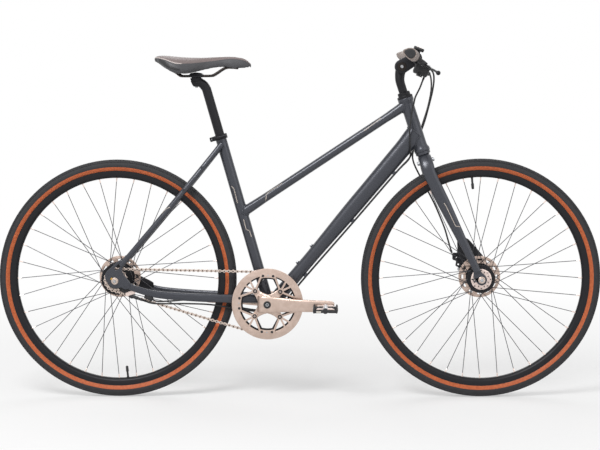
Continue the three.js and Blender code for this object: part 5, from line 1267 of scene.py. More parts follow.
# %% [markdown]
# Each crank is held by a bolt in a black dust ring, and the four chainring bolts are black with
# a bright socket. All are lathe profiles, and a socket is one with six sides. Small plugs in
# the guard mark where it is fixed.

# %% Crank and chainring bolts
bolt_head = [(0, 0), (0, 0.96), (0.7, 1), (1, 0.86), (1, 0.55), (0.75, 0.5), (0.75, 0)]
bolt_socket = [(0.4, 0), (0.4, 0.49), (0.82, 0.46), (0.82, 0.26), (0.5, 0.22), (0.5, 0)]
plug_low, plug_high = guard_low - 0.25, guard_low + 0.4
plug_reach = 83.4
plug_step = 10.3
crank_bolt_foot = 70.2
ring_bolt_foot = -52.3


def bolt(name, centre, y, side, radius, height, outer, inner):
    """A round head with a pale middle, whose outer face looks along side."""
    for piece_name, shape, steps, angle, finish, slot in (
            (name, bolt_head, 28, 30, outer, "black_alloy"),
            (f"{name}_socket", bolt_socket, 6, 20, inner, "silver")):
        profile = [(y + side * height * along, radius * out) for along, out in shape]
        head = turned(piece_name, profile, centre, steps=steps, smooth_angle=angle)
        give(head, finish, "crank", slot)


for side, name in both_sides:
    bolt(f"crank_bolt_{name}", bracket, side * crank_bolt_foot, side, 11, 2.2, nylon, zinc)
for number in range(bolt_count):
    place = bracket + bolt_reach * mm * heading(crank_turn + 45 + 90 * number)
    bolt(f"ring_bolt_{number}", place, ring_bolt_foot, -1, 6.3, 2.0, black_alloy, turned_alloy)
    for k, (shift, radius) in enumerate(((-plug_step, 3.9), (0, 2.0), (plug_step, 3.9))):
        spot = bracket + plug_reach * mm * heading(crank_turn + 90 * number + shift)
        plug = turned(f"guard_plug_{number}_{k}", sleeve(plug_low, plug_high, 0, radius), spot,
                      steps=18, smooth_angle=30)
        give(plug, zinc if k == 1 else nylon, "crank", "silver" if k == 1 else "dark_plastic")
print("bolts set")

# %% [markdown]
# The bottom bracket is a sealed cartridge whose threaded cups show as dark rings at both ends
# of the frame's shell.

# %% Bottom bracket cups
cup = [(-34, 9.4), (-34, 16), (-34.6, 16.4), (-35.4, 16.2), (-35.8, 15.2), (-35.8, 9.4)]
for side, name in ((1, "right"), (-1, "left")):
    ring = turned(f"bracket_cup_{name}", [(side * y, r) for y, r in cup], bracket, steps=40)
    give(ring, black_alloy, "frame", "dark_plastic")
print("bracket cups turned")

# %% [markdown]
# The frame is welded from drawn and hydroformed aluminium tubes. Each tube is one loft along
# its own line: an oval ring is extruded from station to station, and its size follows a short
# table with eased steps, so that no crease shows where the tube swells. The tubes run into each
# other as they do before the welder joins them.

# %% Helpers for tubes
def sized(table, share):
    """A value between the stations of a table, eased so that no crease shows."""
    for (start, first), (end, last) in zip(table, table[1:]):
        if share <= end:
            t = max(0.0, (share - start) / (end - start))
            return first + (last - first) * t * t * (3 - 2 * t)
    return table[-1][1]


def tube_ring(tube, share, sides=40):
    """A section of a tube, which is its start, end, width and height tables, and power."""
    start, end, width, height, power = tube
    ahead = (end - start).normalized()
    up = ahead.cross(SIDE)
    return oval(start + share * (end - start), SIDE, up, sized(width, share) / 2,
                sized(height, share) / 2, sides, power)


def straight_tube(name, tube, steps=48):
    rings = [tube_ring(tube, i / steps) for i in range(steps + 1)]
    return swept(name, rings, smooth_angle=30)


def other_way(tube):
    """The same tube, walked from its other end."""
    start, end, *tables, power = tube
    tables = [[(1 - share, size) for share, size in reversed(table)] for table in tables]
    return (end, start, *tables, power)


# %% [markdown]
# A weld is a raised bead with a fine scale, one scale for each dip of the filler rod. It follows
# the line where two tubes meet. That line is found from the shapes: each edge line of the one
# tube is followed until it comes out of the other, and a small ring is then swept along.

# %% Helpers for welds
bead_radius = 2.3
scale_length = 3.2
scale_height = 0.3


def meeting_line(edge_at, foot, axis, radius, count=90):
    """Where a tube's edge lines, edge_at(turn, share), come out of a round tube."""
    points = []
    for i in range(count):
        low, high = 0.0, 0.3
        for _ in range(26):
            middle = (low + high) / 2
            out = edge_at(i / count, middle) - foot
            inside = (out - out.dot(axis) * axis).length < radius * mm
            low, high = (middle, high) if inside else (low, middle)
        points.append(edge_at(i / count, high))
    return points


def bead(name, line):
    count = len(line)
    middle = sum(line, Vector()) / count
    rings = []
    walked = 0.0
    for i in range(count * 2):
        here = line[i // 2] if i % 2 == 0 else (line[i // 2] + line[(i // 2 + 1) % count]) / 2
        before = line[(i // 2 - 1) % count]
        after = line[(i // 2 + 1) % count]
        ahead = (after - before).normalized()
        out = (here - middle).normalized()
        across = (out - out.dot(ahead) * ahead).normalized()
        walked += (after - before).length / 4 / mm
        radius = bead_radius + scale_height * math.sin(2 * math.pi * walked / scale_length)
        rings.append(oval(here, across, ahead.cross(across), radius, radius, 10))
    made = swept(name, rings, closed=True, smooth_angle=70)
    print(name, "with", len(made.data.polygons), "faces")
    give(made, paint, "frame", "frame_paint")


def weld_of_tube(name, tube, foot, axis, radius):
    def edge_at(turn, share):
        return tube_ring(tube, share, 90)[int(turn * 90)]
    bead(name, meeting_line(edge_at, foot, axis, radius))


# %% [markdown]
# Head tube, seat tube and bracket shell are the three round tubes that everything meets. They
# are turned outlines with real wall thickness, because their open ends show a little.

# %% Round tubes
seat_radius = 16
head_radius = 19
shell_radius = 21
head_low = 406
head_high = 569
seat_tube_top = 511

head_profile = [
    (head_low, 15.2), (head_low, 22.6), (head_low + 0.6, 23), (head_low + 7.5, 23),
    (head_low + 10, 22.2), (head_low + 15, 19.6), (head_low + 20, head_radius),
    (head_high - 20, head_radius), (head_high - 15, 19.6), (head_high - 10, 22.2),
    (head_high - 7.5, 23), (head_high - 0.6, 23), (head_high, 22.6), (head_high, 15.2),
]
head_piece = turned("painted_head_tube", head_profile, steer_foot, steer_up, 72)
give(head_piece, paint, "frame", "frame_paint", "head_tube")

seat_profile = [
    (0, 14), (0, seat_radius), (seat_tube_top - 1, seat_radius),
    (seat_tube_top, seat_radius - 0.8), (seat_tube_top, 14),
]
shell_profile = [
    (-34, 16.5), (-34, shell_radius - 0.8), (-33.2, shell_radius), (33.2, shell_radius),
    (34, shell_radius - 0.8), (34, 16.5),
]
seat_piece = join_all("painted_seat_tube", [
    turned("seat", seat_profile, bracket, seat_up, 64),
    turned("shell", shell_profile, bracket, steps=64),
])
give(seat_piece, paint, "frame", "frame_paint", "seat_tube")
print("head tube", head_high - head_low, "mm, seat tube", seat_tube_top, "mm")

# %% [markdown]
# The top tube slopes from the head to the middle of the seat tube. The down tube is a deep,
# hydroformed one, flat-sided, slim above the bracket and deepest behind the head. It passes the
# bracket's axis at an offset, so its lower edge runs tangent to the shell.

# %% Top tube and down tube
top_height = [(0, 29), (0.16, 25), (0.86, 25), (0.94, 28), (1, 32.5)]
top_tube = (on_seat_tube(273), on_steerer(551), [(0, 32), (1, 32)], top_height, 0.82)
give(straight_tube("painted_top_tube", top_tube), paint, "frame", "frame_paint", "top_tube")

down_end = on_steerer(464)
to_head = down_end - bracket
down_offset = 12
down_lean = math.asin(down_offset * mm / to_head.length)
down_turn = math.degrees(math.atan2(to_head.z, to_head.x) + down_lean)
down_ahead = heading(down_turn)
down_up = heading(down_turn + 90)
down_length = to_head.length * math.cos(down_lean)
down_start = down_end - down_length * down_ahead
down_height = [(0, 41), (0.25, 38), (0.62, 47), (0.9, 50.2), (1, 57)]
down_tube = (down_start, down_end, [(0, 36), (1, 42)], down_height, 0.92)
down_piece = straight_tube("painted_down_tube", down_tube)
clip_shares = (0.2, 0.52, 0.8)
boss_share = 0.22
boss_spacing = 64
boss_profile = [(-4, 2.6), (-4, 6), (1.4, 6), (2, 5.4), (2, 2.6)]
screw_profile = [(1.6, 0), (1.6, 4.6), (4.4, 4.6), (5.8, 3.8), (5.8, 1.7), (3.6, 1.6), (3.6, 0)]


def under_down_tube(share, drop, side=0.0):
    depth = sized(down_height, share) / 2 + drop
    return down_start + share * down_length * down_ahead - depth * mm * down_up + side * mm * SIDE


def strap(name, share, drop, stations, half_height, sides, power):
    """A low block across the tube's underside, through (along the tube, half width) stations."""
    middle = under_down_tube(share, drop)
    return swept(name, [oval(middle + reach * mm * down_ahead, SIDE, down_up, half, half_height,
                             sides, power) for reach, half in stations])


bosses = []
for number in range(2):
    reach = boss_share * down_length + number * boss_spacing * mm
    lift = sized(down_height, reach / down_length) / 2
    foot = down_start + reach * down_ahead + lift * mm * down_up
    bosses.append(turned("boss", boss_profile, foot, down_up, 32))
    screw = turned(f"bottle_screw_{number}", screw_profile, foot, down_up, 24)
    give(screw, zinc, "frame", "silver")
guide_shape = ((-6, 12.4), (-5.4, 13.3), (5.4, 13.3), (6, 12.4))
guides = [strap("guide", share, 1.4, guide_shape, 4.2, 28, 0.45) for share in clip_shares]
down_piece = join_all("painted_down_tube", [down_piece, *bosses, *guides])
give(down_piece, paint, "frame", "frame_paint", "down_tube")
clip_shape = ((-4.4, 10.4), (-4, 11), (4, 11), (4.4, 10.4))
for number, share in enumerate(clip_shares):
    clip = strap(f"cable_clip_{number}", share, 5.4, clip_shape, 1.5, 24, 0.5)
    give(clip, nylon, "frame", "dark_plastic")
print("down tube", round(down_length / mm), "mm long at", round(down_turn, 1), "degrees")

# %% [markdown]
# Chainstays and seatstays are swept tubes. The chainstays run level beside the tyre and then
# sweep up, while their section changes from tall to small. The seatstays spread to clear the
# tyre, end in slim feet, and are bored at the top where the seat post passes. Each dropout
# between them is a plate cut from one outline, with a window in it.

# %% Stays and dropouts
stay_reach = 442.5
bracket_drop = 70
hub_half = 67.5
chainstay_knots = [
    (0.02, 0.17, 0.3, 0), (0.1, 0.18, 0.36, 0), (0.25, 0.2, 0.52, 0), (0.5, 0.27, 0.68, 0.25),
    (0.72, 0.4, 0.82, 0.6), (0.84, 0.6, 0.93, 0.85), (0.935, 0.84, 1.035, 1),
]
seatstay_knots = [
    (0, 0.25, 0), (0.1, 0.36, 0.004), (0.3, 0.6, 0.008), (0.6, 0.84, 0.008), (0.85, 0.98, 0.004),
    (1, 1.04, 0),
]
seatstay_top = on_seat_tube(484)
seatstay_foot = rear_axle + Vector((17, 0, 44)) * mm
dropout_corners = [
    (-29, 17), (-28, 4), (-19, -9), (-8, -19), (6, -21), (17, -18), (30, -25), (43, -21),
    (46, -6), (30, 12), (20.5, 29), (24, 43), (29, 58), (14, 62), (-8, 42), (-24, 28),
]
dropout_window = [(-1, 37), (11, 50), (18, 52), (16, 41), (9, 33), (2, 31)]
dropout_inside = 67.8
dropout_thickness = 6
eyelet_profile = [(0, 2.4), (0, 5.2), (9.8, 5.2), (10.4, 4.6), (10.4, 2.4)]
bridge_share = 0.155
bore_radius = 13.9


def chainstay_place(back, rise, spread, side):
    return bracket + Vector((-back * stay_reach, side * spread * hub_half,
                             rise * bracket_drop)) * mm


def seatstay_place(down, spread, sag, side):
    run = seatstay_foot - seatstay_top
    place = seatstay_top + down * run - sag * run.length * UP
    return place + side * spread * hub_half * mm * SIDE


def seatstay_at(share, side):
    """A point along a seatstay's middle, between two of its knots."""
    for first, last in zip(seatstay_knots, seatstay_knots[1:]):
        if share <= last[0]:
            t = (share - first[0]) / (last[0] - first[0])
            return seatstay_place(*[a + (b - a) * t for a, b in zip(first, last)], side)
    return seatstay_place(*seatstay_knots[-1], side)


def dropout(side):
    outlines = [smooth_outline(dropout_corners), smooth_outline(dropout_window)]
    low = min(side * dropout_inside, side * (dropout_inside + dropout_thickness))
    return plate("dropout", outlines, rear_axle, low, low + dropout_thickness, 0.9)


def smooth_outline(corners, cut=0.28, steps=3):
    """Rounds the corners of an outline."""
    points = []
    for i, here in enumerate(corners):
        before, after = corners[i - 1], corners[(i + 1) % len(corners)]
        a = [h + (b - h) * cut for h, b in zip(here, before)]
        b = [h + (n - h) * cut for h, n in zip(here, after)]
        for k in range(steps + 1):
            t = k / steps
            points.append(tuple((1 - t) ** 2 * p + 2 * t * (1 - t) * q + t * t * r
                                for p, q, r in zip(a, here, b)))
    return points


for side, name in both_sides:
    knots = []
    for back, rise, spread, slim in chainstay_knots:
        place = chainstay_place(back, rise, spread, side)
        knots.append((*place, 14 - 4 * slim, 25 - 7 * slim))
    stay = tube_through("chainstay", knots, 60, sides=32, power=0.8)
    stay = join_all(f"painted_chainstay_{name}", [stay, dropout(side)])
    give(stay, paint, "frame", "frame_paint", f"chainstay_{name}")

    knots = [(*seatstay_place(*knot, side), 17 - 3 * knot[0] ** 4, 17 - 2 * knot[0] ** 4)
             for knot in seatstay_knots]
    pieces = [tube_through("seatstay", knots, 60, up_hint=heading(150), sides=28)]
    drill = rod_between("drill", on_seat_tube(430), on_seat_tube(540), bore_radius, sides=48)
    bpy.ops.object.select_all(action="DESELECT")
    bpy.context.view_layer.objects.active = pieces[0]
    bpy.ops.object.modifier_add(type="BOOLEAN")
    bore_cut = pieces[0].modifiers[-1]
    bore_cut.operation, bore_cut.solver, bore_cut.object = "DIFFERENCE", "EXACT", drill
    bpy.ops.object.modifier_apply(modifier=bore_cut.name)
    bpy.data.objects.remove(drill)
    for share in (0.19, 0.37):
        foot = seatstay_at(share, side)
        pieces.append(turned("eyelet", eyelet_profile, foot, side * SIDE, 28))
    if side > 0:
        end = seatstay_at(bridge_share, side)
        start = end - 2 * end.y * SIDE
        pieces.append(rod_between("bridge", start, end, 7, sides=32))
    stay = join_all(f"painted_seatstay_{name}", pieces)
    give(stay, paint, "frame", "frame_paint", f"seatstay_{name}")
print("stays swept on both sides")

# %% Weld beads
seat_sizes = [(0, 2 * seat_radius), (1, 2 * seat_radius)]
seat_tube = (bracket, on_seat_tube(seat_tube_top), seat_sizes, seat_sizes, 1.0)
at_head = (steer_foot, steer_up, head_radius)
at_shell = (bracket, SIDE, shell_radius)
for name, tube, target in (("top_to_seat", top_tube, (bracket, seat_up, seat_radius)),
                           ("top_to_head", other_way(top_tube), at_head),
                           ("down_to_head", other_way(down_tube), at_head),
                           ("down_to_shell", down_tube, at_shell),
                           ("seat_to_shell", seat_tube, at_shell)):
    weld_of_tube(f"weld_{name}", tube, *target)
print("five weld beads")

# %% [markdown]
# The fork is one arch. Its two blades start wide and deep at the crown, rake forward near the
# wheel, and end in plates for the axle. The whole arch is a single sweep from one foot over the
# crown to the other, because the real one flows the same way.

# %% Fork
blade_knots = [
    (0.085, 0.565, 0.37, 0.54), (0.35, 0.51, 0.4, 0.66), (0.72, 0.44, 0.45, 0.94),
    (1, 0.385, 0.49, 1), (1.1, 0.33, 0.52, 1.02), (1.16, 0.16, 0.64, 1.04),
]
crown_knot = (1.172, 0, 0.74, 1.04)
blade_height = 330
blade_depth = 37
tab_inside = 50.3
tab_thickness = 6
bolt_ends = [(0, 4.6), (0.03, 6), (0.97, 6), (1, 4.6)]


def blade_knot(height, spread, thickness, depth, side):
    ahead = fork_offset * max(0, 1 - height)
    place = on_steerer(height * blade_height, ahead, side * spread * 100)
    return (*place, thickness * blade_depth, depth * blade_depth)


def arm_outline(turn, reach, root, tip, count=14):
    """A tapered arm with round ends, drawn from the axle outwards."""
    lean = math.degrees(math.acos((root - tip) / reach))
    end = heading(turn) * reach
    return (arc(root, turn + lean, turn + 360 - lean, count)
            + arc(tip, turn - lean, turn + lean, count, end.x, end.z))


fork_tab = [(-24, 25), (-16, 34), (-5, 34), (-1, 22), (10, 14), (16, 2), (12.5, -11), (1, -16.5),
            (-11, -12.5), (-15.5, -2), (-23, 6)]
left_knots = [blade_knot(*knot, 1) for knot in blade_knots]
right_knots = [blade_knot(*knot, -1) for knot in reversed(blade_knots)]
arch = tube_through("arch", [*left_knots, blade_knot(*crown_knot, 1), *right_knots], 120,
                    up_hint=steer_ahead, sides=36, power=0.82)
race = turned("race", [(394, 0), (394, 12), (396, 19), (398, 21.5), (405.2, 21.5), (405.7, 21),
                       (405.7, 0)], steer_foot, steer_up, 64)
steerer = turned("steerer", [(395, 0), (395, 14.3), (580, 14.3), (580, 12.9), (500, 12.9),
                             (500, 0)], steer_foot, steer_up, 48)
pieces = [arch, race, steerer]
for side in (1, -1):
    low = min(side * tab_inside, side * (tab_inside + tab_thickness))
    high = low + tab_thickness
    pieces.append(plate("fork_tab", [smooth_outline(fork_tab)], front_axle, low, high, 0.9))
    pieces.append(plate("fork_ear", [arm_outline(180, 21, 9.1, 5), circle(2.6, 20, -21, 0)],
                        front_axle, low, high, 0.8))
give(join_all("painted_fork", pieces), paint, "steering", "frame_paint", "fork")
crown_bolt = rod_between("fork_crown_bolt", on_steerer(375, -26), on_steerer(375, 26), 6,
                         sides=24, ends=bolt_ends)
give(crown_bolt, zinc, "steering", "silver")
guide_at = on_seat_tube(70, 5, -14.5)
guide_bolt = rod_between("shell_bolt", guide_at, guide_at - 4.5 * mm * SIDE, 3.8, sides=24,
                         ends=[(0, 3.8), (0.8, 3.8), (1, 3)])
give(guide_bolt, zinc, "frame", "silver")
print("fork swept in one arch")

# %% [markdown]
# Thin cream lines run along some of the tubes, with small steps in them. Each is a printed
# line under the lacquer. A flat ribbon is laid on the tube's own surface: its places are seen
# in the photograph's frame, and a ray from the camera finds where each lies on the tube. The
# other side of the frame carries the same lines mirrored.

# %% Printed lines
photo_width = 600
photo_height = 450
ribbon_half = 1.0
ribbon_lift = 0.12
ribbon_depth = 0.25
ribbon_step = 1.2
line_pixels = {
    "seat_upper": [("painted_seat_tube", "frame"), (231.5, 186), (234, 189), (237.5, 203)],
    "seat_lower": [("painted_seat_tube", "frame"), (243.5, 219), (246, 229), (249.5, 231),
                   (251.5, 237)],
    "top_rear": [("painted_top_tube", "frame"), (265.5, 202), (266.5, 194), (270, 191),
                 (282, 183.4)],
    "top_front": [("painted_top_tube", "frame"), (364, 131), (381, 118)],
    "blade": [("painted_fork", "steering"), (444, 203), (446, 206), (455.5, 226), (461, 227),
              (463.5, 229)],
    "seatstay": [("painted_seatstay_right", "frame"), (158, 217), (166, 209), (170, 207)],
}


def ray_through(pixel):
    """The direction in which the camera sees a place of the photograph."""
    half = camera_data.sensor_width / 2 / camera_data.lens
    across = (pixel[0] / photo_width * 2 - 1) * half
    rise = (1 - pixel[1] / photo_height * 2) * half * photo_height / photo_width
    ahead = camera_ahead + across * camera_right + rise * camera_up
    return ahead.normalized()


def ribbon(name, target, pixels):
    stops = []
    for first, last in zip(pixels, pixels[1:]):
        count = max(2, round(math.dist(first, last) / ribbon_step))
        stops += [[a + (b - a) * i / count for a, b in zip(first, last)] for i in range(count)]
    stops.append(pixels[-1])
    places = []
    for pixel in stops:
        hit, place, normal, _ = target.ray_cast(camera_place, ray_through(pixel))
        if hit:
            places.append((place + ribbon_lift * mm * normal, normal))
    rings = []
    for i, (place, normal) in enumerate(places):
        ahead = places[min(i + 1, len(places) - 1)][0] - places[max(i - 1, 0)][0]
        across = ahead.cross(normal).normalized() * ribbon_half * mm
        depth = normal * (ribbon_lift + ribbon_depth) * mm
        rings.append([place + across, place - across, place - across - depth,
                      place + across - depth])
    return swept(name, rings, smooth_angle=50)


mirror = Matrix.Scale(-1, 4, SIDE)
for name, (owner, *pixels) in line_pixels.items():
    line = ribbon(f"line_{name}", bpy.data.objects[owner[0]], pixels)
    line = copies(f"printed_line_{name}", line, [Matrix(), mirror])
    give(line, print_cream, owner[1], "frame_paint")
print(len(line_pixels), "printed lines on each side")

# %% [markdown]
# The upper headset is a stack of turned rings: a cover, a slim spacer and a locknut. The stem
# is an adjustable one. Its quill rises from the steerer and bends forward to a knuckle, and an
# arm pivots there on a bolt with a bright head. The quill is swept, because its round section
# flattens into the knuckle without a break.

# %% Headset and stem
pivot = joint_place("stem_angle")
stem_reach = 47
stem_rise = 31
bar_centre = pivot + stem_reach * mm * heading(stem_rise)
headset_profile = [
    (569.3, 14.8), (569.3, 22), (569.9, 22.7), (574.6, 22.7), (575.4, 22), (575.6, 20),
    (576.4, 19.6), (576.6, 18.6), (577, 18.2), (585.4, 18), (586.4, 17), (587, 15.6),
    (587, 13.2), (580.6, 13.2), (580.4, 14.8),
]
give(turned("headset_rings", headset_profile, steer_foot, steer_up, 64, 28), black_alloy,
     "frame", "black_alloy", "headset_upper")
quill_knots = []
for height, ahead, width, depth in (
        (500, 0, 25.4, 25.4), (560, 0, 25.4, 25.4), (600, 0, 25.4, 25.4), (622, 1, 25.6, 26.5),
        (640, 7, 23.5, 29), (652, 14, 22, 31), (659, 18.5, 21.6, 27)):
    quill_knots.append((*on_steerer(height, ahead), width, depth))
quill = tube_through("quill", quill_knots, 60, up_hint=steer_ahead, sides=36)
knuckle = turned("knuckle", [(-11, 0), (-11, 19.4), (-10, 20.5), (10, 20.5), (11, 19.4), (11, 0)],
                 pivot, steps=64)
pin = turned("pin", sleeve(-20, 20, 0, 5), pivot, steps=32)
give(join_all("stem_quill_swept", [quill, knuckle, pin]), black_alloy, "steering",
     "black_alloy", "stem_quill")
cheek = arm_outline(stem_rise, stem_reach, 20.5, 18, 22)
sides = [plate("cheek", [cheek, circle(5.3, 28)], pivot, low, low + 8, 1.6)
         for low in (-20, 12)]
clamp = turned("bar_clamp", sleeve(-20, 20, 13, 18, 1), bar_centre, steps=56)
middle = plate("web", [[(24, -13), (stem_reach, -17.5), (stem_reach, 17.5), (24, 14)]], pivot,
               -12.4, 12.4, 0.8)
middle.data.transform(about(pivot, SIDE, -stem_rise))
stem = join_all("stem_arm_forged", [*sides, clamp, middle])
give(stem, black_alloy, "stem", "black_alloy", "stem_arm")
stem_washer = [(20, 0), (20, 12.6), (20.6, 13), (21.4, 12.4), (21.4, 0)]
stem_bolt = [(21.4, 0), (21.4, 4.8), (23.4, 4.7), (24.4, 3.9), (24.4, 2.4), (22.6, 2.2),
             (22.6, 0)]
for side, name in both_sides:
    for kind, profile, steps, finish, slot in (
            ("washer", stem_washer, 48, dark_steel, "black_alloy"),
            ("bolt", stem_bolt, 36, zinc, "silver")):
        ring = turned(f"stem_{kind}_{name}", [(side * y, r) for y, r in profile], pivot,
                      steps=steps)
        give(ring, finish, "stem", slot)
print("stem reaches", stem_reach, "mm to the bar")

# %% [markdown]
# The handlebar is one tube, thicker in the clamp and slightly swept back and up. Its grips are
# round inboard and spread into a palm rest outboard. A grip is swept through stations whose
# outline grows a wing at the rear and waves a little, and its outer end carries a dark cap.

# %% Bar and grips
bar_bend = 60
bar_half = 297.6
bar_radius = 11.1
bar_bulge = 1.6
bulge_end = 46
bulge_taper = 16
bar_steps = 48
bar_sweep = math.tan(math.radians(6))
bar_rise = math.tan(math.radians(2))


def bar_place(side, distance):
    out = max(0, distance - bar_bend)
    return bar_centre + Vector((-bar_sweep * out, side * distance, bar_rise * out)) * mm


bar_rings = []
for step in range(-bar_steps, bar_steps + 1):
    distance = abs(step) / bar_steps * bar_half
    side = 1 if step >= 0 else -1
    thick = bar_radius + bar_bulge * max(0.0, min(1.0, (bulge_end - distance) / bulge_taper))
    bar_rings.append(oval(bar_place(side, distance), UP, heading(0), thick, thick, 28))
give(swept("handlebar_tube", bar_rings), black_alloy, "stem", "black_alloy", "handlebar")

grip_start = 168
grip_length = 132
grip_radius = 16
grip_wing = [(0, 0), (0.12, 0.1), (0.5, 0.55), (0.88, 1), (1, 0.94)]
grip_section = [
    (1, 0, 0, 0), (0.92, 0.4, 0, 0), (0.72, 0.72, 0, 0), (0.38, 0.94, 0, 0), (0, 1, 0, 0.02),
    (-0.38, 0.93, -0.08, 0.08), (-0.72, 0.72, -0.2, 0.15), (-0.93, 0.42, -0.36, 0.28),
    (-1, 0.1, -0.45, 0.35), (-0.94, -0.2, -0.4, 0.3), (-0.8, -0.45, -0.3, 0.2),
    (-0.56, -0.76, -0.12, 0.08), (-0.3, -0.95, 0, 0), (0.1, -1, 0, 0), (0.45, -0.9, 0, 0),
    (0.82, -0.5, 0, 0),
]


def grip_ring(side, share, grow=1.0):
    wing = sized(grip_wing, share)
    centre = bar_place(side, grip_start + grip_length * share)
    radius = grip_radius * grow
    return [centre + Vector((radius * (x + wing * back), 0, radius * (z + wing * lift))) * mm
            for x, z, back, lift in grip_section]


grip_wave = 0.018
grip_stations = [(0, 0.84), (0.004, 0.93), (0.03, 1.0),
                 *[(i / 40, 1.0 + grip_wave * math.sin(i * 1.9)) for i in range(2, 40)],
                 (0.985, 0.97)]
cap_stations = [(0.96, 0.78), (0.988, 0.82), (0.996, 0.8), (0.9985, 0.74), (0.9985, 0.45)]
for side, name in both_sides:
    rings = [grip_ring(side, *station) for station in grip_stations]
    grip = swept(f"palm_grip_{name}", rings, smooth_angle=60)
    give(grip, grip_rubber, "stem", "grip_rubber", f"grip_{name}")
    rings = [grip_ring(side, *station) for station in cap_stations]
    cap = swept(f"grip_cap_{name}", rings, smooth_angle=50)
    give(cap, nylon, "stem", "dark_plastic")
    plug = rod_between(f"grip_plug_{name}", bar_place(side, 296), bar_place(side, 299.9), 2.2,
                       sides=20)
    give(plug, tyre_rubber, "stem", "dark_plastic")
print("bar 600 mm wide with two grips")

# %% [markdown]
# Each brake lever lives in a plane that slopes forward and down from the bar. Its bracket is a
# small housing with a clamp band, an adjuster where the cable leaves, and a hinge pin. The
# blade is swept through a few places outwards, flat where two fingers lie, and ends in a ball.

# %% Brake levers
lever_ahead = heading(-38)
lever_up = heading(52)
lever_share = [(0, 0), (0.16, 0.12), (0.42, 0.24), (0.72, 0.28), (1, 0.38)]
lever_reach = 118
bracket_out = 153
port_out = 15
port_reach = 37
pivot_reach = 32
barrel_profile = [(-6, 0), (-6, 4.6), (1, 4.6), (1.4, 5.2), (6, 5.2), (6.4, 4.4), (8.8, 4),
                  (9, 3.4), (9, 0)]
ball_radius = 6.5


def on_lever(side, outwards, reach, lift=0.0):
    place = bar_place(side, bracket_out) + side * (outwards - bracket_out) * mm * SIDE
    return place + reach * mm * lever_ahead + lift * mm * lever_up


def cable_way(side):
    """The way a cable leaves its lever: forwards and inwards."""
    return -side * 0.6614 * SIDE + 0.75 * lever_ahead


def cable_port(side):
    return on_lever(side, bracket_out - port_out, port_reach)


def soft_box(name, centre, ahead, across, half_length, half_width, half_height, power=0.4,
             taper=0.86):
    """A moulded block: a rounded section that shrinks a little at both ends."""
    up = ahead.cross(across).normalized()
    stations = ((-1, taper * 0.8), (-0.97, taper), (-0.86, 1), (0.86, 1), (0.97, taper),
                (1, taper * 0.8))
    rings = [oval(centre + share * half_length * mm * ahead, across, up, half_width * grow,
                  half_height * grow, 28, power) for share, grow in stations]
    return swept(name, rings, smooth_angle=50)


for side, name in both_sides:
    bar_at = bar_place(side, bracket_out)
    band = turned("band", sleeve(-7, 7, 11.5, 16, 0.8), bar_at, steps=48)
    housing = soft_box("housing", on_lever(side, bracket_out, 27), lever_ahead, SIDE, 15.5, 15,
                       7.5)
    barrel = turned("barrel", barrel_profile, cable_port(side), cable_way(side).normalized(), 28,
                    28)
    screw = turned("band_screw", sleeve(-9, 9, 0, 3.4),
                   bar_at - 13 * mm * lever_up + 9 * mm * lever_ahead, lever_ahead, 20)
    bracket_piece = join_all(f"lever_housing_{name}", [band, housing, barrel, screw])
    give(bracket_piece, nylon, "stem", "dark_plastic", f"lever_bracket_{name}")
    pin = rod_between(f"lever_pin_{name}", on_lever(side, bracket_out, pivot_reach, -8.1),
                      on_lever(side, bracket_out, pivot_reach, 8.1), 2.6, sides=20)
    give(pin, zinc, "stem", "silver")

    knots = []
    for i, (out, away_share) in enumerate(lever_share):
        place = on_lever(side, bracket_out + out * lever_reach,
                         pivot_reach + away_share * lever_reach)
        knots.append((*place, 12 if i < 2 else 10.5, 7 if i < 2 else 6.2))
    blade = tube_through("blade", knots, 48, up_hint=lever_up, sides=28, power=0.75)
    tip = Vector(knots[-1][:3])
    turns = [math.radians(degrees) for degrees in range(-90, 91, 15)]
    half_circle = [(ball_radius * math.sin(t), ball_radius * math.cos(t)) for t in turns]
    ball = turned("ball", half_circle, tip, steps=28)
    hub = turned("hub", [(-3.5, 0), (-3.5, 6.6), (-3, 7), (3, 7), (3.5, 6.6), (3.5, 0)],
                 on_lever(side, bracket_out, pivot_reach), lever_up, 32)
    lever = join_all(f"lever_blade_{name}", [blade, ball, hub])
    give(lever, black_alloy, f"brake_lever_{name}", "black_alloy", f"brake_lever_{name}")
print("two brake levers")

# %% [markdown]
# The gear shifter clamps beside the right lever: a pod below the bar holds the ratchet, a thumb
# paddle swings under it, and a small window on top shows the gear with a red needle. Blocks
# with rounded sections are enough here, because the real covers are simple mouldings.

# %% Gear shifter
shifter_out = 98
shifter_at = bar_place(-1, shifter_out)
pod_at = shifter_at + 38 * mm * heading(-63)
pod_ahead = heading(-22)
pod_down = heading(-112)
display_at = shifter_at + Vector((9, 0, 23)) * mm
band = turned("band", sleeve(-6, 6, 11.5, 16, 0.8), shifter_at, steps=48)
pod = soft_box("pod", pod_at, pod_ahead, SIDE, 22, 16.8, 17.8, 0.55, 0.8)
lid = soft_box("lid", pod_at + 15.2 * mm * pod_down, pod_ahead, SIDE, 19, 14.5, 2.7, 0.5)
display = soft_box("display", display_at, pod_ahead, SIDE, 15, 15, 5, 0.5)
neck = soft_box("neck", (shifter_at + display_at) / 2, heading(68), SIDE, 11, 6, 7, 0.6)
shifter = join_all("shifter_covers", [band, pod, lid, display, neck])
give(shifter, nylon, "stem", "dark_plastic", "shifter_body")
window = soft_box("gear_window", display_at - 4.4 * mm * pod_down, pod_ahead, SIDE, 10.5, 10,
                  1.1, 0.7)
give(window, turned_alloy, "stem", "pale_alloy")
needle = soft_box("gear_needle", display_at - 5.3 * mm * pod_down + 3 * mm * pod_ahead, SIDE,
                  pod_ahead, 6.5, 1.5, 0.5, 0.7)
give(needle, red_mark, "stem", "dark_plastic")
paddle_at = pod_at + 18.3 * mm * pod_down
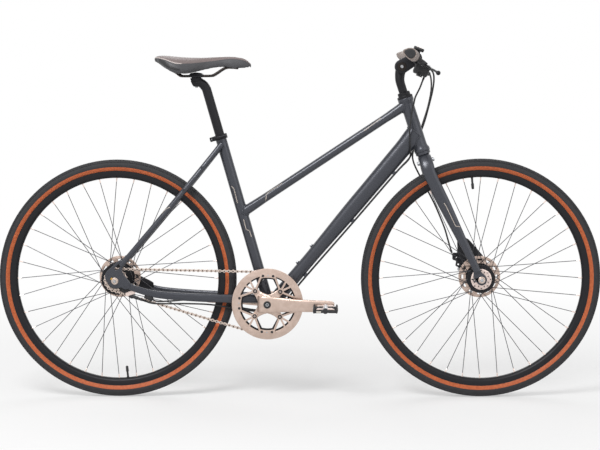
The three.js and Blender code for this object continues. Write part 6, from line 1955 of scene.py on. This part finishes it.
disc = turned("disc", [(0, 0), (0, 8.4), (0.5, 9), (3.5, 9), (4, 8.4), (4, 0)], paddle_at,
              pod_down, 36)
reach = soft_box("reach", paddle_at - 23 * mm * SIDE - 3.7 * mm * pod_ahead + 2 * mm * pod_down,
                 SIDE, pod_ahead, 23, 5.5, 2, 0.6, 0.8)
give(join_all("thumb_paddle", [disc, reach]), nylon, "shift_paddle", "dark_plastic",
     "shift_paddle")
print("shifter with a window and a thumb paddle")

# %% [markdown]
# A city pedal is a cage of moulded nylon round a metal barrel. Two toothed rails run along the
# front and the back, end plates tie them together, and each rail carries a clear reflector.
# One pedal is modelled at its own axis, in the body that spins, and the other is its mirror.

# %% Pedals
pedal_inner = 79.6
pedal_outer = 173.6
pedal_middle = (pedal_inner + pedal_outer) / 2
rail_at = 32.5
tooth_count = 7
tooth_row = 86
tooth_height = 3.1
pedal_barrel = [(83, 6.4), (83, 8.2), (84, 8.8), (100, 8.4), (150, 8.4), (168, 8.8),
                (169, 8.2), (169, 0), (165, 0), (165, 6.4)]
pedal_cap = [(169, 0), (169, 7.4), (171.5, 7.2), (173, 5.8), (173.4, 0)]
step_outline = [(-27, 1.5), (-22, 6.4), (-9, 5.4), (0, 8.4), (9, 5.6), (18, 7.2), (28, 1.5),
                (14, 2.2), (-14, 2.2)]

prism, shader, place = new_material("reflector_acrylic", "#d9d4cb", 0.14)
facets = pattern(prism, "Voronoi", place, 2.0, distance="CHEBYCHEV")
bump(prism, shader, facets, "Distance", 0.8, 0.8)
mottle(prism, shader, place, 3, "#cfcac0", "#e2ddd4")


def pedal_end(y):
    """The end plate: a bar with a round swelling where the barrel passes."""
    bar = ([(-34, -6.5), (-13, -6.2)] + arc(8.6, 222, 318, 8) + [(13, -6.2), (34, -6.5),
           (34, 1.5), (15, 0.5)] + arc(7.2, 20, 160, 8) + [(-15, 0.5), (-34, 1.5)])
    return plate("pedal_end", [bar], Vector(), y - 2.4, y + 2.4, 0.9)


cage = [pedal_end(pedal_outer - 3.4), pedal_end(pedal_inner + 3.4)]
for way in (-1, 1):
    centre = Vector((way * rail_at, pedal_middle, 0)) * mm
    cage.append(soft_box("rail", centre, SIDE, heading(0), 46.8, 2.9, 6.2, 0.35, 0.94))
    for level in (-1, 1):
        for i in range(tooth_count):
            along = ((i + 0.5) / tooth_count - 0.5) * tooth_row
            foot = centre + along * mm * SIDE + level * 5.4 * mm * UP
            cage.append(rod_between("tooth", foot, foot + level * tooth_height * mm * UP, 1.8,
                                    ends=[(0, 2.1), (0.6, 1.7), (1, 0.9)]))
for y in (102, 126.6, 151):
    centre = Vector((0, y, 0)) * mm
    cage.append(soft_box("web", centre, heading(0), SIDE, 30.5, 3.2, 3.6, 0.5, 0.9))
cage = join_all("pedal_cage", cage)
barrel = turned("pedal_barrel", pedal_barrel, Vector(), steps=48)
cap = turned("pedal_cap", pedal_cap, Vector(), steps=40)
lenses = []
for way in (-1, 1):
    centre = Vector((way * (rail_at + 2.2), pedal_middle, 0)) * mm
    lenses.append(soft_box("lens", centre, SIDE, heading(0), 27, 1.7, 5.2, 0.4, 0.95))
lenses.append(soft_box("lens", Vector((-19, pedal_outer - 1.2, -2.8)) * mm, heading(0), SIDE,
                       6.5, 0.9, 2.4, 0.4, 0.95))
lens = join_all("pedal_reflector", lenses)
shell = join_all("pedal_step", [plate("shell", [smooth_outline(step_outline)], Vector(), y - 4,
                                      y + 4, 0.5) for y in (93, 160)])
for side, name in both_sides:
    axis = bracket + crank_length * mm * crank_way(side)
    shift = Matrix.Translation(axis) @ Matrix.Scale(side, 4, SIDE)
    sets = ((cage, nylon, "dark_plastic", (f"pedal_{name}",)), (barrel, zinc, "silver", ()),
            (cap, nylon, "dark_plastic", ()), (lens, prism, "pale_alloy", ()),
            (shell, turned_alloy, "silver", ()))
    for part, finish, slot, nodes in sets:
        copy = part.copy()
        copy.data = part.data.copy()
        bpy.context.scene.collection.objects.link(copy)
        made = copies(f"{part.name}_{name}", copy, [shift])
        give(made, finish, f"pedal_{name}", slot, *nodes)
for part in (cage, barrel, cap, lens, shell):
    bpy.data.objects.remove(part)
print("two pedals with", tooth_count, "teeth on each rail edge")

# %% [markdown]
# The seat post is a plain anodised tube that leans back at its head into a cradle, with fine
# rings that mark its height. A toothed barrel turns in the cradle, so that the saddle's tilt
# can't slip, and the clamp's lid grips the two rails. The teeth are an outline, extruded.

# %% Seat post and clamp
saddle_axis = joint_place("saddle_tilt")
post_size = 27.2
post_knots = [(*on_seat_tube(height), size, size) for height, size in (
    (405, post_size), (500, post_size), (595, post_size), (645, post_size), (652, 26), (657, 20))]
neck_knots = [(*on_seat_tube(height, ahead), width, depth) for height, ahead, width, depth in (
    (638, 0, 25, 25), (653, -1, 27, 27), (665, -6, 28, 27), (674, -14, 28, 25),
    (680, -21, 28, 21), (684, -26, 26, 16))]
post = tube_through("post", post_knots, 80, up_hint=seat_ahead, sides=40)
cradle_outline = arc(17.2, 188, 352, 24) + arc(13.4, 352, 188, 24)
cradle = plate("cradle", [cradle_outline], saddle_axis, -14, 14, 0.5)
neck = tube_through("neck", neck_knots, 24, up_hint=seat_ahead, sides=32, power=0.8)
foot = plate("foot", [smooth_outline([(-17, -8), (17, -8), (13, -22), (8, -27), (-7, -27),
                                      (-12, -20)])], saddle_axis, -12.5, 12.5, 1.2)
post = join_all("seat_post_tube", [post, cradle, neck, foot])
give(post, black_alloy, "seatpost", "black_alloy", "seatpost")
mark_count = 8
for number in range(mark_count):
    ring = turned(f"height_mark_{number}", sleeve(-0.25, 0.25, 13.4, 13.68),
                  on_seat_tube(520 + 10 * number), seat_up, 48)
    give(ring, black_alloy, "seatpost", "black_alloy")

tooth_total = 60
barrel_outline = []
for i in range(2 * tooth_total):
    radius = 13 if i % 2 else 12.4
    turn = math.pi * i / tooth_total
    barrel_outline.append((radius * math.cos(turn), radius * math.sin(turn)))
barrel = plate("barrel", [barrel_outline], saddle_axis, -14, 14, 0.3)
rail_low = 4.3
block = soft_box("block", saddle_axis + rail_low * mm * UP, heading(0), SIDE, 17, 27.5, 4.6, 0.4)
lid = plate("lid", [smooth_outline([(-21, 4), (-16, 12), (0, 15), (17, 12), (22, 4), (16, 0),
                                    (-16, 0)])], saddle_axis, -27, 27, 2)
clamp = join_all("saddle_clamp_halves", [barrel, block, lid])
give(clamp, black_alloy, "saddle", "black_alloy", "saddle_clamp")
bolt_profile = [(-30, 0), (-30, 3.4), (-29.4, 4), (-25, 4), (-25, 2.4), (3, 2.4), (3, 0)]
give(turned("clamp_bolt", bolt_profile, saddle_axis, UP, 24), zinc, "saddle", "silver")
print("seat post with a toothed cradle")

# %% [markdown]
# The collar pinches the upper end of the frame on the post. It has two lugs behind, and a bolt
# with a quick release lever draws them together.

# %% Seat clamp collar and lever
collar_height = 504
lug_reach = -24
band = turned("band", sleeve(-7, 7, 16.3, 20.3, 0.7), on_seat_tube(collar_height), seat_up, 64)
lugs = [soft_box("lug", on_seat_tube(collar_height, lug_reach, side * 5.2), seat_ahead, SIDE,
                 7.4, 3.9, 6.6, 0.4) for side in (-1, 1)]
give(join_all("seat_collar_band", [band, *lugs]), black_alloy, "frame", "black_alloy",
     "seat_clamp_collar")
bolt_at = on_seat_tube(collar_height, lug_reach)
bolt_piece = rod_between("collar_bolt", bolt_at - 9.4 * mm * SIDE, bolt_at + 13 * mm * SIDE, 3,
                         sides=24, ends=[(0, 2.6), (0.7, 2.6), (0.72, 5), (0.98, 5), (1, 4.2)])
give(bolt_piece, zinc, "frame", "silver")
lever_pivot = joint_place("seat_clamp_lever_open")
lever_out = -25.5 * mm
lever_length = 40
lever_knots = []
for share, y in ((0, lever_pivot.y), (0.12, (lever_pivot.y + lever_out) / 2), (0.32, lever_out),
                 (0.65, lever_out), (1, lever_out)):
    place = lever_pivot + share * lever_length * mm * seat_ahead + (y - lever_pivot.y) * SIDE
    lever_knots.append((*place, 4.5, 9 - 2.5 * share))
lever = tube_through("lever", lever_knots, 40, up_hint=seat_up, sides=24, power=0.7)
hub = turned("hub", sleeve(-4.5, 4.5, 0, 4.5, 0.3), lever_pivot, seat_up, 32)
give(join_all("quick_release_lever", [lever, hub]), black_alloy, "seat_clamp_lever",
     "black_alloy", "seat_clamp_lever")
print("collar and lever")

# %% [markdown]
# The saddle's rails are one steel rod, bent from the tail's two sockets through the clamp to a
# loop under the nose. Its shell is a thin moulding that carries the foam, and reads as the dark
# edge below the cover.

# %% Rails and shell
saddle_length = 282
saddle_half = 81
saddle_depth = 30
axis_x, axis_z = saddle_axis.x / mm, saddle_axis.z / mm
saddle_tail = axis_x - 120
saddle_top = axis_z + 64
rail_z = axis_z + rail_low
rail_size = 7.4
rail_half = [
    (saddle_tail + 0.16 * saddle_length, 33, saddle_top - 40.5), (axis_x - 57, 27, rail_z + 10),
    (axis_x - 45, 24, rail_z + 1), (axis_x - 32, 22.3, rail_z - 0.5), (axis_x, 22, rail_z),
    (axis_x + 40, 22, rail_z), (axis_x + 54, 20, rail_z + 3.5), (axis_x + 84, 14, rail_z + 22),
    (saddle_tail + 0.8 * saddle_length, 9.9, saddle_top - 36),
]
rail_nose = (saddle_tail + 0.85 * saddle_length, 0, saddle_top - 37.5)
rail_path = [*rail_half, rail_nose, *[(x, -y, z) for x, y, z in reversed(rail_half)]]
rail_knots = [(*(Vector(place) * mm), rail_size, rail_size) for place in rail_path]
rails = tube_through("saddle_rail_rod", rail_knots, 130, sides=20)
give(rails, dark_steel, "saddle", "dark_plastic", "saddle_rails")

saddle_shares = [
    (0, 0.36, 0.1, 0.5), (0.05, 0.62, 0.0, 0.75), (0.14, 0.93, 0.06, 1.3), (0.25, 1, 0.16, 1.72),
    (0.38, 0.82, 0.24, 1.62), (0.52, 0.5, 0.26, 1.3), (0.68, 0.31, 0.18, 1.1),
    (0.82, 0.26, 0.14, 1.22), (0.93, 0.21, 0.3, 1.2), (1, 0.1, 0.85, 1.16),
]


def saddle_station(t):
    """Half width, top and lower edge at a share of the saddle's length, on a smooth curve."""
    knots = [np.array(s) for s in saddle_shares]
    ends = [2 * knots[0] - knots[1], *knots, 2 * knots[-1] - knots[-2]]
    index = max(i for i in range(len(knots) - 1) if knots[i][0] <= t or i == 0)
    a, b, c, d = ends[index:index + 4]
    u = (t - b[0]) / (c[0] - b[0])
    first = (c - a) / (c[0] - a[0]) * (c[0] - b[0])
    last = (d - b) / (d[0] - b[0]) * (c[0] - b[0])
    value = ((2 * u ** 3 - 3 * u ** 2 + 1) * b + (u ** 3 - 2 * u ** 2 + u) * first
             + (3 * u ** 2 - 2 * u ** 3) * c + (u ** 3 - u ** 2) * last)
    return value[1] * saddle_half, value[2] * saddle_depth, value[3] * saddle_depth


def saddle_place(t, across, drop, grow):
    half, top, low = saddle_station(t)
    return Vector((saddle_tail + t * saddle_length, across * (half + grow),
                   saddle_top - (top + (low - top) * drop))) * mm


shell_line = [(0.2, 0.58), (0.5, 0.68), (0.76, 0.88), (0.86, 1.0), (0.76, 1.0), (0.5, 0.82),
              (0.2, 0.7)][::-1]
shell_steps = 45
shell_rings = []
for i in range(shell_steps + 1):
    t = 0.05 + 0.88 * i / shell_steps
    right = [saddle_place(t, a, d, -0.6) - 0.4 * mm * UP for a, d in shell_line]
    left = [Vector((p.x, -p.y, p.z)) for p in reversed(right)]
    shell_rings.append(right + left)
shell = swept("saddle_base_shell", shell_rings, smooth_angle=50)
give(shell, nylon, "saddle", "dark_plastic", "saddle_shell")
print("rails and shell under the saddle")

# %% [markdown]
# The saddle's cover is synthetic leather over foam. It is lofted from crowned sections, then
# filled like a cushion: the mesh is made even, a short cloth simulation with inner pressure
# swells it, and a limit keeps each point within two millimetres of its start. Its panels are
# told apart by two numbers stored on each point: how far it lies above the seam, and how far
# inside the dark insert near the tail.

# %% Saddle cover
crown_line = [
    (0.0, 0.1), (0.14, 0.08), (0.34, 0.03), (0.5, 0.05), (0.64, 0.1), (0.76, 0.18), (0.84, 0.27),
    (0.91, 0.4), (0.96, 0.54), (0.99, 0.68), (1, 0.82), (0.99, 0.94), (0.95, 1.03), (0.88, 1.06),
    (0.78, 0.97), (0.66, 0.8), (0.45, 0.6), (0.2, 0.54), (0, 0.53),
]
swell_limit = 2.0
swell_frames = 12
mesh_size = 3.6
cover_rings = []
cover_steps = 64
for i in range(cover_steps + 1):
    t = i / cover_steps
    right = [saddle_place(t, a, d, -1.0) for a, d in crown_line]
    left = [Vector((p.x, -p.y, p.z)) for p in reversed(right[1:-1])]
    cover_rings.append(right + left)
cover = swept("saddle_cover_skin", cover_rings, smooth_angle=60)
pick(cover)
even = cover.modifiers.new("even_mesh", "REMESH")
even.mode = "VOXEL"
even.voxel_size = mesh_size * mm
bpy.ops.object.modifier_apply(modifier=even.name)
starts = [vertex.co.copy() for vertex in cover.data.vertices]
cloth = cover.modifiers.new("inner_pressure", "CLOTH")
cloth.settings.use_pressure = True
cloth.settings.uniform_pressure_force = 4.0
cloth.settings.effector_weights.gravity = 0.0
cloth.settings.quality = 4
cloth.settings.mass = 0.3
cloth.collision_settings.use_collision = False
for step in range(1, swell_frames + 1):
    bpy.context.scene.frame_set(step)
bpy.ops.object.modifier_apply(modifier=cloth.name)
for vertex, start in zip(cover.data.vertices, starts):
    move = vertex.co - start
    if move.length > swell_limit * mm:
        vertex.co = start + move.normalized() * swell_limit * mm
bpy.context.scene.frame_set(1)
fine = cover.modifiers.new("fine_skin", "SUBSURF")
fine.levels = 1
fine.render_levels = 1
bpy.ops.object.modifier_apply(modifier=fine.name)
bpy.ops.object.shade_smooth()

insert_back, insert_front = 0.055, 0.285
insert_low = 0.84
insert_gap = 0.08
insert_slope = 1.2
tail_cap_front = 0.035
seam_table = [(0, 0.32), (0.1, 0.3), (0.25, 0.4), (0.43, 0.4), (0.6, 0.36), (0.8, 0.2), (1, 0.3)]
seam_height = cover.data.attributes.new("seam_height", "FLOAT", "POINT")
insert_depth = cover.data.attributes.new("insert_depth", "FLOAT", "POINT")
for vertex in cover.data.vertices:
    t = min(max((vertex.co.x / mm - saddle_tail) / saddle_length, 0.0), 1.0)
    _, top, low = saddle_station(t)
    drop = (saddle_top - vertex.co.z / mm - top) / (low - top)
    seam = sized(seam_table, t)
    seam_height.data[vertex.index].value = (seam - drop) * (low - top)
    low_side = (insert_low - drop) * (low - top)
    slope = insert_slope * max(t - 0.06, 0)
    high_side = (drop - seam - insert_gap - slope) * (low - top)
    ends = min(t - insert_back, insert_front - t) * saddle_length
    tail_cap = (tail_cap_front - t) * saddle_length
    insert_depth.data[vertex.index].value = max(min(low_side, high_side, ends), tail_cap)
give(cover, saddle_skin, "saddle", "saddle_skin", "saddle_cover")
print("saddle cover with", len(cover.data.polygons), "faces")

# %% [markdown]
# A roller brake sits on the left of each hub. Its drum and its slotted cooling disc turn with
# the wheel. Its round black cover stands still, and a plate takes the force of braking to the
# fork or to the chainstay. All of these are turned profiles and plates cut from one outline.

# %% Roller brakes
bore = 5.4
disc_radius = 61.5
disc_thickness = 2.6
slot_count = 12
slot_half = 6.6
slot_holes = []
for number in range(slot_count):
    first, last = [360 / slot_count * number + shift for shift in (-slot_half, slot_half)]
    slot_holes.append(arc(52.6, first, last, 7) + arc(47.4, last, first, 7))
axle_hole = circle(bore, 24)
brakes = {
    "front": {
        "centre": front_axle, "body": "steering", "drum": (25.9, 33), "face": 36,
        "cover": (38.9, 49.7), "lever": (160, 62), "stop": (139.5, 96),
        "holes": [circle(4.6, 20, -70, 59), circle(2.6, 16, -62, 36), axle_hole],
        "plate": [(29, -8), (27, 24), (14, 58), (-10, 86), (-33, 112), (-50, 117), (-66, 108),
                  (-64, 70), (-79, 71), (-80, 50), (-68, 46), (-71, 32), (-60, 26), (-46, 24),
                  (-30, -4), (-14, -26), (16, -24)],
    },
    "rear": {
        "centre": rear_axle, "body": "frame", "drum": (33.4, 38), "face": 46,
        "cover": (48.9, 67.2), "lever": (-62, 60), "stop": (-36, 102), "holes": [axle_hole],
        "plate": [(26, -14), (60, -38), (78, -52), (86, -54), (84, -44), (76, -39), (96, -37),
                  (100, -20), (90, -13), (50, 6), (26, 18), (0, 28), (-24, 16), (-28, -8),
                  (-12, -26), (12, -26)],
    },
}
stop_half = 7
stop_shape = [(0, 3.6), (0.08, 4.2), (0.5, 4.2), (0.52, 4.8), (1, 4.8)]
for end, brake in brakes.items():
    centre, face = brake["centre"], brake["face"]
    disc = plate("disc", [circle(disc_radius, 96), axle_hole, *slot_holes], centre, face,
                 face + disc_thickness, 0.4)
    start, radius = brake["drum"]
    drum = turned("drum", [(start, bore), (start, radius - 1), (start + 1, radius),
                           (face, radius), (face, bore)], centre)
    give(join_all(f"{end}_cooling_disc", [disc, drum]), champagne, f"{end}_wheel", "champagne",
         f"{end}_brake_disc")
    low, high = brake["cover"]
    cover = turned("cover", [(low + 2.5, bore), (low + 2.5, 30), (high - 5, 30), (high - 3.6, 28),
                             (high - 3.6, 12), (high - 4.6, 11), (high - 4.6, bore)], centre)
    arm = plate("arm", [smooth_outline(brake["plate"]), *brake["holes"]], centre, low, low + 3,
                0.6)
    turn, reach = brake["stop"]
    along = heading(turn) * stop_half * mm
    stop_at = centre + heading(turn) * reach * mm + (low + 1.5) * mm * SIDE
    stop = rod_between("stop", stop_at - along, stop_at + along, 4.6, sides=20, ends=stop_shape)
    give(join_all(f"{end}_brake_cover", [cover, arm, stop]), black_alloy, brake["body"],
         "black_alloy", f"{end}_brake_unit")
    turn, reach = brake["lever"]
    lever = plate("lever", [arm_outline(turn, reach, 11, 6), axle_hole], centre, high - 3, high,
                  0.5)
    give(lever, zinc, f"{end}_brake_arm", "silver", f"{end}_brake_arm")
    pinch_profile = [(high - 4.6, 0), (high - 4.6, 4.4), (high - 3, 4.4), (high - 3, 2.5),
                     (high, 2.5), (high, 4.4), (high + 2.6, 4.2), (high + 2.6, 0)]
    pinch = turned(f"{end}_cable_pinch", pinch_profile, centre + heading(turn) * reach * mm,
                   steps=6, smooth_angle=20)
    give(pinch, zinc, f"{end}_brake_arm", "silver")
print("two roller brakes with", len(slot_holes), "slots in each disc")

# %% [markdown]
# The axles are steel with a nut at each end, over a washer that bites into the dropout. A nut
# is a turned profile with six sides. The rear right one clamps a yellow washer whose tab keeps
# the gear hub's axle from turning.

# %% Axles and nuts
yellow_plate = patchy("yellow_zinc_steel", "#b58a2c", 0.35, 0.8, 3, ("#9c7420", "#cfa545"),
                      (0.28, 0.45))[0]


rod_shape = [(0, 3.4), (0.012, 4.9), (0.988, 4.9), (1, 3.4)]
nut_shape = [(0, 5.2), (0, 8.2), (0.5, 8.6), (7.6, 8.6), (8.5, 7.4), (8.5, 5.2)]
washer_shape = [(0, 5.2), (0, 10.2), (1.2, 10), (1.6, 9.4), (1.6, 5.2)]
washer_sink = 0.2


def facing(shape, start, side):
    """An outline moved to a start across the bicycle, and turned to face one side."""
    return [(start + side * y, radius) for y, radius in shape]


for end, centre, start, tip, body, collar in (
        ("front", front_axle, 56.6, 66.7, "steering", (-50, -43.4)),
        ("rear", rear_axle, 74.1, 84.2, "frame", (-67.5, -62.6))):
    rod = rod_between("rod", centre - tip * mm * SIDE, centre + tip * mm * SIDE, 5, sides=28,
                      ends=rod_shape)
    left_nut = turned("nut", facing(nut_shape, start, 1), centre, steps=6, smooth_angle=20)
    seat = turned("seat", sleeve(*collar, 0, 9), centre, steps=32)
    give(join_all(f"{end}_axle_rod", [rod, left_nut, seat]), zinc, body, "silver",
         f"{end}_axle")
    right_nut = turned(f"{end}_nut_turned", facing(nut_shape, -start, -1), centre, steps=6,
                       smooth_angle=20)
    give(right_nut, nickel, body, "silver", f"{end}_axle_nut_right")
    for side, name in both_sides:
        profile = facing(washer_shape, side * (start - washer_sink), side)
        washer = turned(f"{end}_washer_{name}", profile, centre, steps=40, smooth_angle=30)
        give(washer, nickel, body, "silver")
tab = plate("turn_stop_washer", [smooth_outline([(-14, 4), (-11, 10), (-5, 9), (0, 0)])],
            rear_axle, -75.0, -74.0, 0.3)
give(tab, yellow_plate, "frame", "silver")
print("axles, nuts and washers")

# %% [markdown]
# The gear hub is shifted by a flat joint on the chain side. The cable pulls a grooved pulley
# round inside it, and enters through an arm that points forward under the chainstay.

# %% Gear changing joint
joint_turn = -44
joint_reach = 66
joint_low, joint_high = -62.1, -56.1
fitting_way = heading(-20)
fitting_shape = [(0, 4.4), (0.15, 4.8), (0.6, 4.8), (0.62, 4), (0.9, 4), (1, 3.4)]
pulley_profile = [(-50.3, bore), (-50.3, 25), (-51, 25), (-53, 22.9), (-55.1, 25), (-55.8, 25),
                  (-55.8, bore)]
pulley = turned("gear_pulley", pulley_profile, rear_axle)
give(pulley, nylon, "cassette_pulley", "dark_plastic", "cassette_pulley")
ring = turned("ring", [(joint_high, bore), (joint_high, 22), (-61, 22), (joint_low, 20.4),
                       (joint_low, 14), (-61.4, 13), (-61.4, bore)], rear_axle)
arm = plate("arm", [arm_outline(joint_turn, joint_reach, 13.2, 7), axle_hole], rear_axle,
            joint_low, joint_high, 0.7)
joint_tip = (rear_axle + heading(joint_turn) * joint_reach * mm
             + (joint_low + joint_high) / 2 * mm * SIDE)
fitting = rod_between("fitting", joint_tip - fitting_way * 7 * mm,
                      joint_tip + fitting_way * 34 * mm, 5, sides=20, ends=fitting_shape)
give(join_all("gear_joint", [ring, arm, fitting]), nylon, "frame", "dark_plastic",
     "cassette_joint")
link_piece = soft_box("gear_joint_link", joint_tip - 3 * mm * SIDE + Vector((-4, 0, 9)) * mm,
                      heading(20), SIDE, 14, 1.6, 6, 0.6)
give(link_piece, turned_alloy, "frame", "silver")
holder = soft_box("casing_holder", rear_axle + Vector((96, -56, -51)) * mm, heading(-25), SIDE,
                  13, 5, 6.5, 0.6)
give(holder, nylon, "frame", "dark_plastic")
print("gear joint on the chain side")

# %% [markdown]
# Three cables leave the handlebar. Each is a steel wire in a plastic casing five millimetres
# thick. Two loop to the down tube, pass its three clips and run on under a chainstay. The third
# follows the fork to the front brake. All are held along their way, so their routes are fixed.

# %% Cables
neck = ("frame", "steering", (0.33, 0, 0.735), (0.36, 0, 0.838))
crook = ("steering", "stem", (0.36, 0, 0.842), (0.39, 0, 0.94))
casing_radius = 2.5
steps_per_place = 6
sleeve_length = 9
sleeve_shape = [(0, 2.9), (0.9, 3.1), (1, 2.7)]


def casing_runs(name, places, node, foot_body, runs):
    """A cable through its places, in runs of (first place, last place, where it flexes); where it
    flexes is not used.
    """
    steps = steps_per_place * (len(places) - 1)
    line = [Vector(point) for point in smooth_line(places, steps)]
    across = SIDE.cross(line[1] - line[0]).normalized()
    rings = []
    for i, middle in enumerate(line):
        ahead = (line[min(i + 1, len(line) - 1)] - line[max(i - 1, 0)]).normalized()
        across = (across - across.dot(ahead) * ahead).normalized()
        rings.append(oval(middle, across, ahead.cross(across), casing_radius, casing_radius, 12))
    for number, (first, last, bodies) in enumerate(runs):
        part = slice(steps_per_place * first, steps_per_place * last + 1)
        run = swept(f"{name}_{number}", rings[part])
        run.data.materials.append(casing)
        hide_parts(node)
        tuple(bodies[2])
        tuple(bodies[3])
        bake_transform(run)
    for end_name, body, here, there in (("head", "stem", line[0], line[1]),
                                        ("foot", foot_body, line[-1], line[-2])):
        reach = sleeve_length * mm * (there - here).normalized()
        end_sleeve = rod_between(f"{name}_sleeve_{end_name}", here, here + reach, 3, sides=16,
                                 ends=sleeve_shape)
        give(end_sleeve, black_alloy, body, "black_alloy")


def metres(places):
    return [Vector(place) * mm for place in places]


def port_places(side):
    return [cable_port(side) + cable_way(side) * reach * mm for reach in (9.3, 17.3)]


def tube_run(side):
    entry = under_down_tube(0.89, 8, side * 7)
    shares = (*reversed(clip_shares), 0.08)
    return [entry, *[under_down_tube(share, 5.5, side * 7) for share in shares]]


shift_head = metres([(350, -84, 905), (339, -58, 880), (335, -42, 860), (331, -34, 840),
                     (324, -32, 785), (324, -29, 756), (326, -20, 727)])
brake_head = metres([(386, -114, 951), (390, -100, 930), (388, -70, 900), (383, -40, 871),
                     (377, -12, 842), (370, 12, 812), (362, 29, 786), (350, 34, 757),
                     (337, 25, 726)])
under_stay = [(-60, 9, 252), (-100, 11, 251), (-160, 17, 258), (-205, 26, 267),
              (-260, 40, 277), (-320, 47, 280.5)]
shift_rear = metres([(x, -y, z) for x, y, z in under_stay]
                    + [(-380, -51, 281), (-425, -57, 283)])
brake_rear = metres(under_stay + [(-380, 50, 276), (-425, 51, 275)])
pod_end = pod_at + 18 * mm * pod_down + 14.67 * mm * pod_ahead
shift_line = [pod_end + 0.3 * mm * pod_down, pod_end + 12 * mm * pod_down, *shift_head,
              *tube_run(-1), *shift_rear, joint_tip + fitting_way * 34.3 * mm]
brake_line = [*port_places(-1), *brake_head, *tube_run(1), *brake_rear,
              rear_axle + heading(-36) * 109.3 * mm + 50.4 * mm * SIDE]
front_line = [
    *port_places(1), *metres([(386, 114, 951), (392, 100, 930), (391, 84, 895), (381, 66, 850),
                              (365, 54, 800), (350, 48, 755)]),
    on_steerer(395, -32, 44), on_steerer(330, -27, 42), on_steerer(250, -13, 45),
    front_axle + Vector((-105, 46, 150)) * mm, front_axle + Vector((-94, 42, 114)) * mm,
    front_axle + Vector((-86, 40.4, 86)) * mm, front_axle + Vector((-81, 40.4, 70)) * mm,
]
casing_runs("shift_casing", shift_line, "shift_cable", "frame",
            [(5, len(shift_line) - 1, neck), (0, 5, crook)])
casing_runs("rear_brake_casing", brake_line, "rear_brake_cable", "frame",
            [(6, len(brake_line) - 1, neck), (0, 6, crook)])
casing_runs("front_brake_casing", front_line, "front_brake_cable", "steering",
            [(0, len(front_line) - 1, crook)])
print("three cables")

# %% [markdown]
# A few bare pieces of the model are right as they are: the inner tubes and the bearing
# cartridge hardly show. They only take a finish.

# %% Bare pieces that stay
for name, finish in (("front_inner_tube", tyre_rubber), ("rear_inner_tube", tyre_rubber),
                     ("bottom_bracket_cartridge", zinc)):
    piece = bpy.data.objects[name]
    for material_slot in piece.material_slots:
        material_slot.material = finish
print("finished the pieces that stay")

# %% [markdown]
# The sizes of the bare bicycle and of the dressed one are put side by side in a table, and the
# dressed one is printed as the bare one was at the start, so that a piece that has grown past
# the real size shows at once.

# %% Sizes
low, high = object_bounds()
sizes = {"cad": [list(cad_low), list(cad_high)], "visual": [list(low), list(high)]}
print("dressed bicycle from", [round(v, 4) for v in low], "to", [round(v, 4) for v in high])
